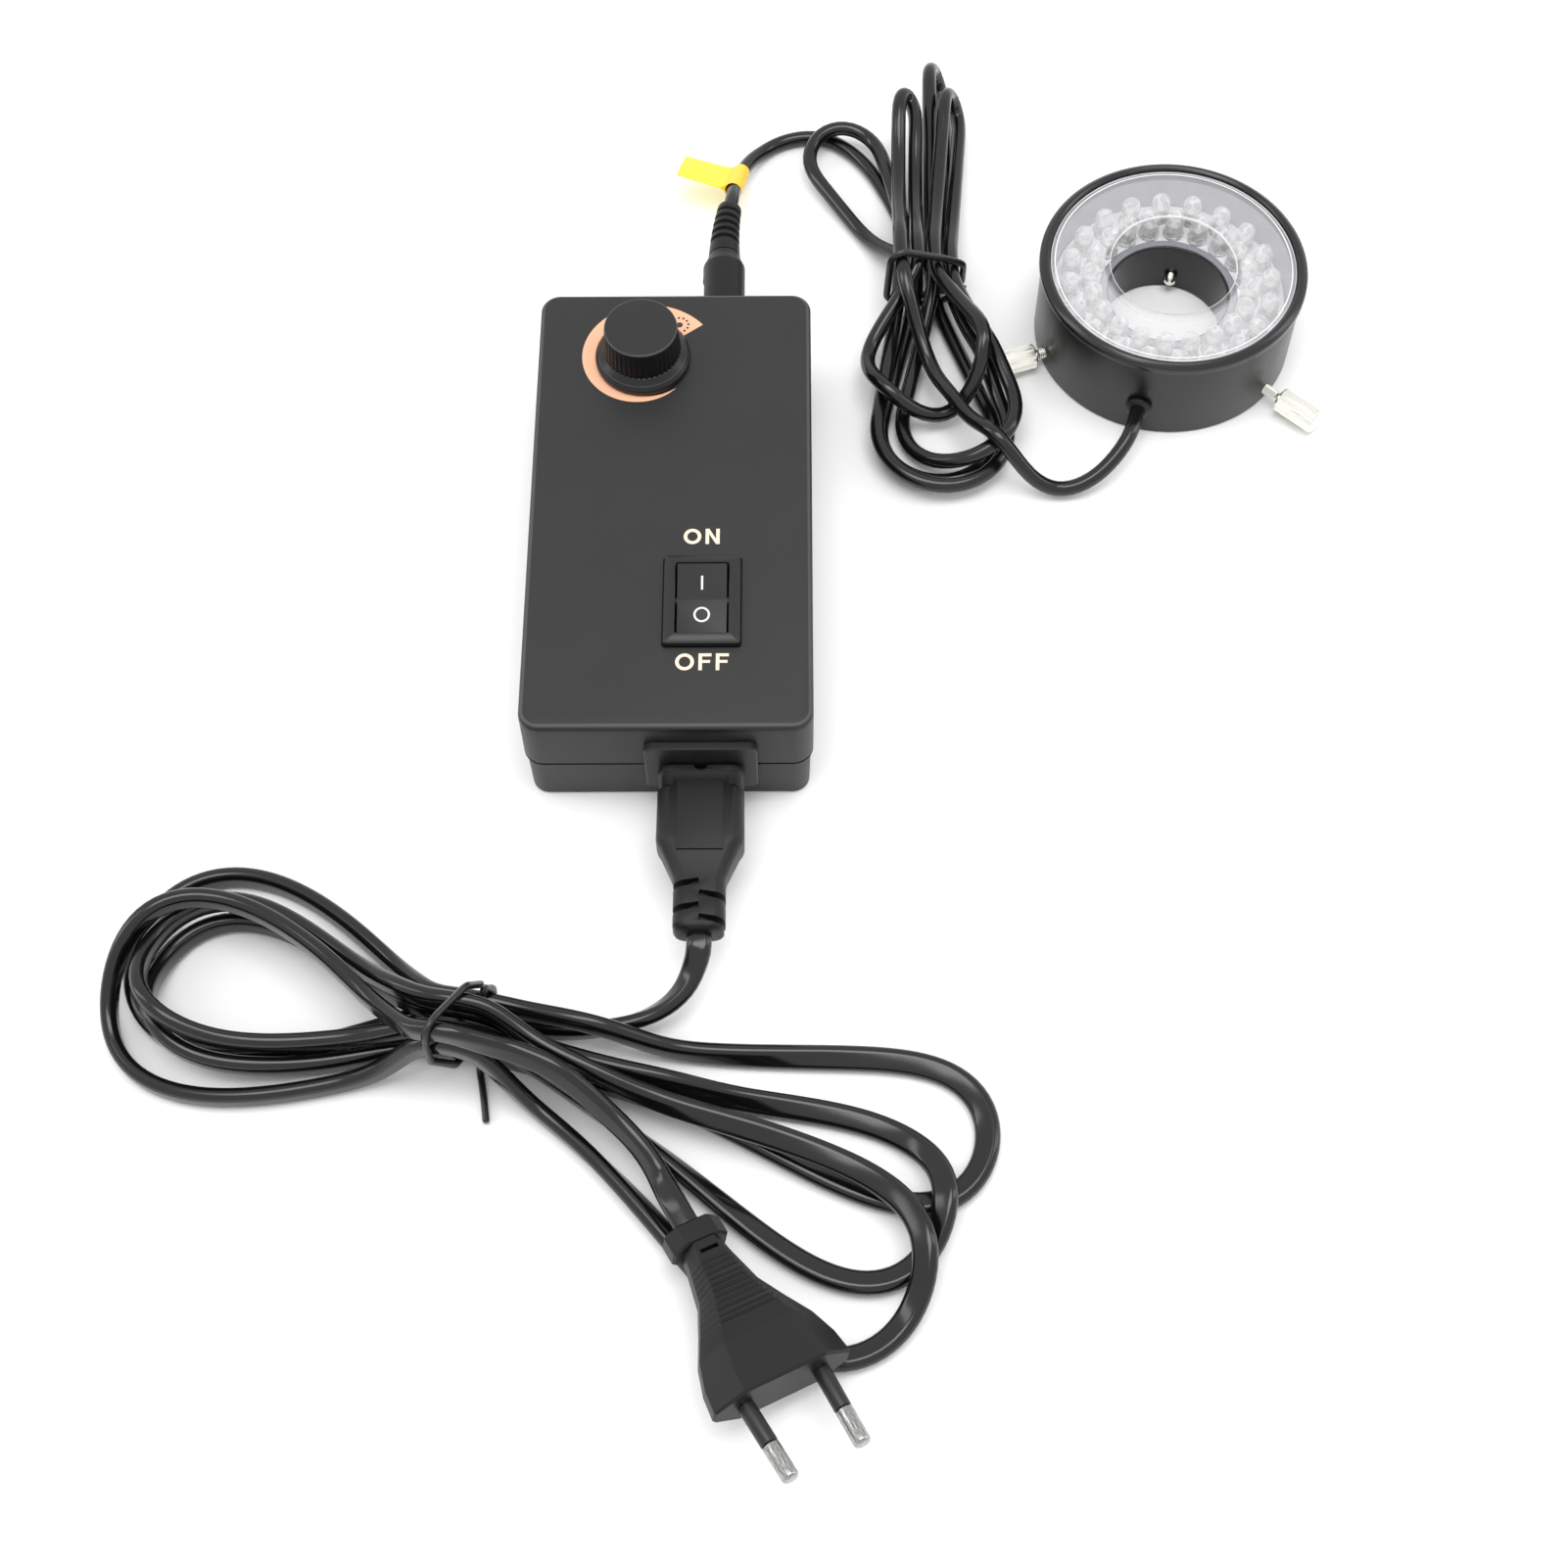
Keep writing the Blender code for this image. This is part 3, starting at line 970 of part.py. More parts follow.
def build_ring_fittings(nickel, rubber, parent):
    """Three thumbscrews that clamp on the microscope, and the cable's grommet."""
    rows = [(0.0, -SCREW_SHANK_LENGTH, 0.0), (SCREW_SHANK_RADIUS / 2, -SCREW_SHANK_LENGTH, 0.0),
            (SCREW_SHANK_RADIUS, SCREW_SHANK_RADIUS / 2 - SCREW_SHANK_LENGTH, 0.0),
            (SCREW_SHANK_RADIUS, 0.0, 0.0),
            (SCREW_HEAD_RADIUS - SCREW_HEAD_CHAMFER, 0.0, 0.0),
            (SCREW_HEAD_RADIUS, SCREW_HEAD_CHAMFER, SCREW_FLUTE_DEPTH),
            (SCREW_HEAD_RADIUS, SCREW_HEAD_LENGTH - SCREW_HEAD_CHAMFER, SCREW_FLUTE_DEPTH),
            (SCREW_HEAD_RADIUS - SCREW_HEAD_CHAMFER, SCREW_HEAD_LENGTH, 0.0), (0.0, SCREW_HEAD_LENGTH, 0.0)]
    solid = moved(ribbed(rows, SCREW_FLUTES), ALONG_X)
    for number, (angle, stand) in enumerate(zip(SCREW_ANGLES, SCREW_HEAD_STANDS), 1):
        reach = RING_RADIUS + stand
        piece(f"thumbscrew_{number}", solid, nickel, parent,
              (reach * math.cos(angle), reach * math.sin(angle), SCREW_AXIS_HEIGHT), (0.0, 0.0, angle))
    ledge = RING_RADIUS - RING_WALL - LEDGE_WIDTH
    flange_in = RING_RADIUS + GAP
    rows = [(0.0, ledge - GROMMET_NECK_REACH), (GROMMET_NECK_RADIUS, ledge - GROMMET_NECK_REACH),
            (GROMMET_NECK_RADIUS, flange_in), (GROMMET_FLANGE_RADIUS, flange_in),
            (GROMMET_FLANGE_RADIUS, flange_in + GROMMET_FLANGE / 2),
            (GROMMET_NECK_RADIUS, flange_in + GROMMET_FLANGE), (0.0, flange_in + GROMMET_FLANGE)]
    piece("cable_grommet", moved(turned(rows, SMALL_SIDES), ALONG_X), rubber, parent,
          (0.0, 0.0, GROMMET_HEIGHT), (0.0, 0.0, GROMMET_ANGLE))


# Mains plug

def plug_frame():
    """Frame at the middle of the plug's pin face: X forward, Z through its flat side."""
    turn = Matrix.Rotation(PLUG_HEADING, 4, "Z") @ Matrix.Rotation(-PLUG_PITCH, 4, "Y")
    return Matrix.Translation(PLUG_FACE) @ turn @ Matrix.Rotation(-PLUG_ROLL, 4, "X")


def plug_section(place_x, half_width, half_thickness, rim):
    """An eight-sided section with its corners cut, across the plug at one place."""
    flat = min(half_width * PLUG_FLAT_SHARE, half_width - rim)
    edge = min(rim / 2, half_thickness * PLUG_EDGE_SHARE)
    corners = [(half_width, -edge), (half_width, edge), (flat, half_thickness), (-flat, half_thickness),
               (-half_width, edge), (-half_width, -edge), (-flat, -half_thickness), (flat, -half_thickness)]
    points = []
    for index, corner in enumerate(corners):
        here = Vector(corner)
        for near in (corners[index - 1], corners[(index + 1) % len(corners)]):
            points.append(here.lerp(Vector(near), PLUG_ROUNDING_SHARE))
    return [Vector((place_x, y, z)) for y, z in points]


def plug_half_sizes(run):
    """Half the width and half the thickness of the plug's body, at a run from its collar's end."""
    share = run / PLUG_LENGTH
    width = PLUG_HALF_WIDTH * float(np.interp(share, *zip(*PLUG_OUTLINE_SHARES)))
    swell = min(1.0, share / PLUG_FULL_THICKNESS_SHARE)
    return width, PLUG_NECK_RADIUS + (PLUG_HALF_THICKNESS - PLUG_NECK_RADIUS) * swell


def build_plug(rubber, sleeve_look, metal, parent):
    """The flat two-pin plug body, its part-sleeved pins and the grip grooves."""
    collar, neck = PLUG_COLLAR_LENGTH, PLUG_NECK_RADIUS
    rows = [(0.0, PLUG_COLLAR_HALF_WIDTH, PLUG_COLLAR_HALF_THICKNESS),
            (collar, PLUG_COLLAR_HALF_WIDTH, PLUG_COLLAR_HALF_THICKNESS), (collar, neck, neck),
            (collar + PLUG_RIM, neck, neck)]
    rows += [(PLUG_LENGTH * share, *plug_half_sizes(PLUG_LENGTH * share)) for share, _ in PLUG_OUTLINE_SHARES]
    rings = [plug_section(run - PLUG_LENGTH, wide, thick, PLUG_RIM) for run, wide, thick in rows]
    angle_in = math.atan((PLUG_PIN_SPACING - PLUG_PIN_TIP_SPACING) / 2 / PLUG_PIN_LENGTH)
    frames, bores = [], []
    for side in (-1, 1):
        lean = Matrix.Rotation(-side * angle_in, 4, "Z")
        frame = Matrix.Translation((0.0, side * PLUG_PIN_SPACING / 2, 0.0)) @ lean
        frames.append(frame)
        bores.append(moved(rod(PLUG_PIN_CORE_RADIUS + GAP, -PLUG_PIN_ROOT - GAP, OVERRUN), frame @ ALONG_X))
    grooves = []
    for number in range(PLUG_GRIP_GROOVES):
        middle = PLUG_GROOVE_START + PLUG_GROOVE_PITCH * number
        width, top = plug_half_sizes(middle)
        half = width * PLUG_GROOVE_SHARE
        for side in (-1, 1):
            low, high = sorted((side * (top - PLUG_GROOVE_DEPTH), side * (top + OVERRUN)))
            grooves.append(block((middle - PLUG_LENGTH - PLUG_GROOVE_WIDTH / 2, -half, low),
                                 (middle - PLUG_LENGTH + PLUG_GROOVE_WIDTH / 2, half, high)))
    carry = plug_frame()
    piece("plug_body", moved(skin(rings), carry), rubber, parent,
          cuts=[moved(merged(*bores), carry), moved(merged(*grooves), carry)])
    bore = PLUG_PIN_CORE_RADIUS + GAP
    sleeve = turned([(bore, GAP), (PLUG_PIN_RADIUS, GAP), (PLUG_PIN_RADIUS, PLUG_SLEEVE_LENGTH),
                     (bore, PLUG_SLEEVE_LENGTH)], SMALL_SIDES, closed=True)
    bare = PLUG_SLEEVE_LENGTH + GAP
    wide_share, tip_share = PLUG_PIN_TIP_SHARES
    pin = turned([(0.0, -PLUG_PIN_ROOT), (PLUG_PIN_CORE_RADIUS, -PLUG_PIN_ROOT), (PLUG_PIN_CORE_RADIUS, bare),
                  (PLUG_PIN_RADIUS, bare), (PLUG_PIN_RADIUS, PLUG_PIN_LENGTH - PLUG_PIN_RADIUS),
                  (PLUG_PIN_RADIUS * wide_share, PLUG_PIN_LENGTH - PLUG_PIN_RADIUS * tip_share),
                  (PLUG_PIN_RADIUS * tip_share, PLUG_PIN_LENGTH), (0.0, PLUG_PIN_LENGTH)], SMALL_SIDES)
    for number, frame in enumerate(frames, 1):
        piece(f"plug_pin_{number}", moved(pin, carry @ frame @ ALONG_X), metal, parent)
        piece(f"plug_pin_sleeve_{number}", moved(sleeve, carry @ frame @ ALONG_X), sleeve_look, parent)


# Circuit board

CORE_X = CORE_EDGE + CORE_WIDTH / 2 - BOARD_WIDTH / 2
CORE_HEIGHT = CASE_CEILING - PART_LEVEL - CORE_HEADROOM
WINDING_THICKNESS = (CORE_WIDTH - CORE_LEG) / 2 - CORE_YOKE - GAP * 2
CAPACITOR_X = CAPACITOR_EDGE + CAPACITOR_RADIUS - BOARD_WIDTH / 2
CAPACITOR_HEIGHT = CASE_CEILING - PART_LEVEL - CAPACITOR_HEADROOM
SINK_X = BOARD_WIDTH / 2 - SINK_EDGE - SINK_FIN_REACH
SINK_HEIGHT = CASE_CEILING - PART_LEVEL - SINK_HEADROOM
TRANSISTOR_HEIGHT = SINK_HEIGHT - TRANSISTOR_LEG_LENGTH
FUSE_X = BOARD_WIDTH / 2 - FUSE_EDGE - FUSE_CAP_RADIUS


def build_electronics(board, ferrite, copper, can, metal, plastic, glass, parent):
    """The driver board on its standoffs, with the parts that it carries."""
    sheet = prism(rounded(BOARD_WIDTH / 2, BOARD_LENGTH / 2, STANDOFF_INSET), BOARD_UNDERSIDE, BOARD_TOP)
    piece("driver_board", sheet, board, parent, (0.0, BOARD_Y, 0.0))
    core = block((-CORE_WIDTH / 2, -CORE_DEPTH / 2, 0.0), (CORE_WIDTH / 2, CORE_DEPTH / 2, CORE_HEIGHT))
    windows = merged(*[block((min(near, far), -CORE_DEPTH / 2 - OVERRUN, CORE_YOKE),
                             (max(near, far), CORE_DEPTH / 2 + OVERRUN, CORE_HEIGHT - CORE_YOKE))
                       for near, far in ((CORE_LEG / 2, CORE_WIDTH / 2 - CORE_YOKE),
                                         (-CORE_LEG / 2, CORE_YOKE - CORE_WIDTH / 2))])
    piece("transformer_core", core, ferrite, parent, (CORE_X, CORE_Y, PART_LEVEL), cuts=[windows])
    inner = (CORE_LEG / 2 + GAP, CORE_DEPTH / 2 + GAP)
    low, high = CORE_YOKE + GAP, CORE_HEIGHT - CORE_YOKE - GAP
    round_in = GAP
    hole = rounded(*inner, round_in)
    wrap = rounded(inner[0] + WINDING_THICKNESS, inner[1] + WINDING_THICKNESS, round_in + WINDING_THICKNESS)
    winding = skin([level(hole, low), level(wrap, low), level(wrap, high), level(hole, high)], closed=True)
    piece("transformer_winding", winding, copper, parent, (CORE_X, CORE_Y, PART_LEVEL))
    crimp = CAPACITOR_RADIUS - CAPACITOR_CRIMP
    rows = [(0.0, 0.0), (CAPACITOR_RADIUS, 0.0), (CAPACITOR_RADIUS, CAPACITOR_CRIMP_HEIGHT - CAPACITOR_CRIMP),
            (crimp, CAPACITOR_CRIMP_HEIGHT), (CAPACITOR_RADIUS, CAPACITOR_CRIMP_HEIGHT + CAPACITOR_CRIMP),
            (CAPACITOR_RADIUS, CAPACITOR_HEIGHT - CAPACITOR_CRIMP),
            (crimp, CAPACITOR_HEIGHT), (0.0, CAPACITOR_HEIGHT)]
    piece("filter_capacitor", turned(rows, SMALL_SIDES), can, parent, (CAPACITOR_X, CAPACITOR_Y, PART_LEVEL))
    points = [(-SINK_THICKNESS, -SINK_LENGTH / 2)]
    pitch = (SINK_LENGTH - SINK_FIN_THICKNESS) / (SINK_FINS - 1)
    for number in range(SINK_FINS):
        start = -SINK_LENGTH / 2 + pitch * number
        points += [(0.0, start)] if number else []
        points += [(SINK_FIN_REACH, start), (SINK_FIN_REACH, start + SINK_FIN_THICKNESS)]
        points += [(0.0, start + SINK_FIN_THICKNESS)] if number < SINK_FINS - 1 else []
    points.append((-SINK_THICKNESS, SINK_LENGTH / 2))
    piece("heat_sink", prism(points, 0.0, SINK_HEIGHT), metal, parent, (SINK_X, SINK_Y, PART_LEVEL))
    back = SINK_X - SINK_THICKNESS - GAP
    case = block((-TRANSISTOR_THICKNESS, -TRANSISTOR_WIDTH / 2, TRANSISTOR_LEG_LENGTH),
                 (0.0, TRANSISTOR_WIDTH / 2, TRANSISTOR_LEG_LENGTH + TRANSISTOR_HEIGHT))
    half = TRANSISTOR_LEG_WIDTH / 2
    legs = merged(*[block((-TRANSISTOR_THICKNESS / 2 - half, TRANSISTOR_LEG_PITCH * number - half, 0.0),
                          (-TRANSISTOR_THICKNESS / 2 + half, TRANSISTOR_LEG_PITCH * number + half,
                           TRANSISTOR_LEG_LENGTH + WELD)) for number in (-1, 0, 1)])
    piece("drive_transistor", case, plastic, parent, (back, SINK_Y, PART_LEVEL), joins=[legs])
    end = FUSE_LENGTH / 2
    rows = [(0.0, -end), (FUSE_CAP_RADIUS, -end), (FUSE_CAP_RADIUS, FUSE_CAP_LENGTH - end),
            (FUSE_GLASS_RADIUS, FUSE_CAP_LENGTH - end), (FUSE_GLASS_RADIUS, end - FUSE_CAP_LENGTH),
            (FUSE_CAP_RADIUS, end - FUSE_CAP_LENGTH), (FUSE_CAP_RADIUS, end), (0.0, end)]
    piece("fuse", moved(turned(rows, SMALL_SIDES), ALONG_Y), glass, parent,
          (FUSE_X, FUSE_Y, PART_LEVEL + FUSE_CAP_RADIUS))


# Cord routes

def loop(start, end, length, width, heading, stand):
    """Rows (x, y, lift) of one loop of a hank, from its door out and back.

    The loop is two straight legs and a round end. Its plane leans by the angle
    stand, so the way back lies beside and above the way out.
    """
    radius = abs(width) / 2
    hand = math.copysign(1.0, width)
    ahead = np.array([math.cos(heading), math.sin(heading)])
    aside = np.array([-ahead[1], ahead[0]]) * hand
    root = (start + end) / 2
    reach = length - radius
    opening = math.acos(min(1.0, radius / reach))

    def bend(turn):
        side = radius * math.sin(turn)
        plan = root + ahead * (reach + radius * math.cos(turn)) + aside * side * math.cos(stand)
        return plan, (radius - side) * math.sin(stand)

    first, first_lift = bend(math.pi - opening)
    last, last_lift = bend(opening - math.pi)
    rows = []
    for step in range(LEG_STEPS):
        share = step / LEG_STEPS
        rows.append((*(start + (first - start) * share), first_lift * share))
    for step in range(BEND_STEPS + 1):
        plan, lift = bend((math.pi - opening) * (1 - 2 * step / BEND_STEPS))
        rows.append((*plan, lift))
    for step in range(1, LEG_STEPS + 1):
        share = step / LEG_STEPS
        rows.append((*(last + (end - last) * share), last_lift * (1 - share)))
    return rows


def petal(start, end, length, width, heading):
    """Rows (x, y, lift) of one flat loop that swells slowly and turns at its end."""
    peak = 4 / (3 * math.sqrt(3))
    ahead = np.array([math.cos(heading), math.sin(heading)])
    aside = np.array([-ahead[1], ahead[0]])
    blunt = min(PETAL_BLUNT_MOST_SHARE, max(PETAL_BLUNT_LEAST_SHARE, PETAL_BLUNT_SHARE * abs(width) / length))
    rows = []
    for step in range(PETAL_STEPS + 1):
        share = step / PETAL_STEPS
        turn = math.pi * share
        plan = start + (end - start) * share + ahead * length * math.sin(turn) ** blunt
        plan = plan + aside * width / 2 * math.sin(2 * turn) * math.sin(turn) / peak
        rows.append((*plan, 0.0))
    return rows


def smooth(rows, spacing):
    """A centripetal Catmull-Rom curve through rows, resampled at even steps."""
    rows = [np.array(row, float) for row in rows]
    rows = [2 * rows[0] - rows[1]] + rows + [2 * rows[-1] - rows[-2]]
    dense = []
    for index in range(1, len(rows) - 2):
        p0, p1, p2, p3 = rows[index - 1:index + 3]
        t1 = np.linalg.norm((p1 - p0)[:3]) ** 0.5
        t2 = t1 + np.linalg.norm((p2 - p1)[:3]) ** 0.5
        t3 = t2 + np.linalg.norm((p3 - p2)[:3]) ** 0.5
        for step in range(FINE_SAMPLES):
            t = t1 + (t2 - t1) * step / FINE_SAMPLES
            a1 = (t1 - t) / t1 * p0 + t / t1 * p1
            a2 = (t2 - t) / (t2 - t1) * p1 + (t - t1) / (t2 - t1) * p2
            a3 = (t3 - t) / (t3 - t2) * p2 + (t - t2) / (t3 - t2) * p3
            b1 = (t2 - t) / t2 * a1 + t / t2 * a2
            b2 = (t3 - t) / (t3 - t1) * a2 + (t - t1) / (t3 - t1) * a3
            dense.append((t2 - t) / (t2 - t1) * b1 + (t - t1) / (t2 - t1) * b2)
    dense.append(rows[-2])
    dense = np.array(dense)
    run = along(dense)
    stops = np.linspace(0, run[-1], max(2, round(run[-1] / spacing)) + 1)
    return np.stack([np.interp(stops, run, column) for column in dense.T], 1)


def along(rows):
    """Distance run at each row."""
    return np.concatenate([[0.0], np.cumsum(np.linalg.norm(np.diff(rows[:, :3], axis=0), axis=1))])


def blur(run, reach):
    """Weights that average each row of a cord with those within a reach of it."""
    weights = np.exp(-((run[:, None] - run[None]) / reach) ** 2)
    return weights / weights.sum(1)[:, None]


def eased(rows):
    """A cord's rows with their turns in plan eased, but for a short run at each end."""
    run = along(rows)
    free = np.clip(np.minimum(run, run[-1] - run) / EXIT_RUN - 1, 0, 1)[:, None]
    rows = rows.copy()
    rows[:, :2] += (blur(run, BEND_RUN) @ rows[:, :2] - rows[:, :2]) * free
    return rows


def on_tie(rows, waist, heading, lift):
    """Heights that carry a cord over the bottom of its tie."""
    place = rows[:, :2] - waist
    under = (np.abs(place @ forward(heading)) < TIE_BAND) & (np.abs(place @ across(heading)) < TIE_REACH)
    return np.where(under, lift, 0.0)


def settle(rows, half_width, half_height, least, skip):
    """Lays each later stretch over the earlier ones that it meets.

    Two stretches are taken as oval, so one that meets another off its middle
    lifts less. What a row still lacks is added to the rows near it as well,
    until every row has its height: so a cord rises in a rounded hump.
    """
    plan, run = rows[:, :2], along(rows)
    apart = np.linalg.norm(plan[:, None] - plan[None], axis=2)
    reach = half_width[:, None] + half_width[None] + CORD_SPACE
    tall = half_height[:, None] + half_height[None] + CORD_SPACE
    over = tall * np.sqrt(np.clip(1 - (apart / reach) ** 2, 0, 1))
    meets = (apart < reach) & (run[:, None] - run[None] > skip)
    near = blur(run, CLIMB_RUN)
    height = np.maximum(half_height, rows[:, 2])
    for _ in range(SETTLE_ROUNDS):
        needed = np.max(np.where(meets, height[None] + over, least[:, None]), axis=1)
        lacking = np.maximum(needed - height, 0)
        if lacking.max() < SETTLED:
            break
        height = height + near @ lacking
    return np.column_stack([plan, height])


def least_gap(rows, spare, radius, skip):
    """Least clear distance between stretches of a cord that aren't neighbours.

    A flat cord is measured on the round cores along its edges, which lie a
    spare width to each side of its middle.
    """
    run = along(rows)
    stops = np.arange(0.0, run[-1], GAP_SAMPLE)
    middle = np.stack([np.interp(stops, run, rows[:, axis]) for axis in range(3)], 1)
    lean = np.interp(stops, run, rows[:, 3])
    way = np.gradient(middle, axis=0)
    level_side = np.stack([-way[:, 1], way[:, 0], np.zeros(len(way))], 1)
    level_side /= np.linalg.norm(level_side, axis=1)[:, None] + TINY
    side = level_side * (spare * np.cos(lean))[:, None]
    side[:, 2] = spare * np.sin(lean)
    cores = [middle, middle + side, middle - side] if spare else [middle]
    far = np.abs(stops[:, None] - stops[None]) > skip
    least = np.inf
    for one in cores:
        for other in cores:
            squares = np.sum(one ** 2, axis=1)[:, None] + np.sum(other ** 2, axis=1)[None]
            square = squares - 2 * one @ other.T
            least = min(least, math.sqrt(max(0.0, square[far].min())))
    return least - 2 * radius


def thinned(path, straight, turn):
    """Indices of a path's points, at a step of straight run or of turn."""
    heading = np.diff(path[:, :3], axis=0)
    heading /= np.linalg.norm(heading, axis=1)[:, None]
    bends = np.arccos(np.clip(np.sum(heading[1:] * heading[:-1], axis=1), -1, 1))
    step = along(path)[1] / straight
    spent = np.concatenate([[0.0], step + np.concatenate([[0.0], bends]) / turn])
    spent = np.cumsum(spent)
    count = max(2, math.ceil(spent[-1]))
    picks = np.searchsorted(spent, np.linspace(0, spent[-1], count + 1))
    return sorted({0, len(path) - 1, *(int(pick) for pick in picks if pick < len(path))})


def across(heading):
    """Unit vector to the left of a heading, in plan."""
    return np.array([-math.sin(heading), math.cos(heading)])


def forward(heading):
    """Unit vector along a heading, in plan."""
    return np.array([math.cos(heading), math.sin(heading)])


def lead_route():
    """Rows of the mains lead from its connector to its plug, with the width's tilt."""
    tie = forward(LEAD_WAIST_HEADING)
    rows = []

    def lane(number, run=0.0):
        return LEAD_WAIST + across(LEAD_WAIST_HEADING) * LEAD_LANE * LEAD_LANE_SHARES[number] + tie * run

    def waist(number):
        side = TIE_BAND if number % 2 else -TIE_BAND
        for run in (-side, side):
            rows.append((*lane(number, run), 0.0, LEAD_EDGE_TILT))

    exit_y = RELIEF_END_Y - GAP
    for y in (exit_y, exit_y - LEAD_THICKNESS):
        rows.append((INLET_X, y, INLET_Z, math.pi / 2))
    rows += [(*point, LEAD_EDGE_TILT) for point in LEAD_START_RUN]
    for number, (length, width, heading) in enumerate(LEAD_LEFT_LOOPS):
        waist(2 * number)
        turn = petal(lane(2 * number, -LEAD_DOOR), lane(2 * number + 1, -LEAD_DOOR), length - LEAD_DOOR,
                     width, math.radians(heading))
        rows += [(*row, LEAD_EDGE_TILT) for row in turn]
        waist(2 * number + 1)
        if number < len(LEAD_RIGHT_LOOPS):
            length, width, heading = LEAD_RIGHT_LOOPS[number]
            turn = petal(lane(2 * number + 1, LEAD_DOOR), lane(2 * number + 2, LEAD_DOOR), length - LEAD_DOOR,
                         width, math.radians(heading))
            for step, row in enumerate(turn):
                out = math.sin(math.pi * step / PETAL_STEPS)
                lie = min(1.0, max(0.0, out * LIE_RISE_SHARE - LIE_DROP_SHARE))
                rows.append((*row, LEAD_EDGE_TILT + (LEAD_FLAT_TILT - LEAD_EDGE_TILT) * lie))
    rows += [(*point, LEAD_END_TILT) for point in LEAD_END_RUN]
    for back in (2, 1, 0):
        spot = plug_frame() @ Vector((-PLUG_LENGTH - GAP - LEAD_THICKNESS * back, 0.0, 0.0))
        rows.append((*spot, LEAD_FLAT_TILT))
    return rows


def cable_route():
    """Rows of the lamp cable from the boot to the ring's grommet."""
    tie = forward(CABLE_WAIST_HEADING)
    rows = []

    def lane(number, run=0.0):
        return CABLE_WAIST + across(CABLE_WAIST_HEADING) * CABLE_LANE * CABLE_LANE_SHARES[number] + tie * run

    def waist(number):
        side = -TIE_BAND if number % 2 else TIE_BAND
        for run in (-side, side):
            rows.append((*lane(number, run), 0.0))

    def turn(number, loop_row, door):
        length, width, heading, lean = loop_row
        hand = 1 if CABLE_LANE_SHARES[number] > CABLE_LANE_SHARES[number + 1] else -1
        rows.extend(loop(lane(number, door), lane(number + 1, door), length - abs(door),
                         math.copysign(width, hand * door), math.radians(heading), math.radians(lean)))

    for back in (GAP, GAP + CABLE_DIAMETER):
        rows.append(tuple(boot_centre(1.0) + boot_heading() * back))
    rows.extend(CABLE_START_RUN)
    for number, low_loop in enumerate(CABLE_LOW_LOOPS):
        waist(2 * number)
        turn(2 * number, low_loop, CABLE_DOOR)
        waist(2 * number + 1)
        turn(2 * number + 1, CABLE_HIGH_LOOPS[number], -CABLE_DOOR)
    waist(len(CABLE_LANE_SHARES) - 1)
    rows.extend(CABLE_END_RUN)
    outward = forward(GROMMET_ANGLE)
    face = RING_RADIUS + GAP + GROMMET_FLANGE + GAP
    for back in (face + CABLE_DIAMETER * 2, face + CABLE_DIAMETER, face):
        rows.append((RING_X + outward[0] * back, RING_Y + outward[1] * back, GROMMET_HEIGHT))
    return rows


def passes(path, place):
    """Indices where a path runs past a place in plan, one for each pass."""
    apart = np.linalg.norm(path[:, :2] - place, axis=1)
    return [index for index in range(1, len(path) - 1)
            if apart[index] <= apart[index - 1] and apart[index] < min(apart[index + 1], PASS_REACH)]


def band(name, middle, heading, half_width, top, tail, look, parent):
    """A flat strap round a hank, from under it to over it, with a short tail."""
    half_height = (top + TIE_THICKNESS) / 2
    outer = rounded(half_width + TIE_THICKNESS, half_height, TIE_THICKNESS * 2)
    inner = rounded(half_width, half_height - TIE_THICKNESS, TIE_THICKNESS)
    half_band = TIE_BAND / 2
    strap = skin([level(inner, -half_band), level(outer, -half_band), level(outer, half_band),
                  level(inner, half_band)], closed=True)
    near, far = sorted((tail * (half_width + TIE_THICKNESS / 2), tail * (half_width + TIE_TAIL_LENGTH)))
    end = block((near, TIE_THICKNESS - half_height, -half_band * TIE_TAIL_SHARE),
                (far, TIE_THICKNESS * 2 - half_height, half_band * TIE_TAIL_SHARE))
    stand = Matrix.Translation((*middle, half_height)) @ Matrix.Rotation(heading, 4, "Z") @ ALONG_X
    piece(name, moved(strap, stand), look, parent, joins=[moved(end, stand)])


def square_ends(path, tilts, low, high, trims, thickness, steps):
    """Points of one stretch, trimmed at its ends, where it runs straight for a thickness."""
    run, lean = path[low:high + 1], tilts[low:high + 1]
    distance = along(run)
    reach = thickness * END_CLEAR_SHARE
    points = [(*run[pick], lean[pick]) for pick in thinned(run, *steps)
              if reach < distance[pick] < distance[-1] - reach]
    for end, trim in zip((0, -1), trims):
        here = low if end == 0 else high
        way = path[min(here + 2, len(path) - 1)] - path[max(here - 2, 0)]
        way = way / np.linalg.norm(way) * (1 if end == 0 else -1)
        pair = [(*(run[end] + way * back), lean[end]) for back in (trim, trim + thickness)]
        points = pair + points if end == 0 else points + pair[::-1]
    return np.array(points)


def lay_cord(name, path, tilts, waist, width, thickness, steps, look, parent):
    """Makes the free stretches and the hank of one cord and prints the hank's least gap."""
    first = passes(path, waist[0])[0]
    last = passes(path, waist[1])[-1]
    half = GAP / 2
    stretches = (("start", 0, first, (0.0, half), 2), ("hank", first, last, (half, half), 1),
                 ("end", last, len(path) - 1, (half, 0.0), 2))
    for part, low, high, trims, detail in stretches:
        rows = square_ends(path, tilts, low, high, trims, thickness, steps)
        tube(f"{name}_{part}", rows[:, :3], look, parent, width, thickness, detail, math.pi / 2 - rows[:, 3])
        if part == "hank":
            gap = least_gap(rows, (width - thickness) / 2, thickness / 2, thickness * NEIGHBOUR_SHARE)
            print(f"{name}_{part} least gap {gap * 1000:.2f} mm, whole cord {along(path)[-1]:.3f} m")


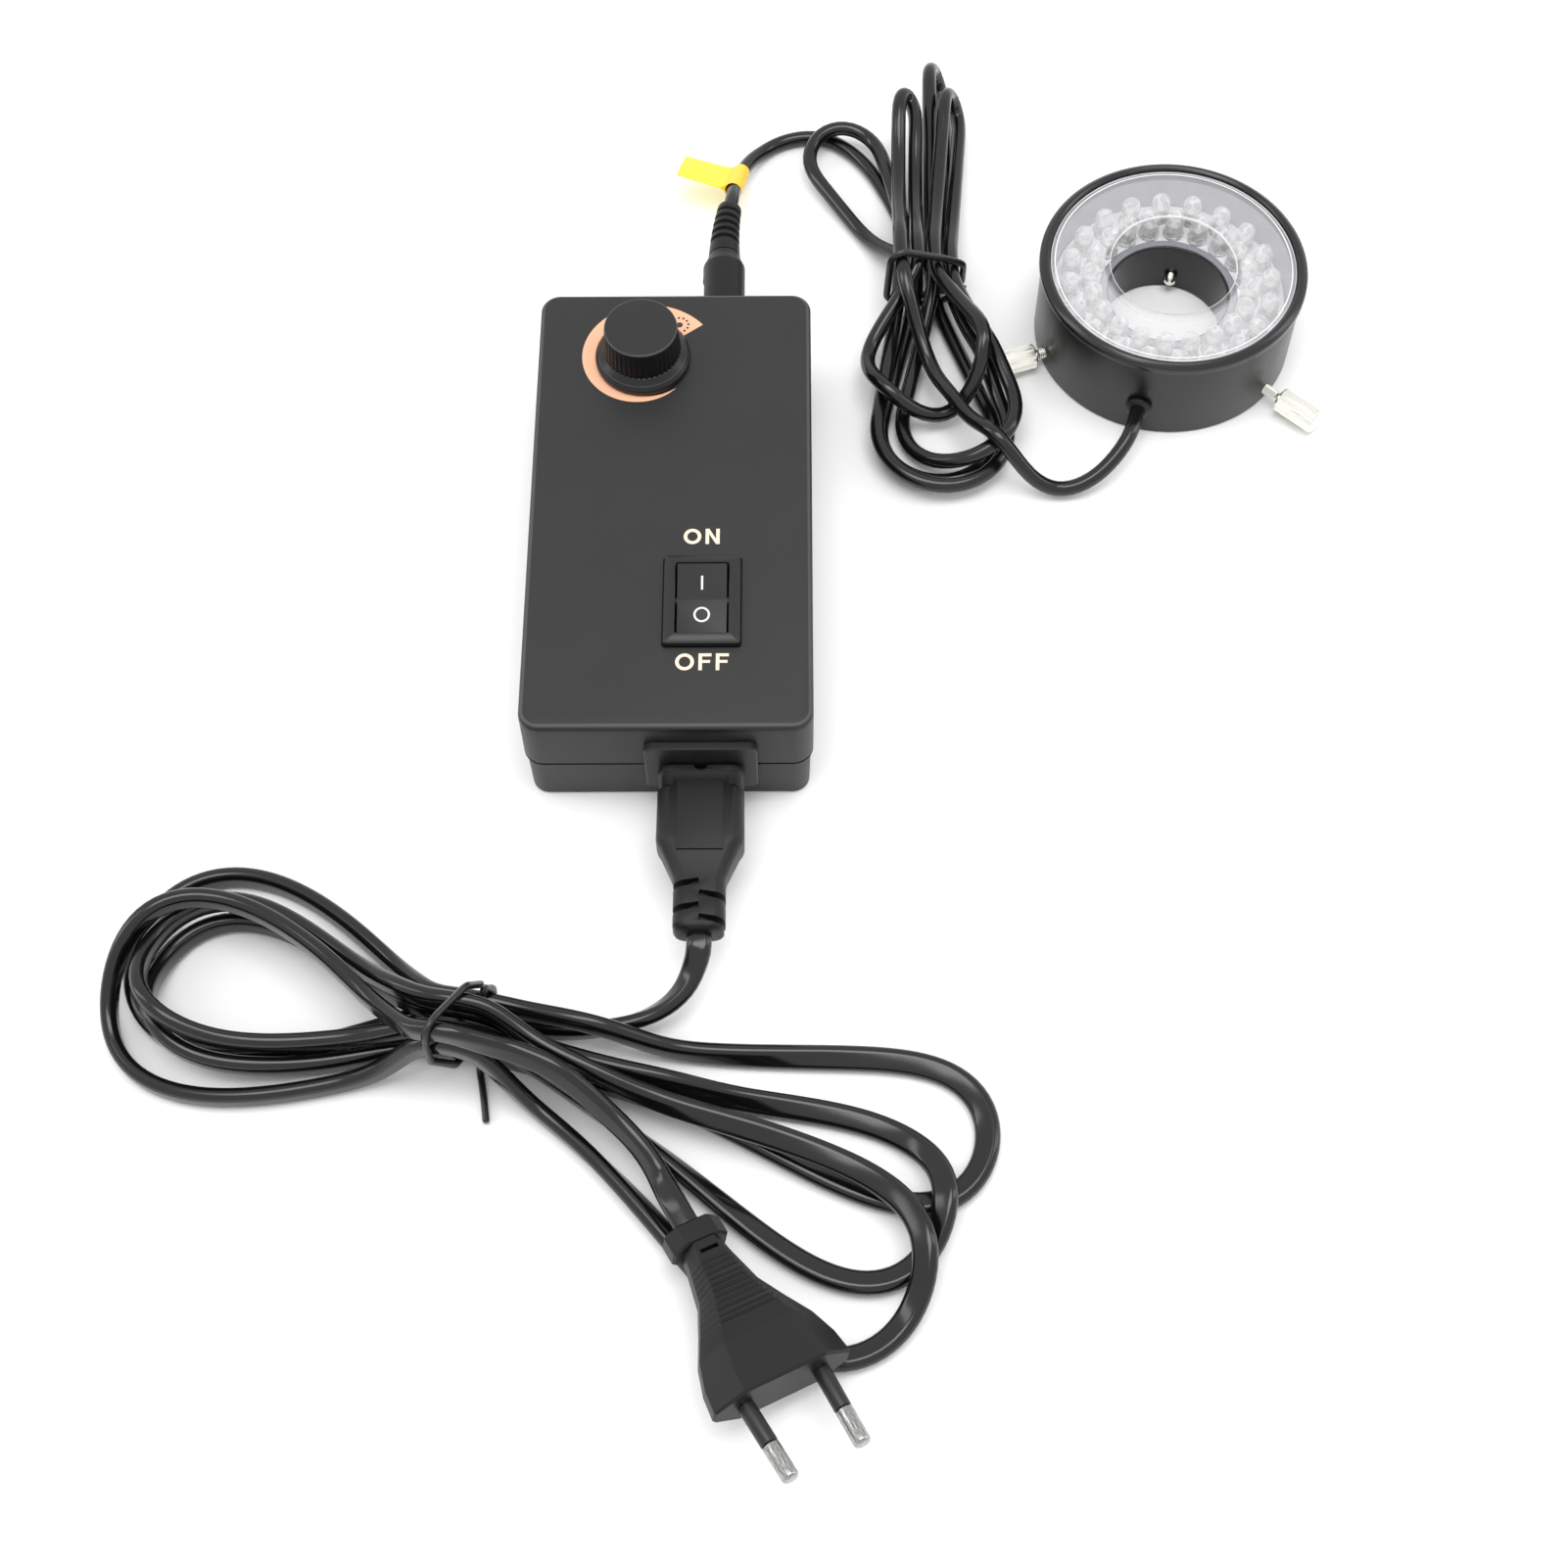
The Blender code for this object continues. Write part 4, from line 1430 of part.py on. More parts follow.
def build_cords(look, tie_look, label_look, parent):
    """The two cords, each with its free stretches, its tied hank and its strap."""
    rows = eased(smooth(lead_route(), ROUTE_STEP))
    tilts = rows[:, 3]
    spare = (LEAD_WIDTH - LEAD_THICKNESS) / 2
    least = on_tie(rows, LEAD_WAIST, LEAD_WAIST_HEADING, TIE_THICKNESS + TIE_PLAY + LEAD_WIDTH / 2)
    path = settle(rows, LEAD_THICKNESS / 2 + spare * np.abs(np.cos(tilts)),
                  LEAD_THICKNESS / 2 + spare * np.abs(np.sin(tilts)), least, LEAD_SKIP)
    side = across(LEAD_WAIST_HEADING) * LEAD_LANE
    ends = (LEAD_WAIST + side * LEAD_LANE_SHARES[0], LEAD_WAIST + side * LEAD_LANE_SHARES[-1])
    lay_cord("mains_lead", path, tilts, ends, LEAD_WIDTH, LEAD_THICKNESS, LEAD_STEPS, look, parent)
    strap(path, "mains_lead_tie", LEAD_WAIST, LEAD_WAIST_HEADING,
          LEAD_LANE * max(LEAD_LANE_SHARES) + LEAD_THICKNESS / 2, LEAD_WIDTH / 2, -1, tie_look, parent)

    rows = eased(smooth(cable_route(), ROUTE_STEP))
    half = np.full(len(rows), CABLE_DIAMETER / 2)
    least = on_tie(rows, CABLE_WAIST, CABLE_WAIST_HEADING, TIE_THICKNESS + TIE_PLAY + CABLE_DIAMETER / 2)
    path = settle(rows, half, half, np.maximum(least, over_screws(rows)), CABLE_SKIP)
    flat = np.full(len(path), math.pi / 2)
    side = across(CABLE_WAIST_HEADING) * CABLE_LANE
    ends = (CABLE_WAIST + side * CABLE_LANE_SHARES[0], CABLE_WAIST + side * CABLE_LANE_SHARES[-1])
    lay_cord("led_cable", path, flat, ends, CABLE_DIAMETER, CABLE_DIAMETER, CABLE_STEPS, look, parent)
    strap(path, "led_cable_tie", CABLE_WAIST, CABLE_WAIST_HEADING,
          CABLE_LANE * max(CABLE_LANE_SHARES) + CABLE_DIAMETER / 2, CABLE_DIAMETER / 2, -1, tie_look, parent)
    tag(path, label_look, parent)


def over_screws(rows):
    """Heights that carry the lamp cable over the clamp screws, also when they are backed out."""
    beside = CABLE_DIAMETER / 2 + GAP
    clear = SCREW_HEAD_RADIUS + beside
    base = np.zeros(len(rows))
    for angle, stand in zip(SCREW_ANGLES, SCREW_HEAD_STANDS):
        backed_out = RING_BORE_RADIUS - (RING_RADIUS + stand - SCREW_SHANK_LENGTH)
        tip = RING_RADIUS + stand + SCREW_HEAD_LENGTH + backed_out + beside
        place = rows[:, :2] - np.array([RING_X, RING_Y])
        out, aside = place @ forward(angle), place @ across(angle)
        meets = (out > RING_RADIUS) & (out < tip) & (np.abs(aside) < clear)
        rise = SCREW_AXIS_HEIGHT + np.sqrt(np.clip(clear ** 2 - aside ** 2, 0, None))
        base = np.maximum(base, np.where(meets, rise, 0.0))
    return base


def strap(path, name, middle, heading, half_width, half_height, tail, look, parent):
    """Fits a tie round the stretches of a cord that pass the waist."""
    near = np.abs((path[:, :2] - middle) @ forward(heading)) < TIE_BAND
    near &= np.abs((path[:, :2] - middle) @ across(heading)) < half_width
    top = path[near, 2].max() + half_height + TIE_PLAY
    band(name, middle, heading, half_width + TIE_PLAY, top, tail, look, parent)


def tag(path, look, parent):
    """The folded tag that wraps the lamp cable and hangs to one side."""
    index = int(np.searchsorted(along(path), LABEL_RUN))
    way = Vector(path[index + 2] - path[index - 2]).normalized()
    left = Vector((-way.y, way.x, 0.0)).normalized()
    hang = left * math.cos(LABEL_DROOP) - Vector((0.0, 0.0, 1.0)) * math.sin(LABEL_DROOP)
    hang = (hang - way * hang.dot(way)).normalized()
    frame = Matrix((hang, way.cross(hang), way)).transposed().to_4x4()
    frame = Matrix.Translation(path[index]) @ frame
    inner = CABLE_DIAMETER / 2 + LABEL_PLAY
    outer = inner + LABEL_THICKNESS
    half = LABEL_WIDTH / 2
    wrap = turned([(inner, -half), (outer, -half), (outer, half), (inner, half)], ROUND_SIDES, closed=True)
    flag = block((inner + LABEL_THICKNESS / 2, -LABEL_THICKNESS / 2, LABEL_INSET - half),
                 (inner + LABEL_FLAG_LENGTH, LABEL_THICKNESS / 2, half - LABEL_INSET))
    piece("cable_label", moved(wrap, frame), look, parent, joins=[moved(flag, frame)])


def main():
    """Builds every sub-assembly."""
    for old in list(bpy.data.objects):
        bpy.data.objects.remove(old, do_unlink=True)
    abs_look = finish("charcoal_abs", (0.075, 0.075, 0.078), 0.55)
    knob_look = finish("black_knob", (0.022, 0.022, 0.024), 0.45)
    rocker_look = finish("black_nylon", (0.015, 0.015, 0.016), 0.35)
    pvc_look = finish("black_pvc", (0.012, 0.012, 0.013), 0.3)
    anodised = finish("black_aluminium", (0.02, 0.02, 0.021), 0.38, 0.6)
    steel = finish("plated_steel", (0.72, 0.71, 0.69), 0.25, 1.0)
    nickel = finish("nickel", (0.8, 0.78, 0.74), 0.18, 1.0)
    brass = finish("brass_contacts", (0.78, 0.6, 0.3), 0.3, 1.0)
    acrylic = finish("clear_acrylic", (0.95, 0.96, 0.96), 0.04, 0.0, 0.9)
    white_board = finish("white_board", (0.8, 0.8, 0.78), 0.5)
    epoxy = finish("clear_epoxy", (0.9, 0.92, 0.92), 0.08, 0.0, 0.7)
    green_board = finish("green_board", (0.05, 0.22, 0.09), 0.45)
    ferrite = finish("grey_ferrite", (0.1, 0.1, 0.11), 0.6)
    tape = finish("yellow_tape", (0.75, 0.6, 0.1), 0.5)
    sleeve = finish("blue_sleeve", (0.05, 0.08, 0.3), 0.35)
    glass = finish("fuse_glass", (0.7, 0.75, 0.75), 0.1, 0.0, 0.6)
    yellow = finish("yellow_label", (1.0, 0.95, 0.08), 0.55)

    box = empty("control_box")
    build_case(abs_look, steel, box)
    build_dimmer(knob_look, steel, ferrite, box)
    build_switch(rocker_look, brass, box)
    build_inlet(rocker_look, brass, box)
    build_electronics(green_board, ferrite, tape, sleeve, anodised, rocker_look, glass, box)
    build_lamp_plug(rocker_look, nickel, pvc_look, box)
    ring = empty("ring_head", RING_PLACE)
    build_ring(anodised, acrylic, white_board, epoxy, ring)
    build_ring_fittings(nickel, pvc_look, ring)
    leads = empty("leads")
    build_connector(pvc_look, leads)
    build_plug(pvc_look, rocker_look, nickel, leads)
    build_cords(pvc_look, pvc_look, yellow, leads)


main()
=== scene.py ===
"""Dresses the microscope ring light: fine surfaces, finishes, cords, light and camera.

Lengths are in metres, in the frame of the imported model: +Z is up, the control box
stands on the origin with its mains side towards -Y, and the ring head lies towards +X.
"""
from __future__ import annotations

import json
import logging
from dataclasses import dataclass, field, fields
from enum import Enum
from math import acos, asin, atan, atan2, copysign, cos, hypot, pi, radians, sin, sqrt, tan
from typing import Callable, ClassVar, Iterable, Mapping, Sequence, Union

import bpy
import bmesh
import numpy as np
from mathutils import Matrix, Vector
from mathutils.geometry import convex_hull_2d
from numpy.linalg import norm

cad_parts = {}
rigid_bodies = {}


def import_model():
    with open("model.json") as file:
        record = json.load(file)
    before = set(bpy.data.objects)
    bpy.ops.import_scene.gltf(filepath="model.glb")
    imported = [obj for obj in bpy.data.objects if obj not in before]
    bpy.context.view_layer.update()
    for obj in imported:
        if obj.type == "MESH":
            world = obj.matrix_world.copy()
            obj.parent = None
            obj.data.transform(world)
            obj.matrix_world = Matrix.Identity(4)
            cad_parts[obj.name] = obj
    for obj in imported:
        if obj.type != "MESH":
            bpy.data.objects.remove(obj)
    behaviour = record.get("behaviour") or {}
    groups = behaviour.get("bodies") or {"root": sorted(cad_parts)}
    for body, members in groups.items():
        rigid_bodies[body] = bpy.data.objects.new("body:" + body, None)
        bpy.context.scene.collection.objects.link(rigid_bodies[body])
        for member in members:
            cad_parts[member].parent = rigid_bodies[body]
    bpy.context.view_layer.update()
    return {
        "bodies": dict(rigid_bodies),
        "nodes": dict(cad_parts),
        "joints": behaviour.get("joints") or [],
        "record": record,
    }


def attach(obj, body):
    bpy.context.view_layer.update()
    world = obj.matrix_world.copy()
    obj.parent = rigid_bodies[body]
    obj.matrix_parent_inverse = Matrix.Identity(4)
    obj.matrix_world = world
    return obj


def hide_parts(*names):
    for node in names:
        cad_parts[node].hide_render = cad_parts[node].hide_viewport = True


LOG = logging.getLogger("ring_light")
MM = 0.001
GAP = 0.3 * MM
SHARP = radians(32.0)
CURVE_SAMPLES = 16

Colour = tuple[float, float, float]
Point = tuple[float, float]
Place = tuple[float, float, float]
Places = tuple[Place, ...]
Row = tuple[float, ...]
Light = tuple[str, Place, Point, float]
Rows = np.ndarray
Mm = float
MmPoint = Point
MmPlace = Place
MmSizes = Row
Operand = Union["Signal", float, Sequence[float]]


class Body(Enum):
    """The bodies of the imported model."""

    BOX = "control_box"
    DIMMER = "dimmer"
    ROCKER = "rocker"
    SCREW_1 = "clamp_screw_1"
    SCREW_2 = "clamp_screw_2"
    SCREW_3 = "clamp_screw_3"


class Slot(Enum):
    """The record's material slots."""

    CASE = "case_plastic"
    KNOB = "knob_plastic"
    SWITCH = "switch_plastic"
    CORD = "cord_pvc"
    TIE = "tie_plastic"
    ANODISED = "black_aluminium"
    STEEL = "plated_steel"
    NICKEL = "bright_nickel"
    BRASS = "contact_brass"
    ACRYLIC = "clear_acrylic"
    LAMP = "led_epoxy"
    BOARD = "circuit_board"
    PARTS = "board_parts"
    TAPE = "winding_tape"
    SLEEVE = "capacitor_sleeve"
    GLASS = "fuse_glass"
    LABEL = "label_yellow"


class Cut(Enum):
    """How a second solid changes a first one."""

    AWAY = "DIFFERENCE"
    JOINED = "UNION"


class Axis(Enum):
    """Frames that carry a solid's own Z onto one of the model's axes."""

    X = Matrix(((0, 0, 1), (1, 0, 0), (0, 1, 0))).to_4x4()
    Y = Matrix(((-1, 0, 0), (0, 0, 1), (0, 1, 0))).to_4x4()


# Shader maths


def operator(operation: str, swapped: bool = False) -> Callable[["Signal", Operand], "Signal"]:
    """Makes an operator of signals.

    Args:
        operation: a Math, Vector Math or blend operation.
        swapped: whether the second operand comes first.

    Returns:
        The method that adds the operation's node.
    """

    def method(self: "Signal", other: Operand) -> "Signal":
        """Adds the node, of the kind that the operands need, and gives its output.

        Args:
            other: the other operand.

        Returns:
            The output.
        """
        pair = (other, self) if swapped else (self, other)
        kinds = {one.socket.type for one in pair if isinstance(one, Signal)}
        if not kinds & {"RGBA", "VECTOR"}:
            return self.graph.node("ShaderNodeMath", {"operation": operation}, dict(enumerate(pair)))
        wide = [one if isinstance(one, (Signal, tuple)) else (one, one, one) for one in pair]
        if "RGBA" in kinds:
            return self.graph.node("ShaderNodeMix", {"data_type": "RGBA", "blend_type": operation},
                {0: 1.0, 6: wide[0], 7: wide[1]}, out=2)
        return self.graph.node("ShaderNodeVectorMath", {"operation": operation}, dict(enumerate(wide)))

    return method


@dataclass(frozen=True)
class Signal:
    """An output socket whose operators add the nodes that work them out."""

    graph: "Graph"
    socket: bpy.types.NodeSocket

    __add__, __radd__ = operator("ADD"), operator("ADD", True)
    __sub__, __rsub__ = operator("SUBTRACT"), operator("SUBTRACT", True)
    __mul__, __rmul__ = operator("MULTIPLY"), operator("MULTIPLY", True)
    __truediv__, __rtruediv__ = operator("DIVIDE"), operator("DIVIDE", True)
    __pow__, __gt__, __lt__, turn = map(operator, ("POWER", "GREATER_THAN", "LESS_THAN", "ARCTAN2"))

    def sine(self) -> "Signal":
        """Sine of a value in radians."""
        return self.graph.node("ShaderNodeMath", {"operation": "SINE"}, {0: self})

    def part(self, axis: int) -> "Signal":
        """One component of a vector."""
        return self.graph.node("ShaderNodeSeparateXYZ", values={0: self}, out=axis)

    def ease(self, low: float, high: float) -> "Signal":
        """The value eased from low..high to 0..1."""
        return self.graph.node("ShaderNodeMapRange", {"interpolation_type": "SMOOTHSTEP"}, {0: self, 1: low, 2: high})


class Graph:
    """The node tree of one material."""

    def __init__(self, name: str) -> None:
        """Makes the material with a Principled shader.

        Args:
            name: the material's name.
        """
        self.material = bpy.data.materials.new(name)
        self.material.use_nodes = True
        self.tree = self.material.node_tree
        self.shader = self.tree.nodes["Principled BSDF"]

    def feed(self, socket: bpy.types.NodeSocket, value: Operand) -> None:
        """Links a signal to a socket, or sets a constant on it.

        Args:
            socket: the input socket.
            value: a signal, a number or a colour or vector.
        """
        if isinstance(value, Signal):
            self.tree.links.new(value.socket, socket)
        elif socket.type == "RGBA":
            socket.default_value = (*value[:3], 1.0)
        else:
            socket.default_value = value

    def node(self, kind: str, settings: Mapping[str, object] | None = None,
            values: Mapping[int | str, Operand] | None = None, out: int | str = 0) -> Signal:
        """Adds any node.

        Args:
            kind: the node's type.
            settings: its own settings, set first.
            values: values or links of its input sockets, by name or number.
            out: which output is wanted.

        Returns:
            The wanted output.
        """
        made = self.tree.nodes.new(kind)
        for name, value in (settings or {}).items():
            setattr(made, name, value)
        for key, value in (values or {}).items():
            self.feed(made.inputs[key], value)
        return Signal(self, made.outputs[out])

    def place(self) -> Signal:
        """The surface point in the piece's own frame."""
        return self.node("ShaderNodeTexCoord", out="Object")

    def reach(self) -> Signal:
        """The surface point's distance from the piece's own Z."""
        flat = self.place() * (1.0, 1.0, 0.0)
        return self.node("ShaderNodeVectorMath", {"operation": "LENGTH"}, {0: flat}, out="Value")

    def noise(self, size: float, detail: float = 2.0, stretch: Place = (1.0, 1.0, 1.0)) -> Signal:
        """Smooth noise from 0 to 1, with blotches of a size, finer layers of detail, and denser where stretched."""
        return self.node("ShaderNodeTexNoise", values={"Vector": self.place() * stretch, "Scale": 1.0 / size,
            "Detail": detail})

    def cells(self, size: float) -> Signal:
        """Distance to the nearest of a field of points, about a size apart."""
        return self.node("ShaderNodeTexVoronoi", values={"Vector": self.place(), "Scale": 1.0 / size})

    def blend(self, factor: Operand, low: Operand, high: Operand) -> Signal:
        """A colour between two: low at 0, high at 1."""
        return self.node("ShaderNodeMix", {"data_type": "RGBA"}, {0: factor, 6: low, 7: high}, out=2)

    def surface(self, colour: Operand, roughness: Operand, relief: Signal | None = None, depth: float = 0.0,
            others: Mapping[str, Operand] | None = None) -> None:
        """Sets the shader's sockets.

        Args:
            colour: the base colour.
            roughness: the roughness.
            relief: a height from 0 to 1 for the bump.
            depth: the bump's real depth.
            others: values or links of the Principled shader's other inputs.
        """
        for name, value in {"Base Color": colour, "Roughness": roughness, **(others or {})}.items():
            self.feed(self.shader.inputs[name], value)
        if relief is not None:
            normal = self.node("ShaderNodeBump", values={"Strength": 1.0, "Distance": depth, "Height": relief})
            self.feed(self.shader.inputs["Normal"], normal)


# Finishes


@dataclass(frozen=True)
class Finish:
    """A surface finish: a name, its record slot, a colour and a roughness."""

    name: str
    slot: Slot
    colour: Colour
    roughness: float

    def paint(self, graph: Graph) -> None:
        """Builds the finish's nodes."""
        raise NotImplementedError

    def shades(self, graph: Graph, factor: Signal, spread: float) -> Signal:
        """The finish's colour, darker by a spread where the factor is 0 and lighter where it is 1."""
        tones = [tuple(min(1.0, part * (1.0 + side * spread)) for part in self.colour) for side in (-1, 1)]
        return graph.blend(factor, *tones)

    def material(self) -> bpy.types.Material:
        """The finish as a material, made once.

        Returns:
            The material.
        """
        made = bpy.data.materials.get(self.name)
        if made is None:
            graph = Graph(self.name)
            self.paint(graph)
            made = graph.material
        return made


@dataclass(frozen=True)
class MouldedPlastic(Finish):
    """Injection-moulded plastic with a fine grain, with painted highlights and painted shade in bands of height."""

    grain: float = 0.35 * MM
    depth: float = 0.012 * MM
    spread: float = 0.05
    gloss: float = 0.4
    # Bands of height (low, high, factor) on the colour: factors above 1 are painted highlights, factors below 1 are
    # painted shade.
    lines: Places = ()

    def paint(self, graph: Graph) -> None:
        """Builds the finish's nodes.

        Args:
            graph: the material's nodes.
        """
        cloud = graph.noise(30 * MM, 3.0)
        fine = graph.noise(self.grain, 3.0)
        tone = self.shades(graph, cloud.ease(0.3, 0.7), self.spread)
        height = graph.place().part(2)
        # Paints each band's highlight or shade into the colour.
        for low, high, factor in self.lines:
            tone = tone * (1.0 + (height > low) * (height < high) * (factor - 1.0))
        graph.surface(tone, self.roughness + (cloud - 0.5) * 0.06 + (fine - 0.5) * 0.08, fine, self.depth,
            {"Specular IOR Level": self.gloss})


@dataclass(frozen=True)
class Vinyl(Finish):
    """Soft cord vinyl: glossy, a little uneven, with faint scuffs."""

    unevenness: float = 0.05 * MM

    def paint(self, graph: Graph) -> None:
        """Builds the finish's nodes.

        Args:
            graph: the material's nodes.
        """
        wave = graph.noise(7 * MM)
        dust = graph.noise(0.6 * MM, 4.0)
        scuff = dust.ease(0.62, 0.78)
        graph.surface(self.shades(graph, scuff, 0.35), self.roughness + wave.ease(0.35, 0.7) * 0.02 + scuff * 0.1,
            wave * 0.5 + dust * 0.5, self.unevenness * 0.5)


@dataclass(frozen=True)
class TurnedMetal(Finish):
    """Anodised metal turned on a lathe about the piece's own Z."""

    pitch: float = 0.22 * MM
    depth: float = 0.004 * MM

    def paint(self, graph: Graph) -> None:
        """Builds the finish's nodes."""
        graph.surface(*self.look(graph), self.marks(graph), self.depth)

    def marks(self, graph: Graph) -> Signal:
        """Turning marks, as a height from 0 to 1.

        Args:
            graph: the material's nodes.

        Returns:
            The height.
        """
        run = graph.reach() + graph.place().part(2)
        drift = graph.noise(9 * MM, 1.0) * 2.0
        return (run * (2 * pi / self.pitch) + drift).sine() * 0.35 + 0.5 + graph.noise(0.3 * MM) * 0.3

    def look(self, graph: Graph) -> tuple[Signal, Signal]:
        """Colour and roughness."""
        cloud = graph.noise(16 * MM, 3.0)
        return self.shades(graph, cloud, 0.12), self.roughness + (cloud - 0.5) * 0.1


@dataclass(frozen=True)
class LinedMetal(TurnedMetal):
    """Anodised metal whose lamp chamber is left pale."""

    inner: float = 16.6 * MM
    outer: float = 31.6 * MM
    lining: Colour = (0.26, 0.26, 0.3)
    polished: float = 16.2 * MM

    def paint(self, graph: Graph) -> None:
        """Builds the finish's nodes.

        Args:
            graph: the material's nodes.
        """
        colour, roughness = self.look(graph)
        reach = graph.reach()
        chamber = (reach > self.inner) * (reach < self.outer) * (graph.place().part(2) > 9 * MM)
        graph.surface(graph.blend(chamber, colour, self.lining), roughness - (reach < self.polished) * 0.16,
            self.marks(graph), self.depth)


@dataclass(frozen=True)
class PlatedMetal(Finish):
    """Bright plate with faint polishing streaks along one axis."""

    streak: Place = (1.0, 9.0, 9.0)
    depth: float = 0.003 * MM
    contrast: float = 0.06

    def paint(self, graph: Graph) -> None:
        """Builds the finish's nodes."""
        streaks = graph.noise(1.6 * MM, 4.0, stretch=self.streak)
        graph.surface(self.shades(graph, streaks.ease(0.3, 0.7), self.contrast),
            self.roughness + streaks.ease(0.35, 0.75) * 0.12, streaks, self.depth, {"Metallic": 1.0})


@dataclass(frozen=True)
class ClearPlastic(Finish):
    """Clear moulding with a faint haze, whiter in rings of painted highlight at its rim lines and by a painted
    reflection where it turns away, with painted glints where they are set.
    """

    hides: float = 0.14
    # Strength of the painted reflection where the surface turns away.
    edge: float = 0.5
    # Radial bands that get painted highlights as white rings, above the rim foot.
    rims: tuple[Point, ...] = ()
    rim_hides: float = 0.55
    rim_foot: float = 26.6 * MM
    tube: float = 18.2 * MM
    # Strength of painted glints: small white spots that stand in for highlights.
    glints: float = 0.0
    waviness: float = 0.01 * MM

    def paint(self, graph: Graph) -> None:
        """Builds the finish's nodes.

        Args:
            graph: the material's nodes.
        """
        haze = graph.noise(4 * MM, 3.0)
        scratch = graph.noise(0.5 * MM, 3.0, stretch=(1.0, 14.0, 1.0)).ease(0.66, 0.72)
        away = graph.node("ShaderNodeLayerWeight", values={"Blend": 0.5}, out="Facing")
        # Painted reflection: whiter where the surface turns away.
        turned = away ** 3.0 * self.edge
        cover = turned + self.hides + haze * 0.05 + scratch * 0.04
        # The inner tube keeps little haze and painted reflection; white rings of painted highlight are added in the
        # radial bands.
        if self.rims:
            reach = graph.reach()
            cover = cover - (reach < self.tube) * (turned + self.hides) * 0.8
            above = graph.place().part(2) > self.rim_foot
            for low, high in self.rims:
                cover = cover + (reach > low) * (reach < high) * above * self.rim_hides
        # Painted glints: small white spots that stand in for highlights.
        if self.glints:
            cover = cover + graph.cells(1.6 * MM).ease(0.55, 0.62) * self.glints
        graph.surface(self.shades(graph, haze, 0.02), self.roughness + haze * 0.03 + scratch * 0.1,
            graph.noise(6 * MM, 1.0), self.waviness, {"Alpha": cover, "IOR": 1.49})


@dataclass(frozen=True)
class Ink(Finish):
    """Screen-printed ink, thin and slightly uneven."""

    def paint(self, graph: Graph) -> None:
        """Builds the finish's nodes."""
        mottle = graph.noise(0.5 * MM, 4.0)
        graph.surface(self.shades(graph, mottle, 0.1), self.roughness + mottle * 0.15, mottle, 0.006 * MM)


@dataclass(frozen=True)
class TagFilm(Finish):
    """Coloured film that deepens where it wraps the dark cable."""

    wrapped: Colour = (0.95, 0.48, 0.03)
    wrap_reach: float = 3.2 * MM

    def paint(self, graph: Graph) -> None:
        """Builds the finish's nodes.

        Args:
            graph: the material's nodes.
        """
        near = 1.0 - graph.reach().ease(self.wrap_reach * 0.8, self.wrap_reach * 1.3)
        mottle = graph.noise(2.5 * MM, 3.0)
        base = graph.blend(near * 0.75, self.shades(graph, mottle, 0.05), self.wrapped)
        graph.surface(base, self.roughness + mottle * 0.1, mottle, 0.05 * MM,
            {"Subsurface Weight": 0.1, "Subsurface Scale": 1 * MM})


@dataclass(frozen=True)
class BoardLacquer(Finish):
    """Circuit board lacquer over copper tracks."""

    track: Colour = (0.09, 0.34, 0.14)

    def paint(self, graph: Graph) -> None:
        """Builds the finish's nodes.

        Args:
            graph: the material's nodes.
        """
        tracks = graph.node("ShaderNodeTexBrick", {"offset": 0.35, "squash": 0.6},
            {"Vector": graph.place(), "Scale": 60.0, "Mortar Size": 0.06, "Mortar Smooth": 0.1}, out="Fac")
        weave = graph.noise(0.4 * MM)
        graph.surface(graph.blend(tracks, self.colour, self.track), self.roughness + weave * 0.1, tracks, 0.03 * MM)


@dataclass(frozen=True)
class BandedSleeve(Finish):
    """A shrunk sleeve or wound tape with a band that runs round it."""

    band: Colour = (0.6, 0.6, 0.62)
    pitch: float = 6 * MM

    def paint(self, graph: Graph) -> None:
        """Builds the finish's nodes.

        Args:
            graph: the material's nodes.
        """
        height = graph.place().part(2)
        lines = (height * (2 * pi / self.pitch)).sine().ease(0.9, 0.96)
        fine = graph.noise(0.5 * MM)
        graph.surface(graph.blend(lines, self.colour, self.band), self.roughness + fine * 0.12, fine, 0.02 * MM)


# The case's bands: a painted highlight on the seam's lip, painted shade in the groove above the seam, painted shade
# just under the top edge, and a painted highlight along the rounded top edge.
CASE_ABS = MouldedPlastic("case_abs", Slot.CASE, (0.0165, 0.0165, 0.0175), 0.46, depth=0.009 * MM,
    lines=((15 * MM, 15.5 * MM, 1.5), (15.6 * MM, 16.3 * MM, 0.1), (30.9 * MM, 32.15 * MM, 0.35),
    (32.6 * MM, 32.96 * MM, 3.2)))
# The knob's bands: painted shade darkens the skirt and the fluted sides below the cap, with a painted highlight ring on
# the skirt and another round the cap's edge.
KNOB_ABS = MouldedPlastic("knob_abs", Slot.KNOB, (0.0135, 0.0135, 0.0145), 0.34, depth=0.005 * MM,
    lines=((-MM, 2.5 * MM, 0.25), (2.5 * MM, 2.75 * MM, 2.5), (2.75 * MM, 11.9 * MM, 0.25),
    (11.98 * MM, 12.36 * MM, 3.5)))
SWITCH_NYLON = MouldedPlastic("switch_nylon", Slot.SWITCH, (0.012, 0.012, 0.0125), 0.34, depth=0.005 * MM)
INLET_NYLON = MouldedPlastic("inlet_nylon", Slot.SWITCH, (0.014, 0.014, 0.015), 0.4)
MOULDED_VINYL = MouldedPlastic("moulded_vinyl", Slot.CORD, (0.007, 0.007, 0.0075), 0.44, grain=0.5 * MM, gloss=0.3)
CORD_VINYL = Vinyl("cord_vinyl", Slot.CORD, (0.006, 0.006, 0.0065), 0.17, unevenness=0.02 * MM)
TIE_VINYL = Vinyl("tie_vinyl", Slot.TIE, (0.01, 0.01, 0.01), 0.3, unevenness=0.02 * MM)
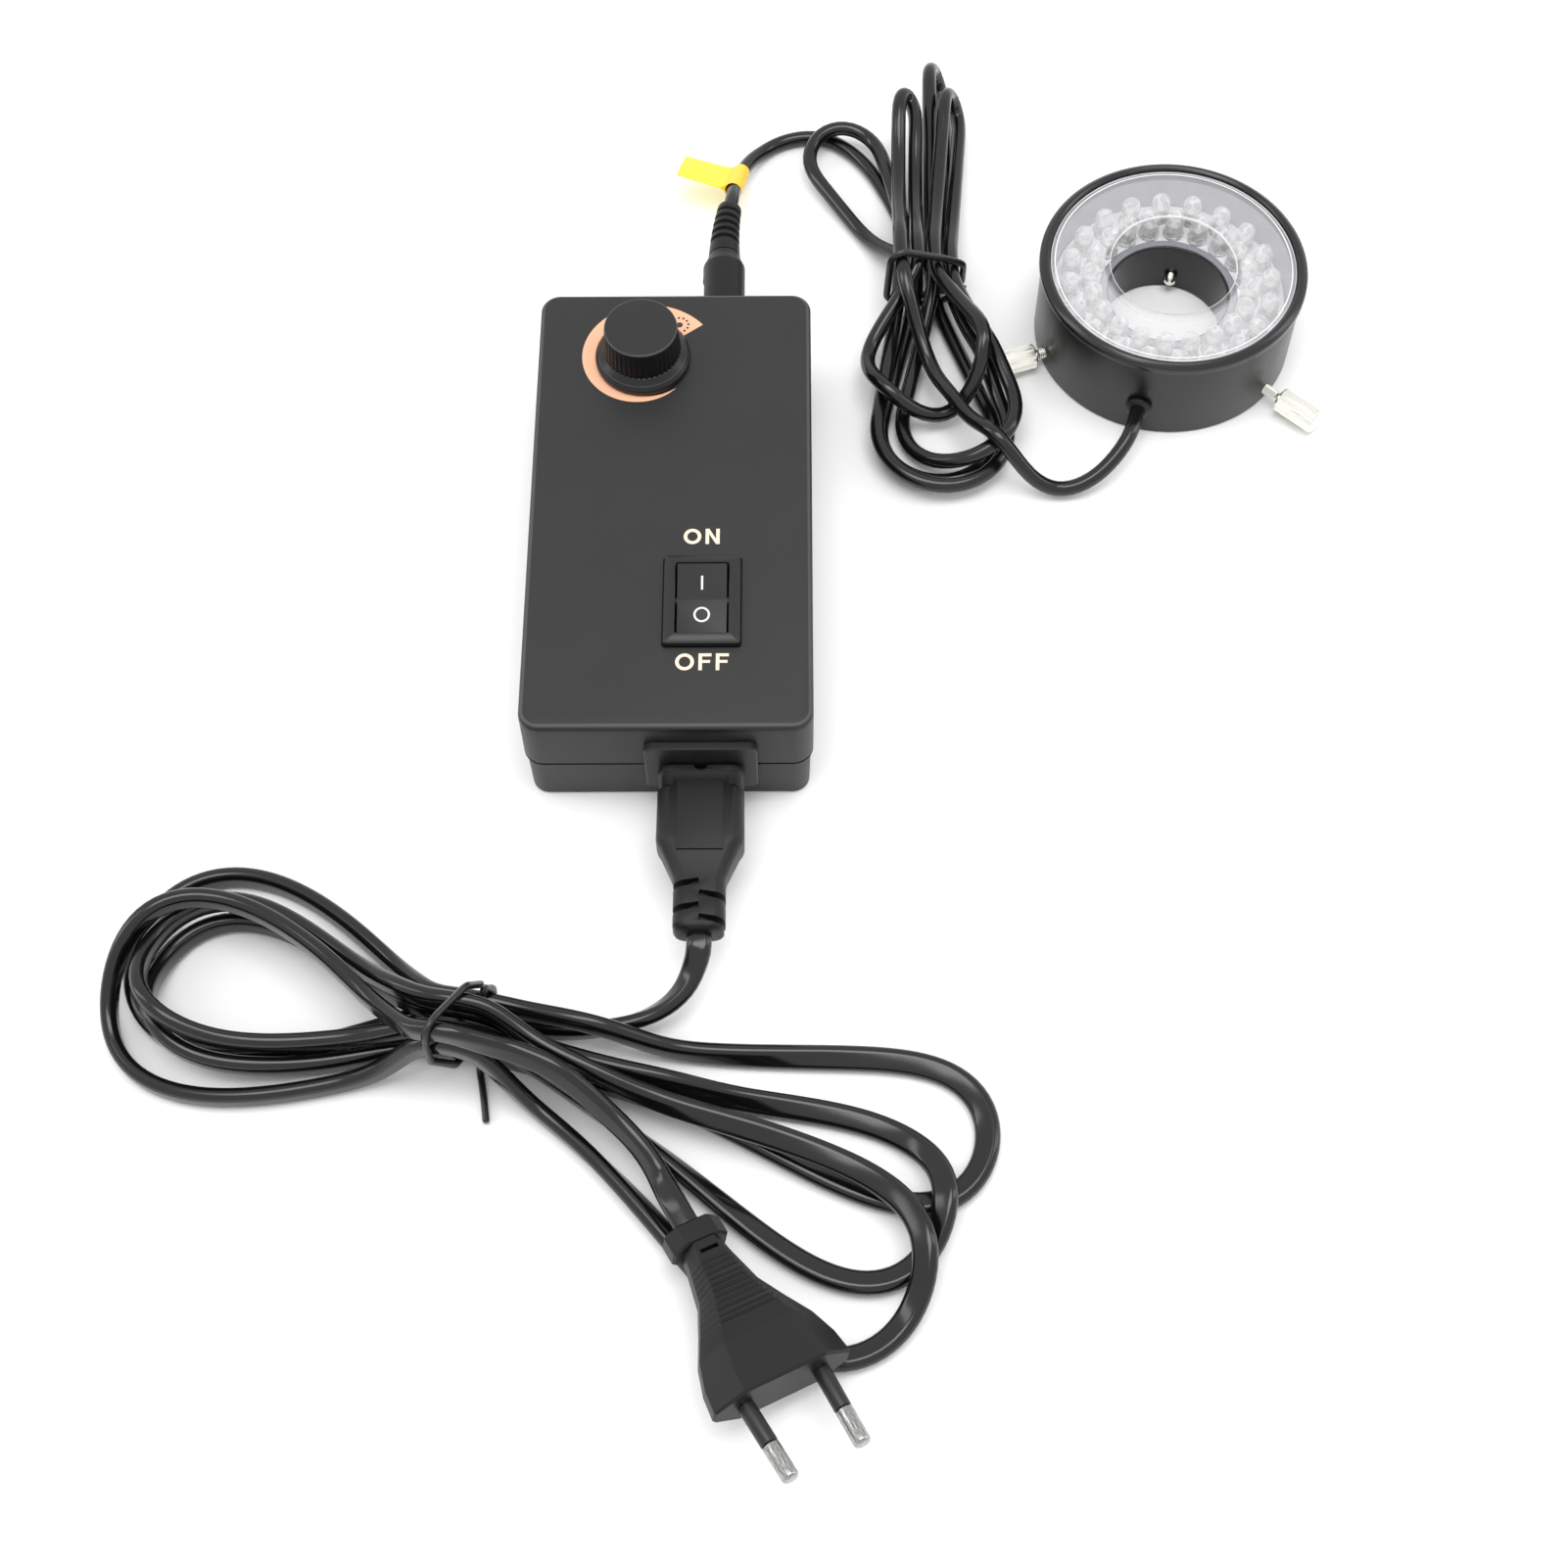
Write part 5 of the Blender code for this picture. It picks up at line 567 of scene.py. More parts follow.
ANODISED = TurnedMetal("black_anodising", Slot.ANODISED, (0.008, 0.008, 0.009), 0.2)
LINED = LinedMetal("lined_anodising", Slot.ANODISED, (0.006, 0.006, 0.007), 0.3)
STEEL = PlatedMetal("zinc_plate", Slot.STEEL, (0.62, 0.61, 0.59), 0.22)
NICKEL = PlatedMetal("nickel_plate", Slot.NICKEL, (0.88, 0.87, 0.8), 0.14)
PIN_NICKEL = PlatedMetal("pin_plate", Slot.NICKEL, (0.36, 0.355, 0.35), 0.15, streak=(9.0, 9.0, 1.0), contrast=0.45)
BRASS = PlatedMetal("contact_brass_plate", Slot.BRASS, (0.78, 0.58, 0.28), 0.24)
# The window gets white rings of painted highlight at the tube's rim and at its outer edge, and the lamps get a painted
# reflection where they turn away and painted glints.
ACRYLIC = ClearPlastic("window_acrylic", Slot.ACRYLIC, (0.84, 0.84, 0.86), 0.05, hides=0.18, edge=0.25, rim_hides=0.7,
    rims=((16.2 * MM, 16.9 * MM), (31.2 * MM, 31.5 * MM), (32.25 * MM, 33 * MM)))
EPOXY = ClearPlastic("lamp_epoxy", Slot.LAMP, (0.9, 0.91, 0.91), 0.06, hides=0.28, edge=0.36, glints=0.3)
LAMP_CUP = PlatedMetal("lamp_cup", Slot.LAMP, (0.85, 0.85, 0.84), 0.2)
PHOSPHOR = Ink("lamp_phosphor", Slot.LAMP, (0.92, 0.9, 0.78), 0.5)
WHITE_BOARD = Ink("white_board", Slot.LAMP, (0.9, 0.9, 0.91), 0.45)
PEACH_INK = Ink("peach_ink", Slot.CASE, (0.8, 0.44, 0.27), 0.5)
CREAM_INK = Ink("cream_ink", Slot.CASE, (0.88, 0.68, 0.53), 0.5)
WHITE_INK = Ink("white_ink", Slot.SWITCH, (0.72, 0.72, 0.7), 0.5)
DARK_INK = Ink("dark_ink", Slot.CASE, (0.03, 0.026, 0.024), 0.5)
TAG_FILM = TagFilm("yellow_film", Slot.LABEL, (1.0, 0.93, 0.04), 0.4)
LACQUER = BoardLacquer("green_lacquer", Slot.BOARD, (0.03, 0.18, 0.07), 0.35)
FERRITE = MouldedPlastic("ferrite", Slot.PARTS, (0.1, 0.1, 0.11), 0.6, depth=0.03 * MM)
TAPE = BandedSleeve("winding_tape", Slot.TAPE, (0.72, 0.56, 0.08), 0.4, band=(0.55, 0.42, 0.05), pitch=4 * MM)
SLEEVE = BandedSleeve("capacitor_sleeve", Slot.SLEEVE, (0.04, 0.06, 0.25), 0.3, pitch=30 * MM)
FUSE_GLASS = BandedSleeve("fuse_tube", Slot.GLASS, (0.7, 0.74, 0.74), 0.12, band=(0.5, 0.5, 0.5), pitch=20 * MM)


# Solids


def at(place: Sequence[float]) -> Matrix:
    """A frame moved to a place."""
    return Matrix.Translation(place)


def spun(turn: float, axis: str) -> Matrix:
    """A frame turned about one of its axes."""
    return Matrix.Rotation(turn, 4, axis)


def rounded(half_x: float, half_y: float, corner: float, steps: int = 8) -> list[Point]:
    """A rectangle with round corners.

    Args:
        half_x: half its width.
        half_y: half its height.
        corner: its corner radius.
        steps: segments in each corner.

    Returns:
        Its points, anticlockwise.
    """
    points = []
    for quarter, (side_x, side_y) in enumerate(((1, 1), (-1, 1), (-1, -1), (1, -1))):
        for step in range(steps + 1):
            turn = pi / 2 * (quarter + step / steps)
            points.append((side_x * (half_x - corner) + corner * cos(turn),
                side_y * (half_y - corner) + corner * sin(turn)))
    return points


def oval(half_x: float, half_y: float, sides: int, x: float = 0.0, y: float = 0.0) -> list[Point]:
    """Points of an oval about (x, y), anticlockwise."""
    turns = [2 * pi * step / sides for step in range(sides)]
    return [(x + half_x * cos(turn), y + half_y * sin(turn)) for turn in turns]


def circle(radius: float, sides: int, x: float = 0.0, y: float = 0.0) -> list[Point]:
    """Points of a circle about (x, y), anticlockwise."""
    return oval(radius, radius, sides, x, y)


def level(outline: Iterable[Point], height: float) -> list[Vector]:
    """An outline laid flat at a height."""
    return [Vector((x, y, height)) for x, y in outline]


def fluted(radius: float, height: float, flutes: int, depth: float, dip: Callable[[float], float]) -> list[Vector]:
    """A ring with flutes.

    Args:
        radius: its outer radius.
        height: where it lies.
        flutes: how many it has.
        depth: how deep they are.
        dip: the share of the depth for the cosine of a flute's turn.

    Returns:
        Its points, six a flute.
    """
    turns = [2 * pi * step / (flutes * 6) for step in range(flutes * 6)]
    reaches = [radius - depth * dip(cos(turn * flutes)) for turn in turns]
    return level([(reach * cos(turn), reach * sin(turn)) for reach, turn in zip(reaches, turns)], height)


def filleted(corners: Sequence[Place], steps: int = 5, closed: bool = True) -> list[Point]:
    """Rounds the corners of an outline.

    Args:
        corners: (x, y, radius) of each corner.
        steps: segments in each rounded corner.
        closed: whether the outline closes on itself; the ends of an open one stay sharp.

    Returns:
        The points of the rounded outline.
    """
    points: list[Point] = []
    count = len(corners)
    for index, (x, y, radius) in enumerate(corners):
        here = Vector((x, y))
        if radius <= 0.0 or (not closed and index in (0, count - 1)):
            points.append((x, y))
            continue
        back = Vector(corners[index - 1][:2]) - here
        ahead = Vector(corners[(index + 1) % count][:2]) - here
        half = back.angle(ahead) / 2
        run = min(radius / tan(half), back.length * 0.49, ahead.length * 0.49)
        centre_way = (back.normalized() + ahead.normalized()).normalized()
        bend = run * tan(half)
        centre = here + centre_way * (bend / sin(half))
        start = here + back.normalized() * run - centre
        finish = here + ahead.normalized() * run - centre
        sweep = start.angle_signed(finish)
        for step in range(steps + 1):
            turn = -sweep * step / steps
            points.append((centre.x + start.x * cos(turn) - start.y * sin(turn),
                centre.y + start.x * sin(turn) + start.y * cos(turn)))
    return points


def figure_eight(lobe: float, offset: float, sides: int) -> list[Point]:
    """Two equal circles that run into each other along X.

    Args:
        lobe: the circles' radius.
        offset: how far each lies from the middle.
        sides: segments round each lobe.

    Returns:
        The points round both.
    """
    open_angle = acos(min(1.0, offset / lobe))
    points = []
    for side in (0, 1):
        for step in range(side, sides + 1 - side):
            turn = pi * side - (pi - open_angle) * (1 - 2 * step / sides)
            points.append((offset * (1 - 2 * side) + lobe * cos(turn), lobe * sin(turn)))
    return points


@dataclass
class Solid:
    """Corners and faces of a closed shape, and what it does to a piece that it changes."""

    verts: list[Vector]
    faces: list[tuple[int, ...]]
    how: Cut = Cut.AWAY

    @classmethod
    def skin(cls, rings: Sequence[Sequence[Vector]], closed: bool = False) -> "Solid":
        """Joins rings of points.

        Args:
            rings: rings of equal length; one of a single point is a tip.
            closed: whether the last ring joins the first.

        Returns:
            The solid.
        """
        verts: list[Vector] = []
        starts, faces = [], []
        for ring in rings:
            starts.append(len(verts))
            verts.extend(Vector(point) for point in ring)
        pairs = list(zip(range(len(rings)), range(1, len(rings))))
        if closed:
            pairs.append((len(rings) - 1, 0))
        for low, high in pairs:
            count = max(len(rings[low]), len(rings[high]))
            for step in range(count):
                after = (step + 1) % count
                corners = []
                for ring, picks in ((low, (step, after)), (high, (after, step))):
                    one = len(rings[ring]) == 1
                    corners.extend([starts[ring]] if one else [starts[ring] + pick for pick in picks])
                faces.append(tuple(corners))
        if not closed:
            for index in (0, len(rings) - 1):
                if len(rings[index]) > 2:
                    faces.append(tuple(range(starts[index], starts[index] + len(rings[index]))))
        return cls(verts, faces)

    @classmethod
    def turned(cls, profile: Iterable[Point], sides: int, closed: bool = False) -> "Solid":
        """Revolves a profile of (radius, height) points about Z, with a bore where it is closed."""
        rings = [level(circle(radius, sides if radius else 1), height) for radius, height in profile]
        return cls.skin(rings, closed)

    @classmethod
    def prism(cls, outline: Sequence[Point], low: float, high: float) -> "Solid":
        """An outline extruded between two heights."""
        return cls.skin([level(outline, low), level(outline, high)])

    @classmethod
    def block(cls, low: Place, high: Place) -> "Solid":
        """A box between two corners."""
        return cls.prism([(low[0], low[1]), (high[0], low[1]), (high[0], high[1]), (low[0], high[1])], low[2], high[2])

    @classmethod
    def rod(cls, radius: float, low: float, high: float, sides: int = 32, x: float = 0.0, y: float = 0.0) -> "Solid":
        """A round bar along Z between two heights, about (x, y)."""
        return cls.prism(circle(radius, sides, x, y), low, high)

    @classmethod
    def merged(cls, solids: Iterable["Solid"]) -> "Solid":
        """Several solids as one.

        Args:
            solids: the solids.

        Returns:
            The one solid.
        """
        verts: list[Vector] = []
        faces: list[tuple[int, ...]] = []
        for solid in solids:
            base = len(verts)
            verts.extend(solid.verts)
            faces.extend(tuple(base + index for index in face) for face in solid.faces)
        return cls(verts, faces)

    def moved(self, frame: Matrix) -> "Solid":
        """The solid carried into another frame."""
        return Solid([frame @ vert for vert in self.verts], self.faces)

    def joining(self) -> "Solid":
        """The solid as one that is joined to a piece."""
        return Solid(self.verts, self.faces, Cut.JOINED)

    def shifted(self, x: float = 0.0, y: float = 0.0, z: float = 0.0) -> "Solid":
        """The solid moved along the axes."""
        return self.moved(at((x, y, z)))

    def mesh(self, name: str) -> bpy.types.Mesh:
        """The solid as a mesh with its faces pointing out.

        Args:
            name: its name.

        Returns:
            The mesh.
        """
        mesh = bpy.data.meshes.new(name)
        mesh.from_pydata([tuple(vert) for vert in self.verts], [], self.faces)
        shape = bmesh.new()
        shape.from_mesh(mesh)
        bmesh.ops.recalc_face_normals(shape, faces=shape.faces)
        shape.to_mesh(mesh)
        shape.free()
        return mesh


def placed(name: str, data: bpy.types.ID, frame: Matrix) -> bpy.types.Object:
    """An object set into the scene at a frame.

    Args:
        name: its name.
        data: its mesh, light or camera.
        frame: where it stands.

    Returns:
        The object.
    """
    made = bpy.data.objects.new(name, data)
    made.matrix_world = frame
    bpy.context.scene.collection.objects.link(made)
    return made


@dataclass
class Bench:
    """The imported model's nodes and the pieces made so far, by name."""

    nodes: Mapping[str, bpy.types.Object]
    pieces: dict[str, bpy.types.Object] = field(default_factory=dict)


def metres(size: float | Sequence[float]) -> float | Row:
    """A size, or each of a group of sizes, from millimetres."""
    return size * MM if isinstance(size, (int, float)) else tuple(one * MM for one in size)


@dataclass
class SubAssembly:
    """A group of pieces whose sizes are given in millimetres where they are marked as Mm."""

    bench: Bench
    finishes: ClassVar[Mapping[Finish, Sequence[str]]] = {}

    def __post_init__(self) -> None:
        """Carries the sizes in millimetres into metres."""
        for size in fields(self):
            if size.type.startswith("Mm"):
                setattr(self, size.name, metres(getattr(self, size.name)))

    def build(self) -> None:
        """Makes the group's meshes."""

    def dress(self) -> None:
        """Gives the group's pieces and carried-over nodes their finishes."""
        for finish, names in self.finishes.items():
            for name in names:
                made = self.bench.pieces.get(name) or self.bench.nodes[name]
                made.data.materials.clear()
                made.data.materials.append(finish.material())

    def add(self, name: str, solid: Solid, replaces: Sequence[str] = (), stand: Matrix = Matrix(),
            changes: Sequence[Solid] = (), soft_edge: float = 0.0, body: Body = Body.BOX) -> bpy.types.Object:
        """Makes one piece, lets it ride on a body and stand for CAD nodes.

        Args:
            name: its name.
            solid: its shape in its own frame.
            replaces: CAD nodes that it stands for.
            stand: its frame in the model.
            changes: solids joined to it or cut from it, in order.
            soft_edge: width of the rounding of its sharp edges.
            body: the body that it rides on.

        Returns:
            The piece.
        """
        made = placed(name, solid.mesh(name), stand)
        tools = [placed(f"{name}_tool", change.mesh("tool"), stand) for change in changes]
        for change, tool in zip(changes, tools):
            step = made.modifiers.new(tool.name, "BOOLEAN")
            step.operation, step.object = change.how.value, tool
        if soft_edge:
            step = made.modifiers.new("soft_edge", "BEVEL")
            step.width, step.segments = soft_edge, 3
            step.limit_method, step.angle_limit = "ANGLE", SHARP
        if changes or soft_edge:
            bpy.context.view_layer.update()
            made.data = bpy.data.meshes.new_from_object(made.evaluated_get(bpy.context.evaluated_depsgraph_get()))
            made.modifiers.clear()
        for tool in tools:
            bpy.data.objects.remove(tool, do_unlink=True)
        made.data.shade_smooth()
        made.data.set_sharp_from_angle(angle=SHARP)
        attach(made, body.value)
        if replaces:
            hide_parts(*replaces)
        self.bench.pieces[name] = made
        LOG.info("built %s", name)
        return made


# Control box


@dataclass
class ControlBox(SubAssembly):
    """The two shells of the box, its screws and its printing."""

    finishes = {CASE_ABS: ("lower_shell", "upper_shell"), PEACH_INK: ("brightness_wedge",), DARK_INK: ("lamp_sign",),
        CREAM_INK: ("word_on", "word_off"), STEEL: ("shell_screw_1", "shell_screw_2", "shell_screw_3", "shell_screw_4")}
    half_x: Mm = 35
    half_y: Mm = 65.5
    height: Mm = 33
    wall: Mm = 2.2
    corner: Mm = 5
    seam: Mm = 15
    seam_step: Mm = 0.6
    seam_groove: Mm = 0.4
    shadow_line: MmPoint = (15.6, 16.3)
    draft: Mm = 0.3
    top_edge: Mm = 1.5
    foot_edge: Mm = 0.6
    screw_inset: MmPoint = (6.5, 8.5)
    screw_head: Mm = 2.9
    screw_sink: Mm = 0.5
    screw_head_height: Mm = 1.7
    screw_shank: Mm = 1.15
    screw_length: Mm = 24
    screw_tip: Mm = 25.7
    screw_recess: MmPlace = (1.7, 0.4, 1.1)
    shaft_hole: MmPlace = (-8, 44, 3.8)
    switch_hole: MmSizes = (8.2, -30.2, 8.55, 11.55)
    switch_pocket: MmPoint = (9.65, 13.05)
    pocket_depth: Mm = 1.3
    inlet: MmPoint = (8.05, 15.4)
    inlet_half: MmPoint = (11.8, 7.5)
    jack: MmPlace = (11.8, 15, 4.3)
    edge_steps: int = 7
    ink: Mm = 0.03
    wedge_start: float = 36.5
    wedge_sweep: float = 276.0
    wedge_outer: MmPoint = (18.8, 12.7)
    wedge_inner: Mm = 10.8
    wedge_steps: int = 72
    sun: MmPoint = (9.1, 11.1)
    sun_disc: Mm = 0.85
    ray: Mm = 2.3
    ray_dot: Mm = 0.33
    rays: int = 7
    ray_start: float = -55.0
    ray_step: float = 30.0
    letter_stroke: Mm = 0.86
    word_on: MmSizes = (3.4, -13.3, 4.5, 1.05)
    word_off: MmSizes = (2, -49.6, 4.7, 1.05)

    def outline(self, inset: float, height: float) -> list[Vector]:
        """The box's plan at a height, drawn in by an inset."""
        corner = max(self.corner - inset, self.corner / 4)
        return level(rounded(self.half_x - inset, self.half_y - inset, corner, 10), height)

    def openings(self) -> Solid:
        """Cutters for the mains inlet and the lamp socket.

        Returns:
            The cutters as one solid.
        """
        reach = self.wall + self.seam_step + self.draft + 2 * MM
        inlet = Solid.prism(rounded(*self.inlet_half, 3 * MM), -self.half_y - 2 * MM, -self.half_y + reach)
        jack = Solid.rod(self.jack[2], self.half_y - reach, self.half_y + 2 * MM)
        return Solid.merged([inlet.moved(Axis.Y.value).shifted(x=self.inlet[0], z=self.inlet[1]),
            jack.moved(Axis.Y.value).shifted(x=self.jack[0], z=self.jack[1])])

    def screw_places(self) -> list[Point]:
        """Where the four case screws stand."""
        return [(side_x * (self.half_x - self.screw_inset[0]), side_y * (self.half_y - self.screw_inset[1]))
            for side_x in (-1, 1) for side_y in (-1, 1)]

    def build(self) -> None:
        """Makes the shells, the screws and the printing."""
        arcs = [(1 - cos(turn), 1 - sin(turn)) for turn in (pi / 2 * step / self.edge_steps
            for step in range(self.edge_steps + 1))]
        waist = self.seam_step + self.draft
        tub = [self.outline(waist + self.foot_edge * inward, self.foot_edge * upward) for inward, upward in arcs[::-1]]
        sunk = self.seam_step + 2.5 * self.seam_groove
        tub += [self.outline(self.seam_step, self.seam - self.seam_groove),
            self.outline(sunk, self.seam - self.seam_groove), self.outline(sunk, self.seam),
            self.outline(self.seam_step + self.wall, self.seam), self.outline(waist + self.wall, self.wall)]
        bores = []
        bosses = []
        for x, y in self.screw_places():
            bosses.append(Solid.rod(self.screw_head + 1.5 * MM, self.wall - 0.8 * MM, self.seam - GAP, 24, x, y))
            head = self.screw_head + GAP
            bore, rest = self.screw_shank + 0.6 * MM, self.screw_sink + 2 * MM
            steps = [(0.0, -MM), (head + 0.4 * MM, -MM), (head, 0.3 * MM), (head, rest), (bore, rest),
                (bore, self.seam + MM), (0.0, self.seam + MM)]
            bores.append(Solid.turned(steps, 24).shifted(x, y))
        self.add("lower_shell", Solid.skin(tub), ["case_bottom"],
            changes=[Solid.merged(bosses).joining(), Solid.merged(bores), self.openings()])
        ceiling = self.height - self.wall
        start = self.seam + GAP
        crown = [self.outline(self.top_edge * inward, self.height - self.top_edge * upward) for inward, upward in arcs]
        cap = [self.outline(self.wall, ceiling), self.outline(self.wall, start), self.outline(GAP, start),
            self.outline(0.0, start + GAP)]
        low, high = self.shadow_line
        cap += [self.outline(inset, line) for inset, line in ((0.0, low), (self.seam_groove, low),
            (self.seam_groove, high), (0.0, high))] + crown
        x, y, radius = self.shaft_hole
        shaft = Solid.rod(radius, ceiling - MM, self.height + MM, 32, x, y)
        x, y, half_x, half_y = self.switch_hole
        switch = Solid.prism(rounded(half_x, half_y, 0.6 * MM, 3), ceiling - MM, self.height + MM).shifted(x, y)
        half_x, half_y = self.switch_pocket
        pocket = Solid.prism(rounded(half_x, half_y, 0.8 * MM, 3), self.height - self.pocket_depth, self.height + MM)
        self.add("upper_shell", Solid.skin(cap), ["case_top"],
            changes=[Solid.merged([shaft, switch]), pocket.shifted(x, y), self.openings()])
        self._screws()
        self._print()

    def _screws(self) -> None:
        """Makes the four case screws with their cross recess."""
        profile = filleted([(0.0, 0.0, 0.0), (self.screw_head, 0.0, 0.4 * MM),
            (self.screw_head, self.screw_head_height, 0.15 * MM), (self.screw_shank, self.screw_head_height, 0.0),
            (self.screw_shank, self.screw_length, 0.0), (0.0, self.screw_tip, 0.0)], 4, False)
        arm, width, depth = self.screw_recess
        recess = [Solid.block((-x, -y, -MM), (x, y, depth)) for x, y in ((arm, width), (width, arm))]
        for number, (x, y) in enumerate(self.screw_places(), 1):
            self.add(f"shell_screw_{number}", Solid.turned(profile, 24), [f"case_screw_{number}"],
                at((x, y, self.screw_sink)), recess)

    def _print(self) -> None:
        """Prints the brightness wedge, its lamp sign and the two words."""
        top, high = self.height, self.height + 2 * self.ink
        x, y, _ = self.shaft_hole
        wide, slim = self.wedge_outer
        outer, inner = [], []
        for step in range(self.wedge_steps + 1):
            share = step / self.wedge_steps
            turn = radians(self.wedge_start + self.wedge_sweep * share)
            reach = wide + (slim - wide) * share
            outer.append((x + reach * cos(turn), y + reach * sin(turn)))
            near = self.wedge_inner + (slim - self.wedge_inner) * share ** 3 * 0.98
            inner.append((x + near * cos(turn), y + near * sin(turn)))
        self.add("brightness_wedge", Solid.prism(outer + inner[::-1], top - self.ink, top + self.ink))
        x, y = x + self.sun[0], y + self.sun[1]
        signs = [Solid.rod(self.sun_disc, top, high, 20, x, y)]
        for turn in (radians(self.ray_start + self.ray_step * ray) for ray in range(self.rays)):
            spot = (x + self.ray * cos(turn), y + self.ray * sin(turn))
            signs.append(Solid.rod(self.ray_dot, top, high, 12, *spot))
        self.add("lamp_sign", Solid.merged(signs))
        words = Lettering(self.letter_stroke, self.ink)
        for name, (left, foot, size, gap) in (("on", self.word_on), ("off", self.word_off)):
            solid = words.word(name.upper(), size, gap).shifted(left, foot, top)
            self.add(f"word_{name}", solid)


@dataclass
class Lettering:
    """Plain upright letters of even stroke."""

    stroke: float
    ink: float
    widths: Mapping[str, float] = field(default_factory=lambda: {"O": 0.96, "N": 0.77, "F": 0.66})

    def word(self, text: str, size: float, gap: float = 0.0) -> Solid:
        """A word from the origin along X.

        Args:
            text: its letters.
            size: the letters' height.
            gap: the space between them.

        Returns:
            The printed word.
        """
        run = 0.0
        made = []
        for letter in text:
            wide = self.widths[letter] * size
            made.append(self._letter(letter, wide, size).shifted(x=run))
            run += wide + gap
        return Solid.merged(made)

    def _letter(self, letter: str, wide: float, tall: float) -> Solid:
        """One letter.

        Args:
            letter: which.
            wide: its width.
            tall: its height.

        Returns:
            The printed letter.
        """
        bar, ink = self.stroke, self.ink
        if letter == "O":
            sizes = ((0.0, -ink), (bar, -ink), (bar, ink), (0.0, ink))
            return Solid.skin([level(oval(wide / 2 - bar + grow, tall / 2 - bar + grow, 40, wide / 2, tall / 2), height)
                for grow, height in sizes], True)
        if letter == "N":
            slant = bar * 1.25
            points = [(0.0, 0.0), (bar, 0.0), (bar, tall - slant * 1.35), (wide - bar * 1.05, 0.0), (wide, 0.0),
                (wide, tall), (wide - bar, tall), (wide - bar, slant * 1.35), (bar * 1.05, tall), (0.0, tall)]
        elif letter == "F":
            middle = tall * 0.44
            points = [(0.0, 0.0), (bar, 0.0), (bar, middle), (wide * 0.9, middle), (wide * 0.9, middle + bar * 0.9),
                (bar, middle + bar * 0.9), (bar, tall - bar * 0.95), (wide, tall - bar * 0.95), (wide, tall),
                (0.0, tall)]
        else:
            points = [(0.0, 0.0), (bar, 0.0), (bar, tall), (0.0, tall)]
        return Solid.prism(points, -ink, ink)


# What the box holds


@dataclass
class BoxInsides(SubAssembly):
    """The driver board and its parts, which keep their solids."""

    finishes = {LACQUER: ("driver_board",), TAPE: ("transformer_winding",), SLEEVE: ("filter_capacitor",),
        FERRITE: ("transformer_core", "drive_transistor", "pot_body", "dc_jack"), ANODISED: ("heat_sink",),
        FUSE_GLASS: ("fuse",), STEEL: ("pot_shaft", "pot_nut"),
        BRASS: ("switch_terminal_1", "switch_terminal_2", "inlet_pin_1", "inlet_pin_2")}


# Dimmer knob


@dataclass
class Dimmer(SubAssembly):
    """The fluted knob on its skirt."""

    finishes = {KNOB_ABS: ("knob",)}
    place: MmPlace = (-8, 44, 33.3)
    skirt: Mm = 12.1
    skirt_edge: Mm = 1.5
    shoulder: Mm = 10.4
    skirt_height: Mm = 3.4
    grip: Mm = 9.85
    grip_top: Mm = 9.25
    height: Mm = 12.4
    crown_edge: Mm = 0.45
    bore: Mm = 2.6
    bore_depth: Mm = 9.8
    hollow: Mm = 7.6
    flutes: int = 44
    flute_depth: Mm = 0.32

    def build(self) -> None:
        """Makes the knob."""
        outer = filleted([(self.hollow, 0.0, 0.0), (self.skirt, 0.0, 0.3 * MM),
            (self.skirt, self.skirt_edge, 0.45 * MM), (self.shoulder + 0.7 * MM, self.skirt_height - 0.6 * MM,
            0.8 * MM), (self.grip, self.skirt_height + 0.5 * MM, 0.5 * MM),
            (self.grip_top, self.height, self.crown_edge), (0.0, self.height + 0.05 * MM, 0.0)], 5, False)
        inner = [(0.0, self.bore_depth), (self.bore, self.bore_depth), (self.bore, self.skirt_height),
            (self.hollow, self.skirt_height)]
        low = self.skirt_height + 0.5 * MM
        high = self.height - self.crown_edge * 1.2
        rings = []
        for radius, height in inner + outer:
            depth = self.flute_depth if low <= height <= high and radius > self.grip_top - 0.1 * MM else 0.0
            ring = fluted(radius, height, self.flutes, depth, lambda wave: (0.5 - 0.5 * wave) ** 1.6)
            rings.append(ring if radius else ring[:1])
        self.add("knob", Solid.skin(rings), ["dimmer_knob"], at(self.place), body=Body.DIMMER)


# Rocker switch


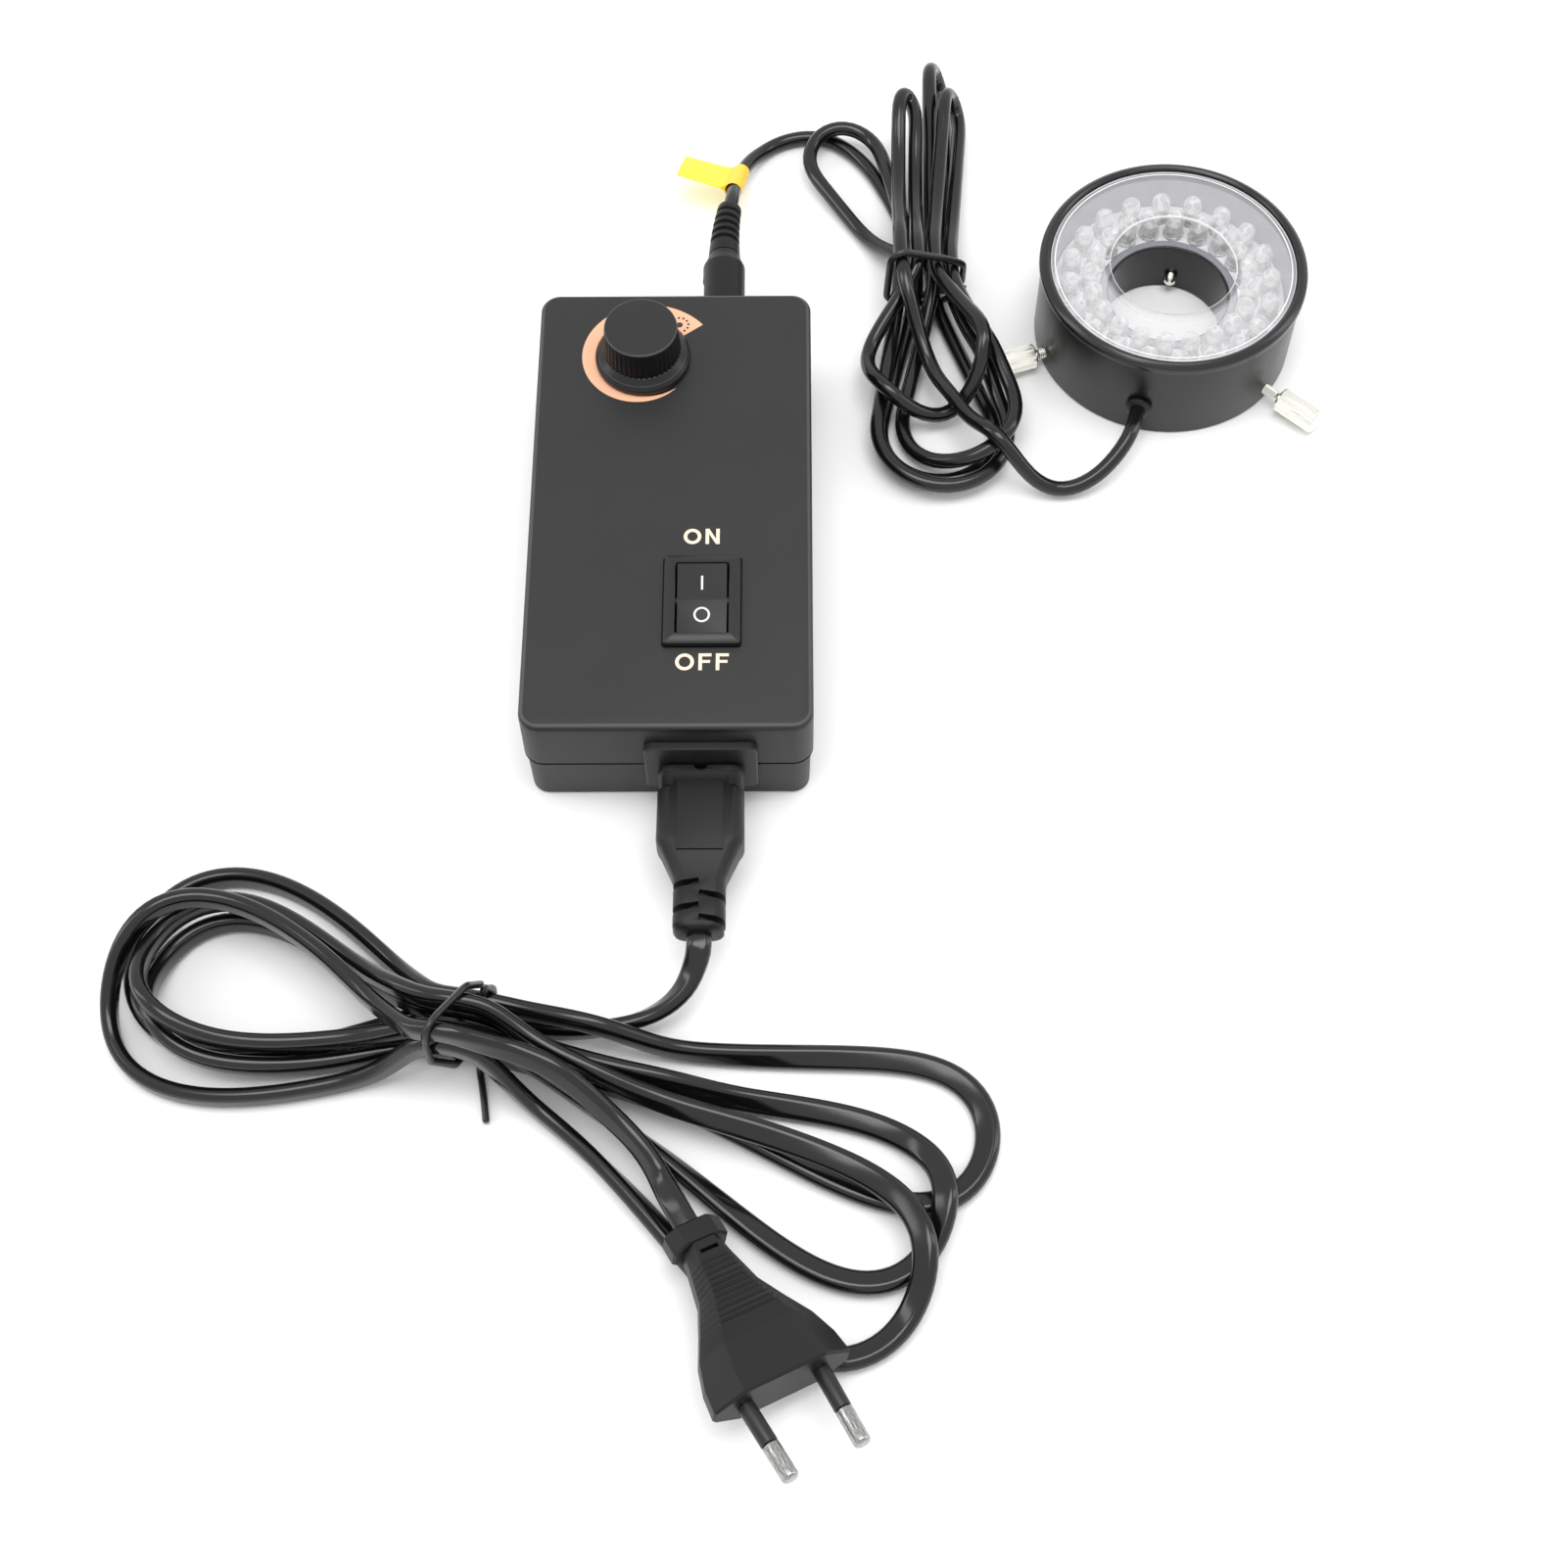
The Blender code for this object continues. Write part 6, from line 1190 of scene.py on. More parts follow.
@dataclass
class RockerSwitch(SubAssembly):
    """The rocker with its marks, in a mitred frame."""

    finishes = {SWITCH_NYLON: ("switch_bezel", "rocker_cap"), WHITE_INK: ("mark_on", "mark_off")}
    place: MmPlace = (8.2, -30.2, 33)
    frame_half: MmPoint = (9.25, 12.65)
    frame_height: Mm = 1.9
    frame_edge: Mm = 1.3
    sunk: Mm = 1.3
    rim: Mm = 0.5
    housing_half: MmPoint = (8.25, 11.28)
    opening_half: MmPoint = (6.5, 10.07)
    depth: Mm = 16
    rocker_half_x: Mm = 6
    rocker_half_y: Mm = 9.35
    rise: Mm = 2.1
    drop: Mm = 4.2
    body: Mm = 1.5
    tilt: float = radians(6.0)
    pivot: Mm = 1.2
    mark_size: Mm = 3.6
    mark_round: float = 0.92
    mark_stroke: Mm = 0.5
    ink: Mm = 0.03

    def build(self) -> None:
        """Makes the frame, the rocker and its marks."""
        base, top = GAP, GAP + self.frame_height
        out_x, out_y = self.frame_half
        in_x, in_y = self.opening_half
        rim = self.rim
        seat = base - self.sunk
        rows = [(*self.housing_half, base - self.depth, 0.5 * MM), (*self.housing_half, seat, 0.5 * MM),
            (out_x, out_y, seat, 0.7 * MM), (out_x, out_y, base + self.frame_edge - 0.2 * MM, 0.7 * MM),
            (out_x - 0.2 * MM, out_y - 0.2 * MM, base + self.frame_edge, 0.6 * MM),
            (in_x + rim, in_y + rim, top, 0.4 * MM), (in_x + 0.15 * MM, in_y + 0.15 * MM, top, 0.3 * MM),
            (in_x, in_y, top - 0.15 * MM, 0.3 * MM), (in_x, in_y, base + 2 * MM - self.depth, 0.3 * MM)]
        rings = [level(rounded(half_x, half_y, corner, 3), height) for half_x, half_y, height, corner in rows]
        sockets = Solid.rod(self.pivot + GAP, -self.rocker_half_x - 1.3 * MM, self.rocker_half_x + 1.3 * MM, 16)
        here = at(self.place)
        self.add("switch_bezel", Solid.skin(rings), ["switch_frame"], here, [sockets.moved(Axis.X.value)])
        swing = hypot(self.rocker_half_y, self.rise)
        dip = self.rise - self.rocker_half_y * tan(self.tilt)
        high, low = asin(self.rise / swing), -asin(self.drop / swing)
        ends = [low + (high - low) * step / 10 for step in range(11)]
        arc = [(swing * cos(turn), swing * sin(turn)) for turn in ends]
        profile = [(0.0, -self.drop - self.body)] + arc + [(0.0, dip)] + [(-x, y) for x, y in arc[::-1]]
        side = Solid.prism(profile, -self.rocker_half_x, self.rocker_half_x).moved(Axis.X.value)
        pins = Solid.rod(self.pivot, -self.rocker_half_x - 0.8 * MM, self.rocker_half_x + 0.8 * MM, 16)
        leaned = here @ spun(self.tilt, "X")
        self.add("rocker_cap", side, ["switch_rocker"], leaned, [pins.moved(Axis.X.value).joining()], 0.22 * MM,
            Body.ROCKER)
        marks = Lettering(self.mark_stroke, self.ink, {"O": self.mark_round, "I": 0.0})
        for name, sign, side_y, size, share in (("mark_on", "I", 1, self.mark_size, 0.47),
                ("mark_off", "O", -1, self.mark_size * 1.2, 0.45)):
            wide = size * marks.widths[sign] or self.mark_stroke
            solid = marks.word(sign, size).shifted(-wide / 2, -size / 2)
            reach = self.rocker_half_y * share
            middle = (0.0, side_y * reach, dip + reach * tan(self.tilt))
            stand = leaned @ at(middle) @ spun(side_y * self.tilt, "X")
            self.add(name, solid, stand=stand, body=Body.ROCKER)


# Mains inlet and connector


@dataclass
class MainsInlet(SubAssembly):
    """The two-pin inlet in the box's near wall."""

    finishes = {INLET_NYLON: ("inlet",)}
    x: Mm = 8.05
    z: Mm = 15.4
    wall_y: Mm = -65.8
    flange_half: MmPoint = (13.55, 9.2)
    flange: Mm = 2
    flange_rise: Mm = 2.3
    body_half: MmPoint = (11.5, 7.2)
    depth: Mm = 15.8
    back: Mm = 4
    lobe: Mm = 4.65
    lobe_offset: Mm = 4.3
    pin: Mm = 1.5

    def build(self) -> None:
        """Makes the flange and the body with its recess."""
        front, rear = self.wall_y - self.flange, self.wall_y + self.depth
        edge = 0.35 * MM
        rows = [(*[half - edge for half in self.flange_half], front), (*self.flange_half, front + edge),
            (*self.flange_half, self.wall_y), (*self.body_half, self.wall_y), (*self.body_half, rear)]
        rings = []
        for number, (half_x, half_y, place) in enumerate(rows):
            lift = self.flange_rise if number < 3 else 0.0
            rings.append(level([(x, y + lift) for x, y in rounded(half_x, half_y, 2 * MM)], place))
        recess = Solid.prism(figure_eight(self.lobe, self.lobe_offset, 28), front - MM, rear - self.back)
        holes = [Solid.rod(self.pin, front, rear + MM, 20, side * self.lobe_offset) for side in (-1, 1)]
        self.add("inlet", Solid.skin(rings), ["inlet_socket"], at((self.x, 0.0, self.z)) @ Axis.Y.value,
            [recess, Solid.merged(holes)])


@dataclass
class MainsConnector(SubAssembly):
    """The moulded connector with its raised panel and slotted relief."""

    finishes = {MOULDED_VINYL: ("connector",)}
    x: Mm = 8.05
    z: Mm = 15.4
    face_y: Mm = -68.5
    half_width: Mm = 10.35
    half_thickness: Mm = 6
    waist: Mm = 0.9
    waist_start: Mm = 2
    waist_end: Mm = 5.3
    shoulder: Mm = 20.2
    neck: Mm = 29
    neck_half: MmPoint = (6.15, 4.75)
    end: Mm = 42.5
    nose: Mm = 11.5
    lobe: Mm = 4.35
    lobe_offset: Mm = 4.3
    pin: Mm = 1.5
    panel_half: Mm = 5.5
    panel_run: MmPoint = (4.2, 22.9)
    panel_rise: Mm = 0.2
    notch: Mm = 1.8
    slot_width: Mm = 1.55
    slot_pitch: Mm = 3.1
    slot_wall: Mm = 1.9
    slot_lean: float = radians(9.0)

    def build(self) -> None:
        """Makes the connector's body and its cuts."""
        wide, thick, slim = self.half_width, self.half_thickness, self.waist
        neck_x, neck_z = self.neck_half
        rows = [(0.0, wide - 0.4 * MM, thick - 0.4 * MM, 3 * MM), (0.4 * MM, wide, thick, 3.2 * MM),
            (self.waist_start - 0.4 * MM, wide, thick, 3.2 * MM),
            (self.waist_start, wide - slim, thick - slim / 2, 3 * MM),
            (self.waist_end, wide - slim, thick - slim / 2, 3 * MM), (self.waist_end + 0.9 * MM, wide, thick, 3.2 * MM),
            (self.shoulder - 1.2 * MM, wide + 0.1 * MM, thick, 3.2 * MM),
            (self.shoulder, wide - 0.25 * MM, thick - 0.1 * MM, 3.2 * MM),
            (self.shoulder + 1.2 * MM, wide - 1 * MM, thick - 0.3 * MM, 3.2 * MM),
            (self.neck - 0.8 * MM, neck_x + 0.35 * MM, neck_z + 0.1 * MM, 3 * MM),
            (self.neck + 0.6 * MM, neck_x, neck_z, 3 * MM), (self.end - 1.4 * MM, neck_x, neck_z, 3 * MM),
            (self.end - 0.5 * MM, neck_x - 0.5 * MM, neck_z - 0.4 * MM, 2.9 * MM),
            (self.end, neck_x - 1.6 * MM, neck_z - 1.2 * MM, 2.6 * MM)]
        body = Solid.skin([level(rounded(half_x, half_z, corner, 7), self.face_y - run) for run, half_x, half_z,
            corner in rows])
        nose = Solid.prism(figure_eight(self.lobe, self.lobe_offset, 24), self.face_y - MM, self.face_y + self.nose)
        holes = [Solid.rod(self.pin, self.face_y + MM, self.face_y + self.nose + MM, 20, side * self.lobe_offset)
            for side in (-1, 1)]
        low, high = self.panel_run
        panel = Solid.block((-self.panel_half, thick - MM, self.face_y - high),
            (self.panel_half, thick + self.panel_rise, self.face_y - low))
        notch = Solid.rod(self.notch, -MM, 4 * MM, 24).moved(spun(-pi / 2, "X"))
        notch = notch.shifted(y=thick - 1.4 * MM, z=self.face_y)
        slots = [self._slot(number) for number in range(4)]
        self.add("connector", body, ["mains_connector"], at((self.x, 0.0, self.z)) @ Axis.Y.value,
            [nose.joining(), Solid.merged(holes), panel.joining(), notch, Solid.merged(slots)], 0.18 * MM)

    def _slot(self, number: int) -> Solid:
        """A cutter for one slot of the relief, open on one side.

        Args:
            number: which slot, from the neck backwards.

        Returns:
            The cutter.
        """
        side = -1 if number % 2 else 1
        half_x, half_z = self.neck_half
        core_x, core_z = half_x - self.slot_wall * 1.3, half_z - self.slot_wall
        reach = half_x + 2 * MM
        inner = [(side * core_x * cos(turn), core_z * sin(turn))
            for turn in (pi / 2 * (1 - 2 * step / 10) for step in range(11))]
        outline = [(0.0, -reach), (side * reach, -reach), (side * reach, reach), (0.0, reach)] + inner
        cutter = Solid.prism(outline, -self.slot_width / 2, self.slot_width / 2)
        lean = spun(side * self.slot_lean, "Y")
        run = self.neck + self.slot_pitch * (number + 0.5)
        return cutter.moved(at((0.0, 0.0, self.face_y - run)) @ lean)


# Lamp plug


@dataclass
class LampPlug(SubAssembly):
    """The barrel plug in the far wall, with its grooved boot and the socket's nut."""

    finishes = {MOULDED_VINYL: ("lamp_plug", "lamp_plug_boot"), NICKEL: ("socket_nut",)}
    x: Mm = 11.8
    z: Mm = 15
    back_y: Mm = 69
    barrel: Mm = 2.75
    barrel_length: Mm = 8.5
    collar: Mm = 5.65
    collar_length: Mm = 21.5
    tail: Mm = 2.5
    boot_start: Mm = 4.25
    boot_end: Mm = 3.3
    boot_length: Mm = 18.5
    grooves: int = 5
    groove_depth: Mm = 0.95
    cuff_share: float = 0.2
    sway: Mm = 1.3
    sag: Mm = 1.5
    nut_flats: Mm = 11
    nut: MmPoint = (65.8, 2)
    nut_bore: Mm = 4.3

    def boot_centre(self, share: float) -> Vector:
        """Middle of the boot at a share of its length."""
        start = self.back_y + self.collar_length + self.tail + GAP
        return Vector((self.x + self.sway * share ** 2, start + self.boot_length * share,
            self.z - self.sag * share ** 2))

    def boot_way(self, share: float) -> Vector:
        """Direction of the boot at a share of its length."""
        return Vector((2 * self.sway * share, self.boot_length, -2 * self.sag * share)).normalized()

    def build(self) -> None:
        """Makes the plug, the boot and the nut."""
        back, end = self.back_y, self.back_y + self.collar_length
        collar, start = self.collar, self.boot_start
        profile = filleted([(0.0, back - self.barrel_length, 0.0), (self.barrel, back - self.barrel_length, 0.3 * MM),
            (self.barrel, back, 0.0), (collar - 0.6 * MM, back, 0.4 * MM),
            (collar - 0.5 * MM, back + 2.6 * MM, 0.3 * MM), (collar, back + 3.2 * MM, 0.4 * MM),
            (collar, end - 1.5 * MM, 1 * MM), (start + 0.35 * MM, end + 1 * MM, 0.6 * MM),
            (start, end + self.tail, 0.0), (0.0, end + self.tail, 0.0)], 5, False)
        here = at((self.x, 0.0, self.z)) @ Axis.Y.value
        flat = Solid.block((collar - 0.35 * MM, -3 * MM, back + 5 * MM), (collar + 2 * MM, 3 * MM, end - 6 * MM))
        self.add("lamp_plug", Solid.turned(profile, 48), ["dc_plug"], here, [flat])
        self.add("lamp_plug_boot", self._boot(), ["dc_plug_boot"])
        nut = Solid.prism(circle(self.nut_flats / sqrt(3), 6), self.nut[0], sum(self.nut))
        hole = Solid.rod(self.nut_bore, self.nut[0] - MM, sum(self.nut) + MM)
        self.add("socket_nut", nut, ["dc_jack_nut"], here, [hole], 0.2 * MM)

    def _boot(self) -> Solid:
        """The boot as rings along its bent middle line.

        Returns:
            The boot.
        """
        steps = 96
        rings = []
        for step in range(steps + 1):
            share = step / steps
            radius = self.boot_start + (self.boot_end - self.boot_start) * share
            ridge = (share - self.cuff_share) / (1 - self.cuff_share) * (self.grooves + 0.45)
            if 0.0 < ridge < self.grooves:
                dip = 0.5 + 0.5 * cos(2 * pi * (ridge - 0.28))
                radius -= self.groove_depth * min(1.0, max(0.0, dip * 2.4 - 1.1))
            if share > 0.97:
                radius -= self.boot_end * 0.12 * (share - 0.97) / 0.03
            stand = self.boot_way(share).to_track_quat("Z", "Y").to_matrix().to_4x4()
            frame = at(self.boot_centre(share)) @ stand
            rings.append([frame @ point for point in level(circle(radius, 36), 0.0)])
        return Solid.skin(rings)


# Ring head


@dataclass
class RingHead(SubAssembly):
    """The lamp head: housing, bezel, window, lamps and grommet."""

    finishes = {LINED: ("head_housing",), ANODISED: ("head_bezel",), ACRYLIC: ("head_window",),
        WHITE_BOARD: ("lamp_board",), EPOXY: ("lamp_bodies",), LAMP_CUP: ("lamp_cups",), PHOSPHOR: ("lamp_phosphors",),
        MOULDED_VINYL: ("head_grommet",)}
    x: Mm = 131.35
    y: Mm = 79.55
    radius: Mm = 34.7
    height: Mm = 25.1
    bore: Mm = 16
    rim: Mm = 31.4
    ledge: Mm = 29.8
    ledge_height: Mm = 13.7
    floor: Mm = 8
    hub: Mm = 18.4
    hub_height: Mm = 15.6
    chamber: Mm = 20
    bezel: MmPoint = (32.8, 35.5)
    bezel_height: Mm = 3
    window: Mm = 2
    window_bore: Mm = 16.6
    tube_wall: Mm = 1.2
    board: MmPoint = (14, 15.3)
    lamp: Mm = 2.5
    lamp_height: Mm = 8.6
    lamp_rim: Mm = 2.8
    lamp_count: int = 20
    lamp_circles: MmPoint = (27, 21.3)
    lamp_start: float = radians(1.0)
    screw_angles: Place = (78.0, 198.0, 318.0)
    screw_height: Mm = 4
    screw_hole: Mm = 1.8
    cable_angle: float = radians(254.0)
    cable_height: Mm = 10.2
    cable_hole: Mm = 2.8
    sides: int = 128

    def stand(self, height: float = 0.0) -> Matrix:
        """The head's frame at a height."""
        return at((self.x, self.y, height))

    def build(self) -> None:
        """Makes the head's pieces."""
        edge, shelf = 0.35 * MM, self.ledge_height
        profile = filleted([(self.bore, 0.0, edge), (self.radius, 0.0, 0.5 * MM), (self.radius, self.height, 0.2 * MM),
            (self.rim, self.height, 0.1 * MM), (self.rim, shelf, 0.0), (self.ledge, shelf, 0.0),
            (self.ledge, self.floor, 0.5 * MM), (self.chamber, self.floor, 0.5 * MM), (self.chamber, shelf, 0.0),
            (self.hub, shelf, 0.0), (self.hub, self.hub_height, 0.1 * MM), (self.bore, self.hub_height, edge)], 4)
        holes = []
        for angle in self.screw_angles:
            hole = Solid.rod(self.screw_hole, self.bore - MM, self.radius + MM, 24).moved(Axis.X.value)
            holes.append(hole.moved(spun(radians(angle), "Z")).shifted(z=self.screw_height))
        cable = Solid.rod(self.cable_hole, self.ledge - MM, self.radius + MM, 24).moved(Axis.X.value)
        holes.append(cable.moved(spun(self.cable_angle, "Z")).shifted(z=self.cable_height))
        self.add("head_housing", Solid.turned(profile, self.sides, True), ["ring_housing"], self.stand(),
            [Solid.merged(holes)])
        self._cover()
        self._lamps()
        self._grommet()

    def _cover(self) -> None:
        """Makes the bezel and the clear window with its inner tube."""
        low = self.height + GAP
        top = low + self.bezel_height
        seat = low + self.window
        inner, outer = self.bezel
        bezel = filleted([(inner, low, 0.0), (outer, low, 0.25 * MM), (outer, top - 1.1 * MM, 1.2 * MM),
            (inner + 1 * MM, top, 0.9 * MM), (inner, seat + 0.3 * MM, 0.3 * MM)], 7)
        self.add("head_bezel", Solid.turned(bezel, self.sides, True), ["ring_bezel"], self.stand())
        tube, edge = self.window_bore + self.tube_wall, inner - GAP
        window = filleted([(self.window_bore, self.hub_height + GAP, 0.1 * MM), (tube, self.hub_height + GAP, 0.1 * MM),
            (tube, low, 0.6 * MM), (edge, low, 0.2 * MM), (edge, seat, 0.3 * MM), (self.window_bore, seat, 0.5 * MM)],
            5)
        self.add("head_window", Solid.turned(window, self.sides, True), ["ring_window"], self.stand())

    def _lamps(self) -> None:
        """Makes the board and the lamps with their cups."""
        low, top = self.board
        disc = [(self.hub + GAP, low), (self.rim - GAP, low), (self.rim - GAP, top), (self.hub + GAP, top)]
        self.add("lamp_board", Solid.turned(disc, self.sides, True), ["led_board"], self.stand())
        dome = top + self.lamp_height - self.lamp
        shape = [(0.0, top), (self.lamp_rim, top), (self.lamp_rim, top + 0.9 * MM), (self.lamp, top + 1 * MM)]
        shape += [(self.lamp * cos(turn), dome + self.lamp * sin(turn))
            for turn in (pi / 2 * step / 8 for step in range(8))] + [(0.0, top + self.lamp_height)]
        cup_top = top + 3.6 * MM
        cup = [(0.0, cup_top - 1.2 * MM), (0.5 * MM, cup_top - 1.2 * MM), (1.25 * MM, cup_top), (1.45 * MM, cup_top),
            (0.8 * MM, cup_top - 1.8 * MM), (0.0, cup_top - 1.8 * MM)]
        dot = [(0.0, cup_top - 1.1 * MM), (0.48 * MM, cup_top - 1.1 * MM), (1 * MM, cup_top - 0.35 * MM),
            (0.0, cup_top - 0.25 * MM)]
        for name, form, sides in (("lamp_bodies", shape, 20), ("lamp_cups", cup, 14), ("lamp_phosphors", dot, 12)):
            one = Solid.turned(form, sides)
            self.add(name, Solid.merged(one.shifted(*spot) for spot in self._spots()), stand=self.stand())

    def _spots(self) -> list[Point]:
        """Where the lamps stand, in two circles.

        Returns:
            Each lamp's middle.
        """
        spots = []
        for reach, offset in zip(self.lamp_circles, (0.0, pi / self.lamp_count)):
            for number in range(self.lamp_count):
                turn = self.lamp_start + offset + 2 * pi * number / self.lamp_count
                spots.append((reach * cos(turn), reach * sin(turn)))
        return spots

    def _grommet(self) -> None:
        """Makes the cable's rubber grommet."""
        neck, flange, seat = 2.5 * MM, 3.5 * MM, self.radius + GAP
        profile = filleted([(0.0, self.ledge - 0.6 * MM, 0.0), (neck, self.ledge - 0.6 * MM, 0.0), (neck, seat, 0.0),
            (flange, seat, 0.3 * MM), (flange, seat + 0.9 * MM, 0.4 * MM), (neck, seat + 1.6 * MM, 0.3 * MM),
            (0.0, seat + 1.6 * MM, 0.0)], 4, False)
        stand = self.stand(self.cable_height) @ spun(self.cable_angle, "Z") @ Axis.X.value
        self.add("head_grommet", Solid.turned(profile, 32), ["cable_grommet"], stand)


@dataclass
class ClampScrews(SubAssembly):
    """The three thumbscrews that clamp the head."""

    finishes = {NICKEL: ("clamp_screw_1", "clamp_screw_2", "clamp_screw_3")}
    heads: MmPlace = (38, 37.3, 39.6)
    height: Mm = 4
    shank: Mm = 1.5
    shank_length: Mm = 24.5
    head: Mm = 3.5
    head_length: Mm = 12.1
    chamfer: Mm = 0.6
    flutes: int = 10
    flute_depth: Mm = 0.35
    thread_pitch: Mm = 0.5
    thread_depth: Mm = 0.14

    def build(self) -> None:
        """Makes the three screws."""
        rings = [level([(0.0, 0.0)], -self.shank_length), self._ring(self.shank * 0.55, -self.shank_length)]
        turns = int((self.shank_length - 1.2 * MM) / self.thread_pitch)
        for turn in range(turns):
            start = -self.shank_length + 0.6 * MM + turn * self.thread_pitch
            rings.append(self._ring(self.shank, start))
            rings.append(self._ring(self.shank - self.thread_depth, start + self.thread_pitch / 2))
        rings.append(self._ring(self.shank, -0.1 * MM))
        grip, end = self.head, self.head_length
        for radius, height, depth in ((self.shank, 0.0, 0.0), (grip - self.chamfer * 1.6, 0.0, 0.0),
                (grip - self.chamfer, 0.15 * MM, 0.0), (grip, self.chamfer, 1.0), (grip, end - self.chamfer, 1.0),
                (grip - 0.25 * MM, end - 0.25 * MM, 0.5), (grip - self.chamfer, end, 0.0)):
            rings.append(self._ring(radius, height, depth * self.flute_depth))
        rings.append(level([(0.0, 0.0)], end))
        solid = Solid.skin(rings)
        head = RingHead(self.bench)
        bodies = (Body.SCREW_1, Body.SCREW_2, Body.SCREW_3)
        for number, (angle, reach, body) in enumerate(zip(head.screw_angles, self.heads, bodies), 1):
            turn = radians(angle)
            spot = (head.x + reach * cos(turn), head.y + reach * sin(turn), self.height)
            stand = at(spot) @ spun(turn, "Z") @ Axis.X.value
            self.add(f"clamp_screw_{number}", solid, [f"thumbscrew_{number}"], stand, body=body)

    def _ring(self, radius: float, height: float, depth: float = 0.0) -> list[Vector]:
        """One ring of a screw, with flutes of a depth."""
        return fluted(radius, height, self.flutes, depth, lambda wave: max(0.0, wave) ** 0.7)


# Mains plug


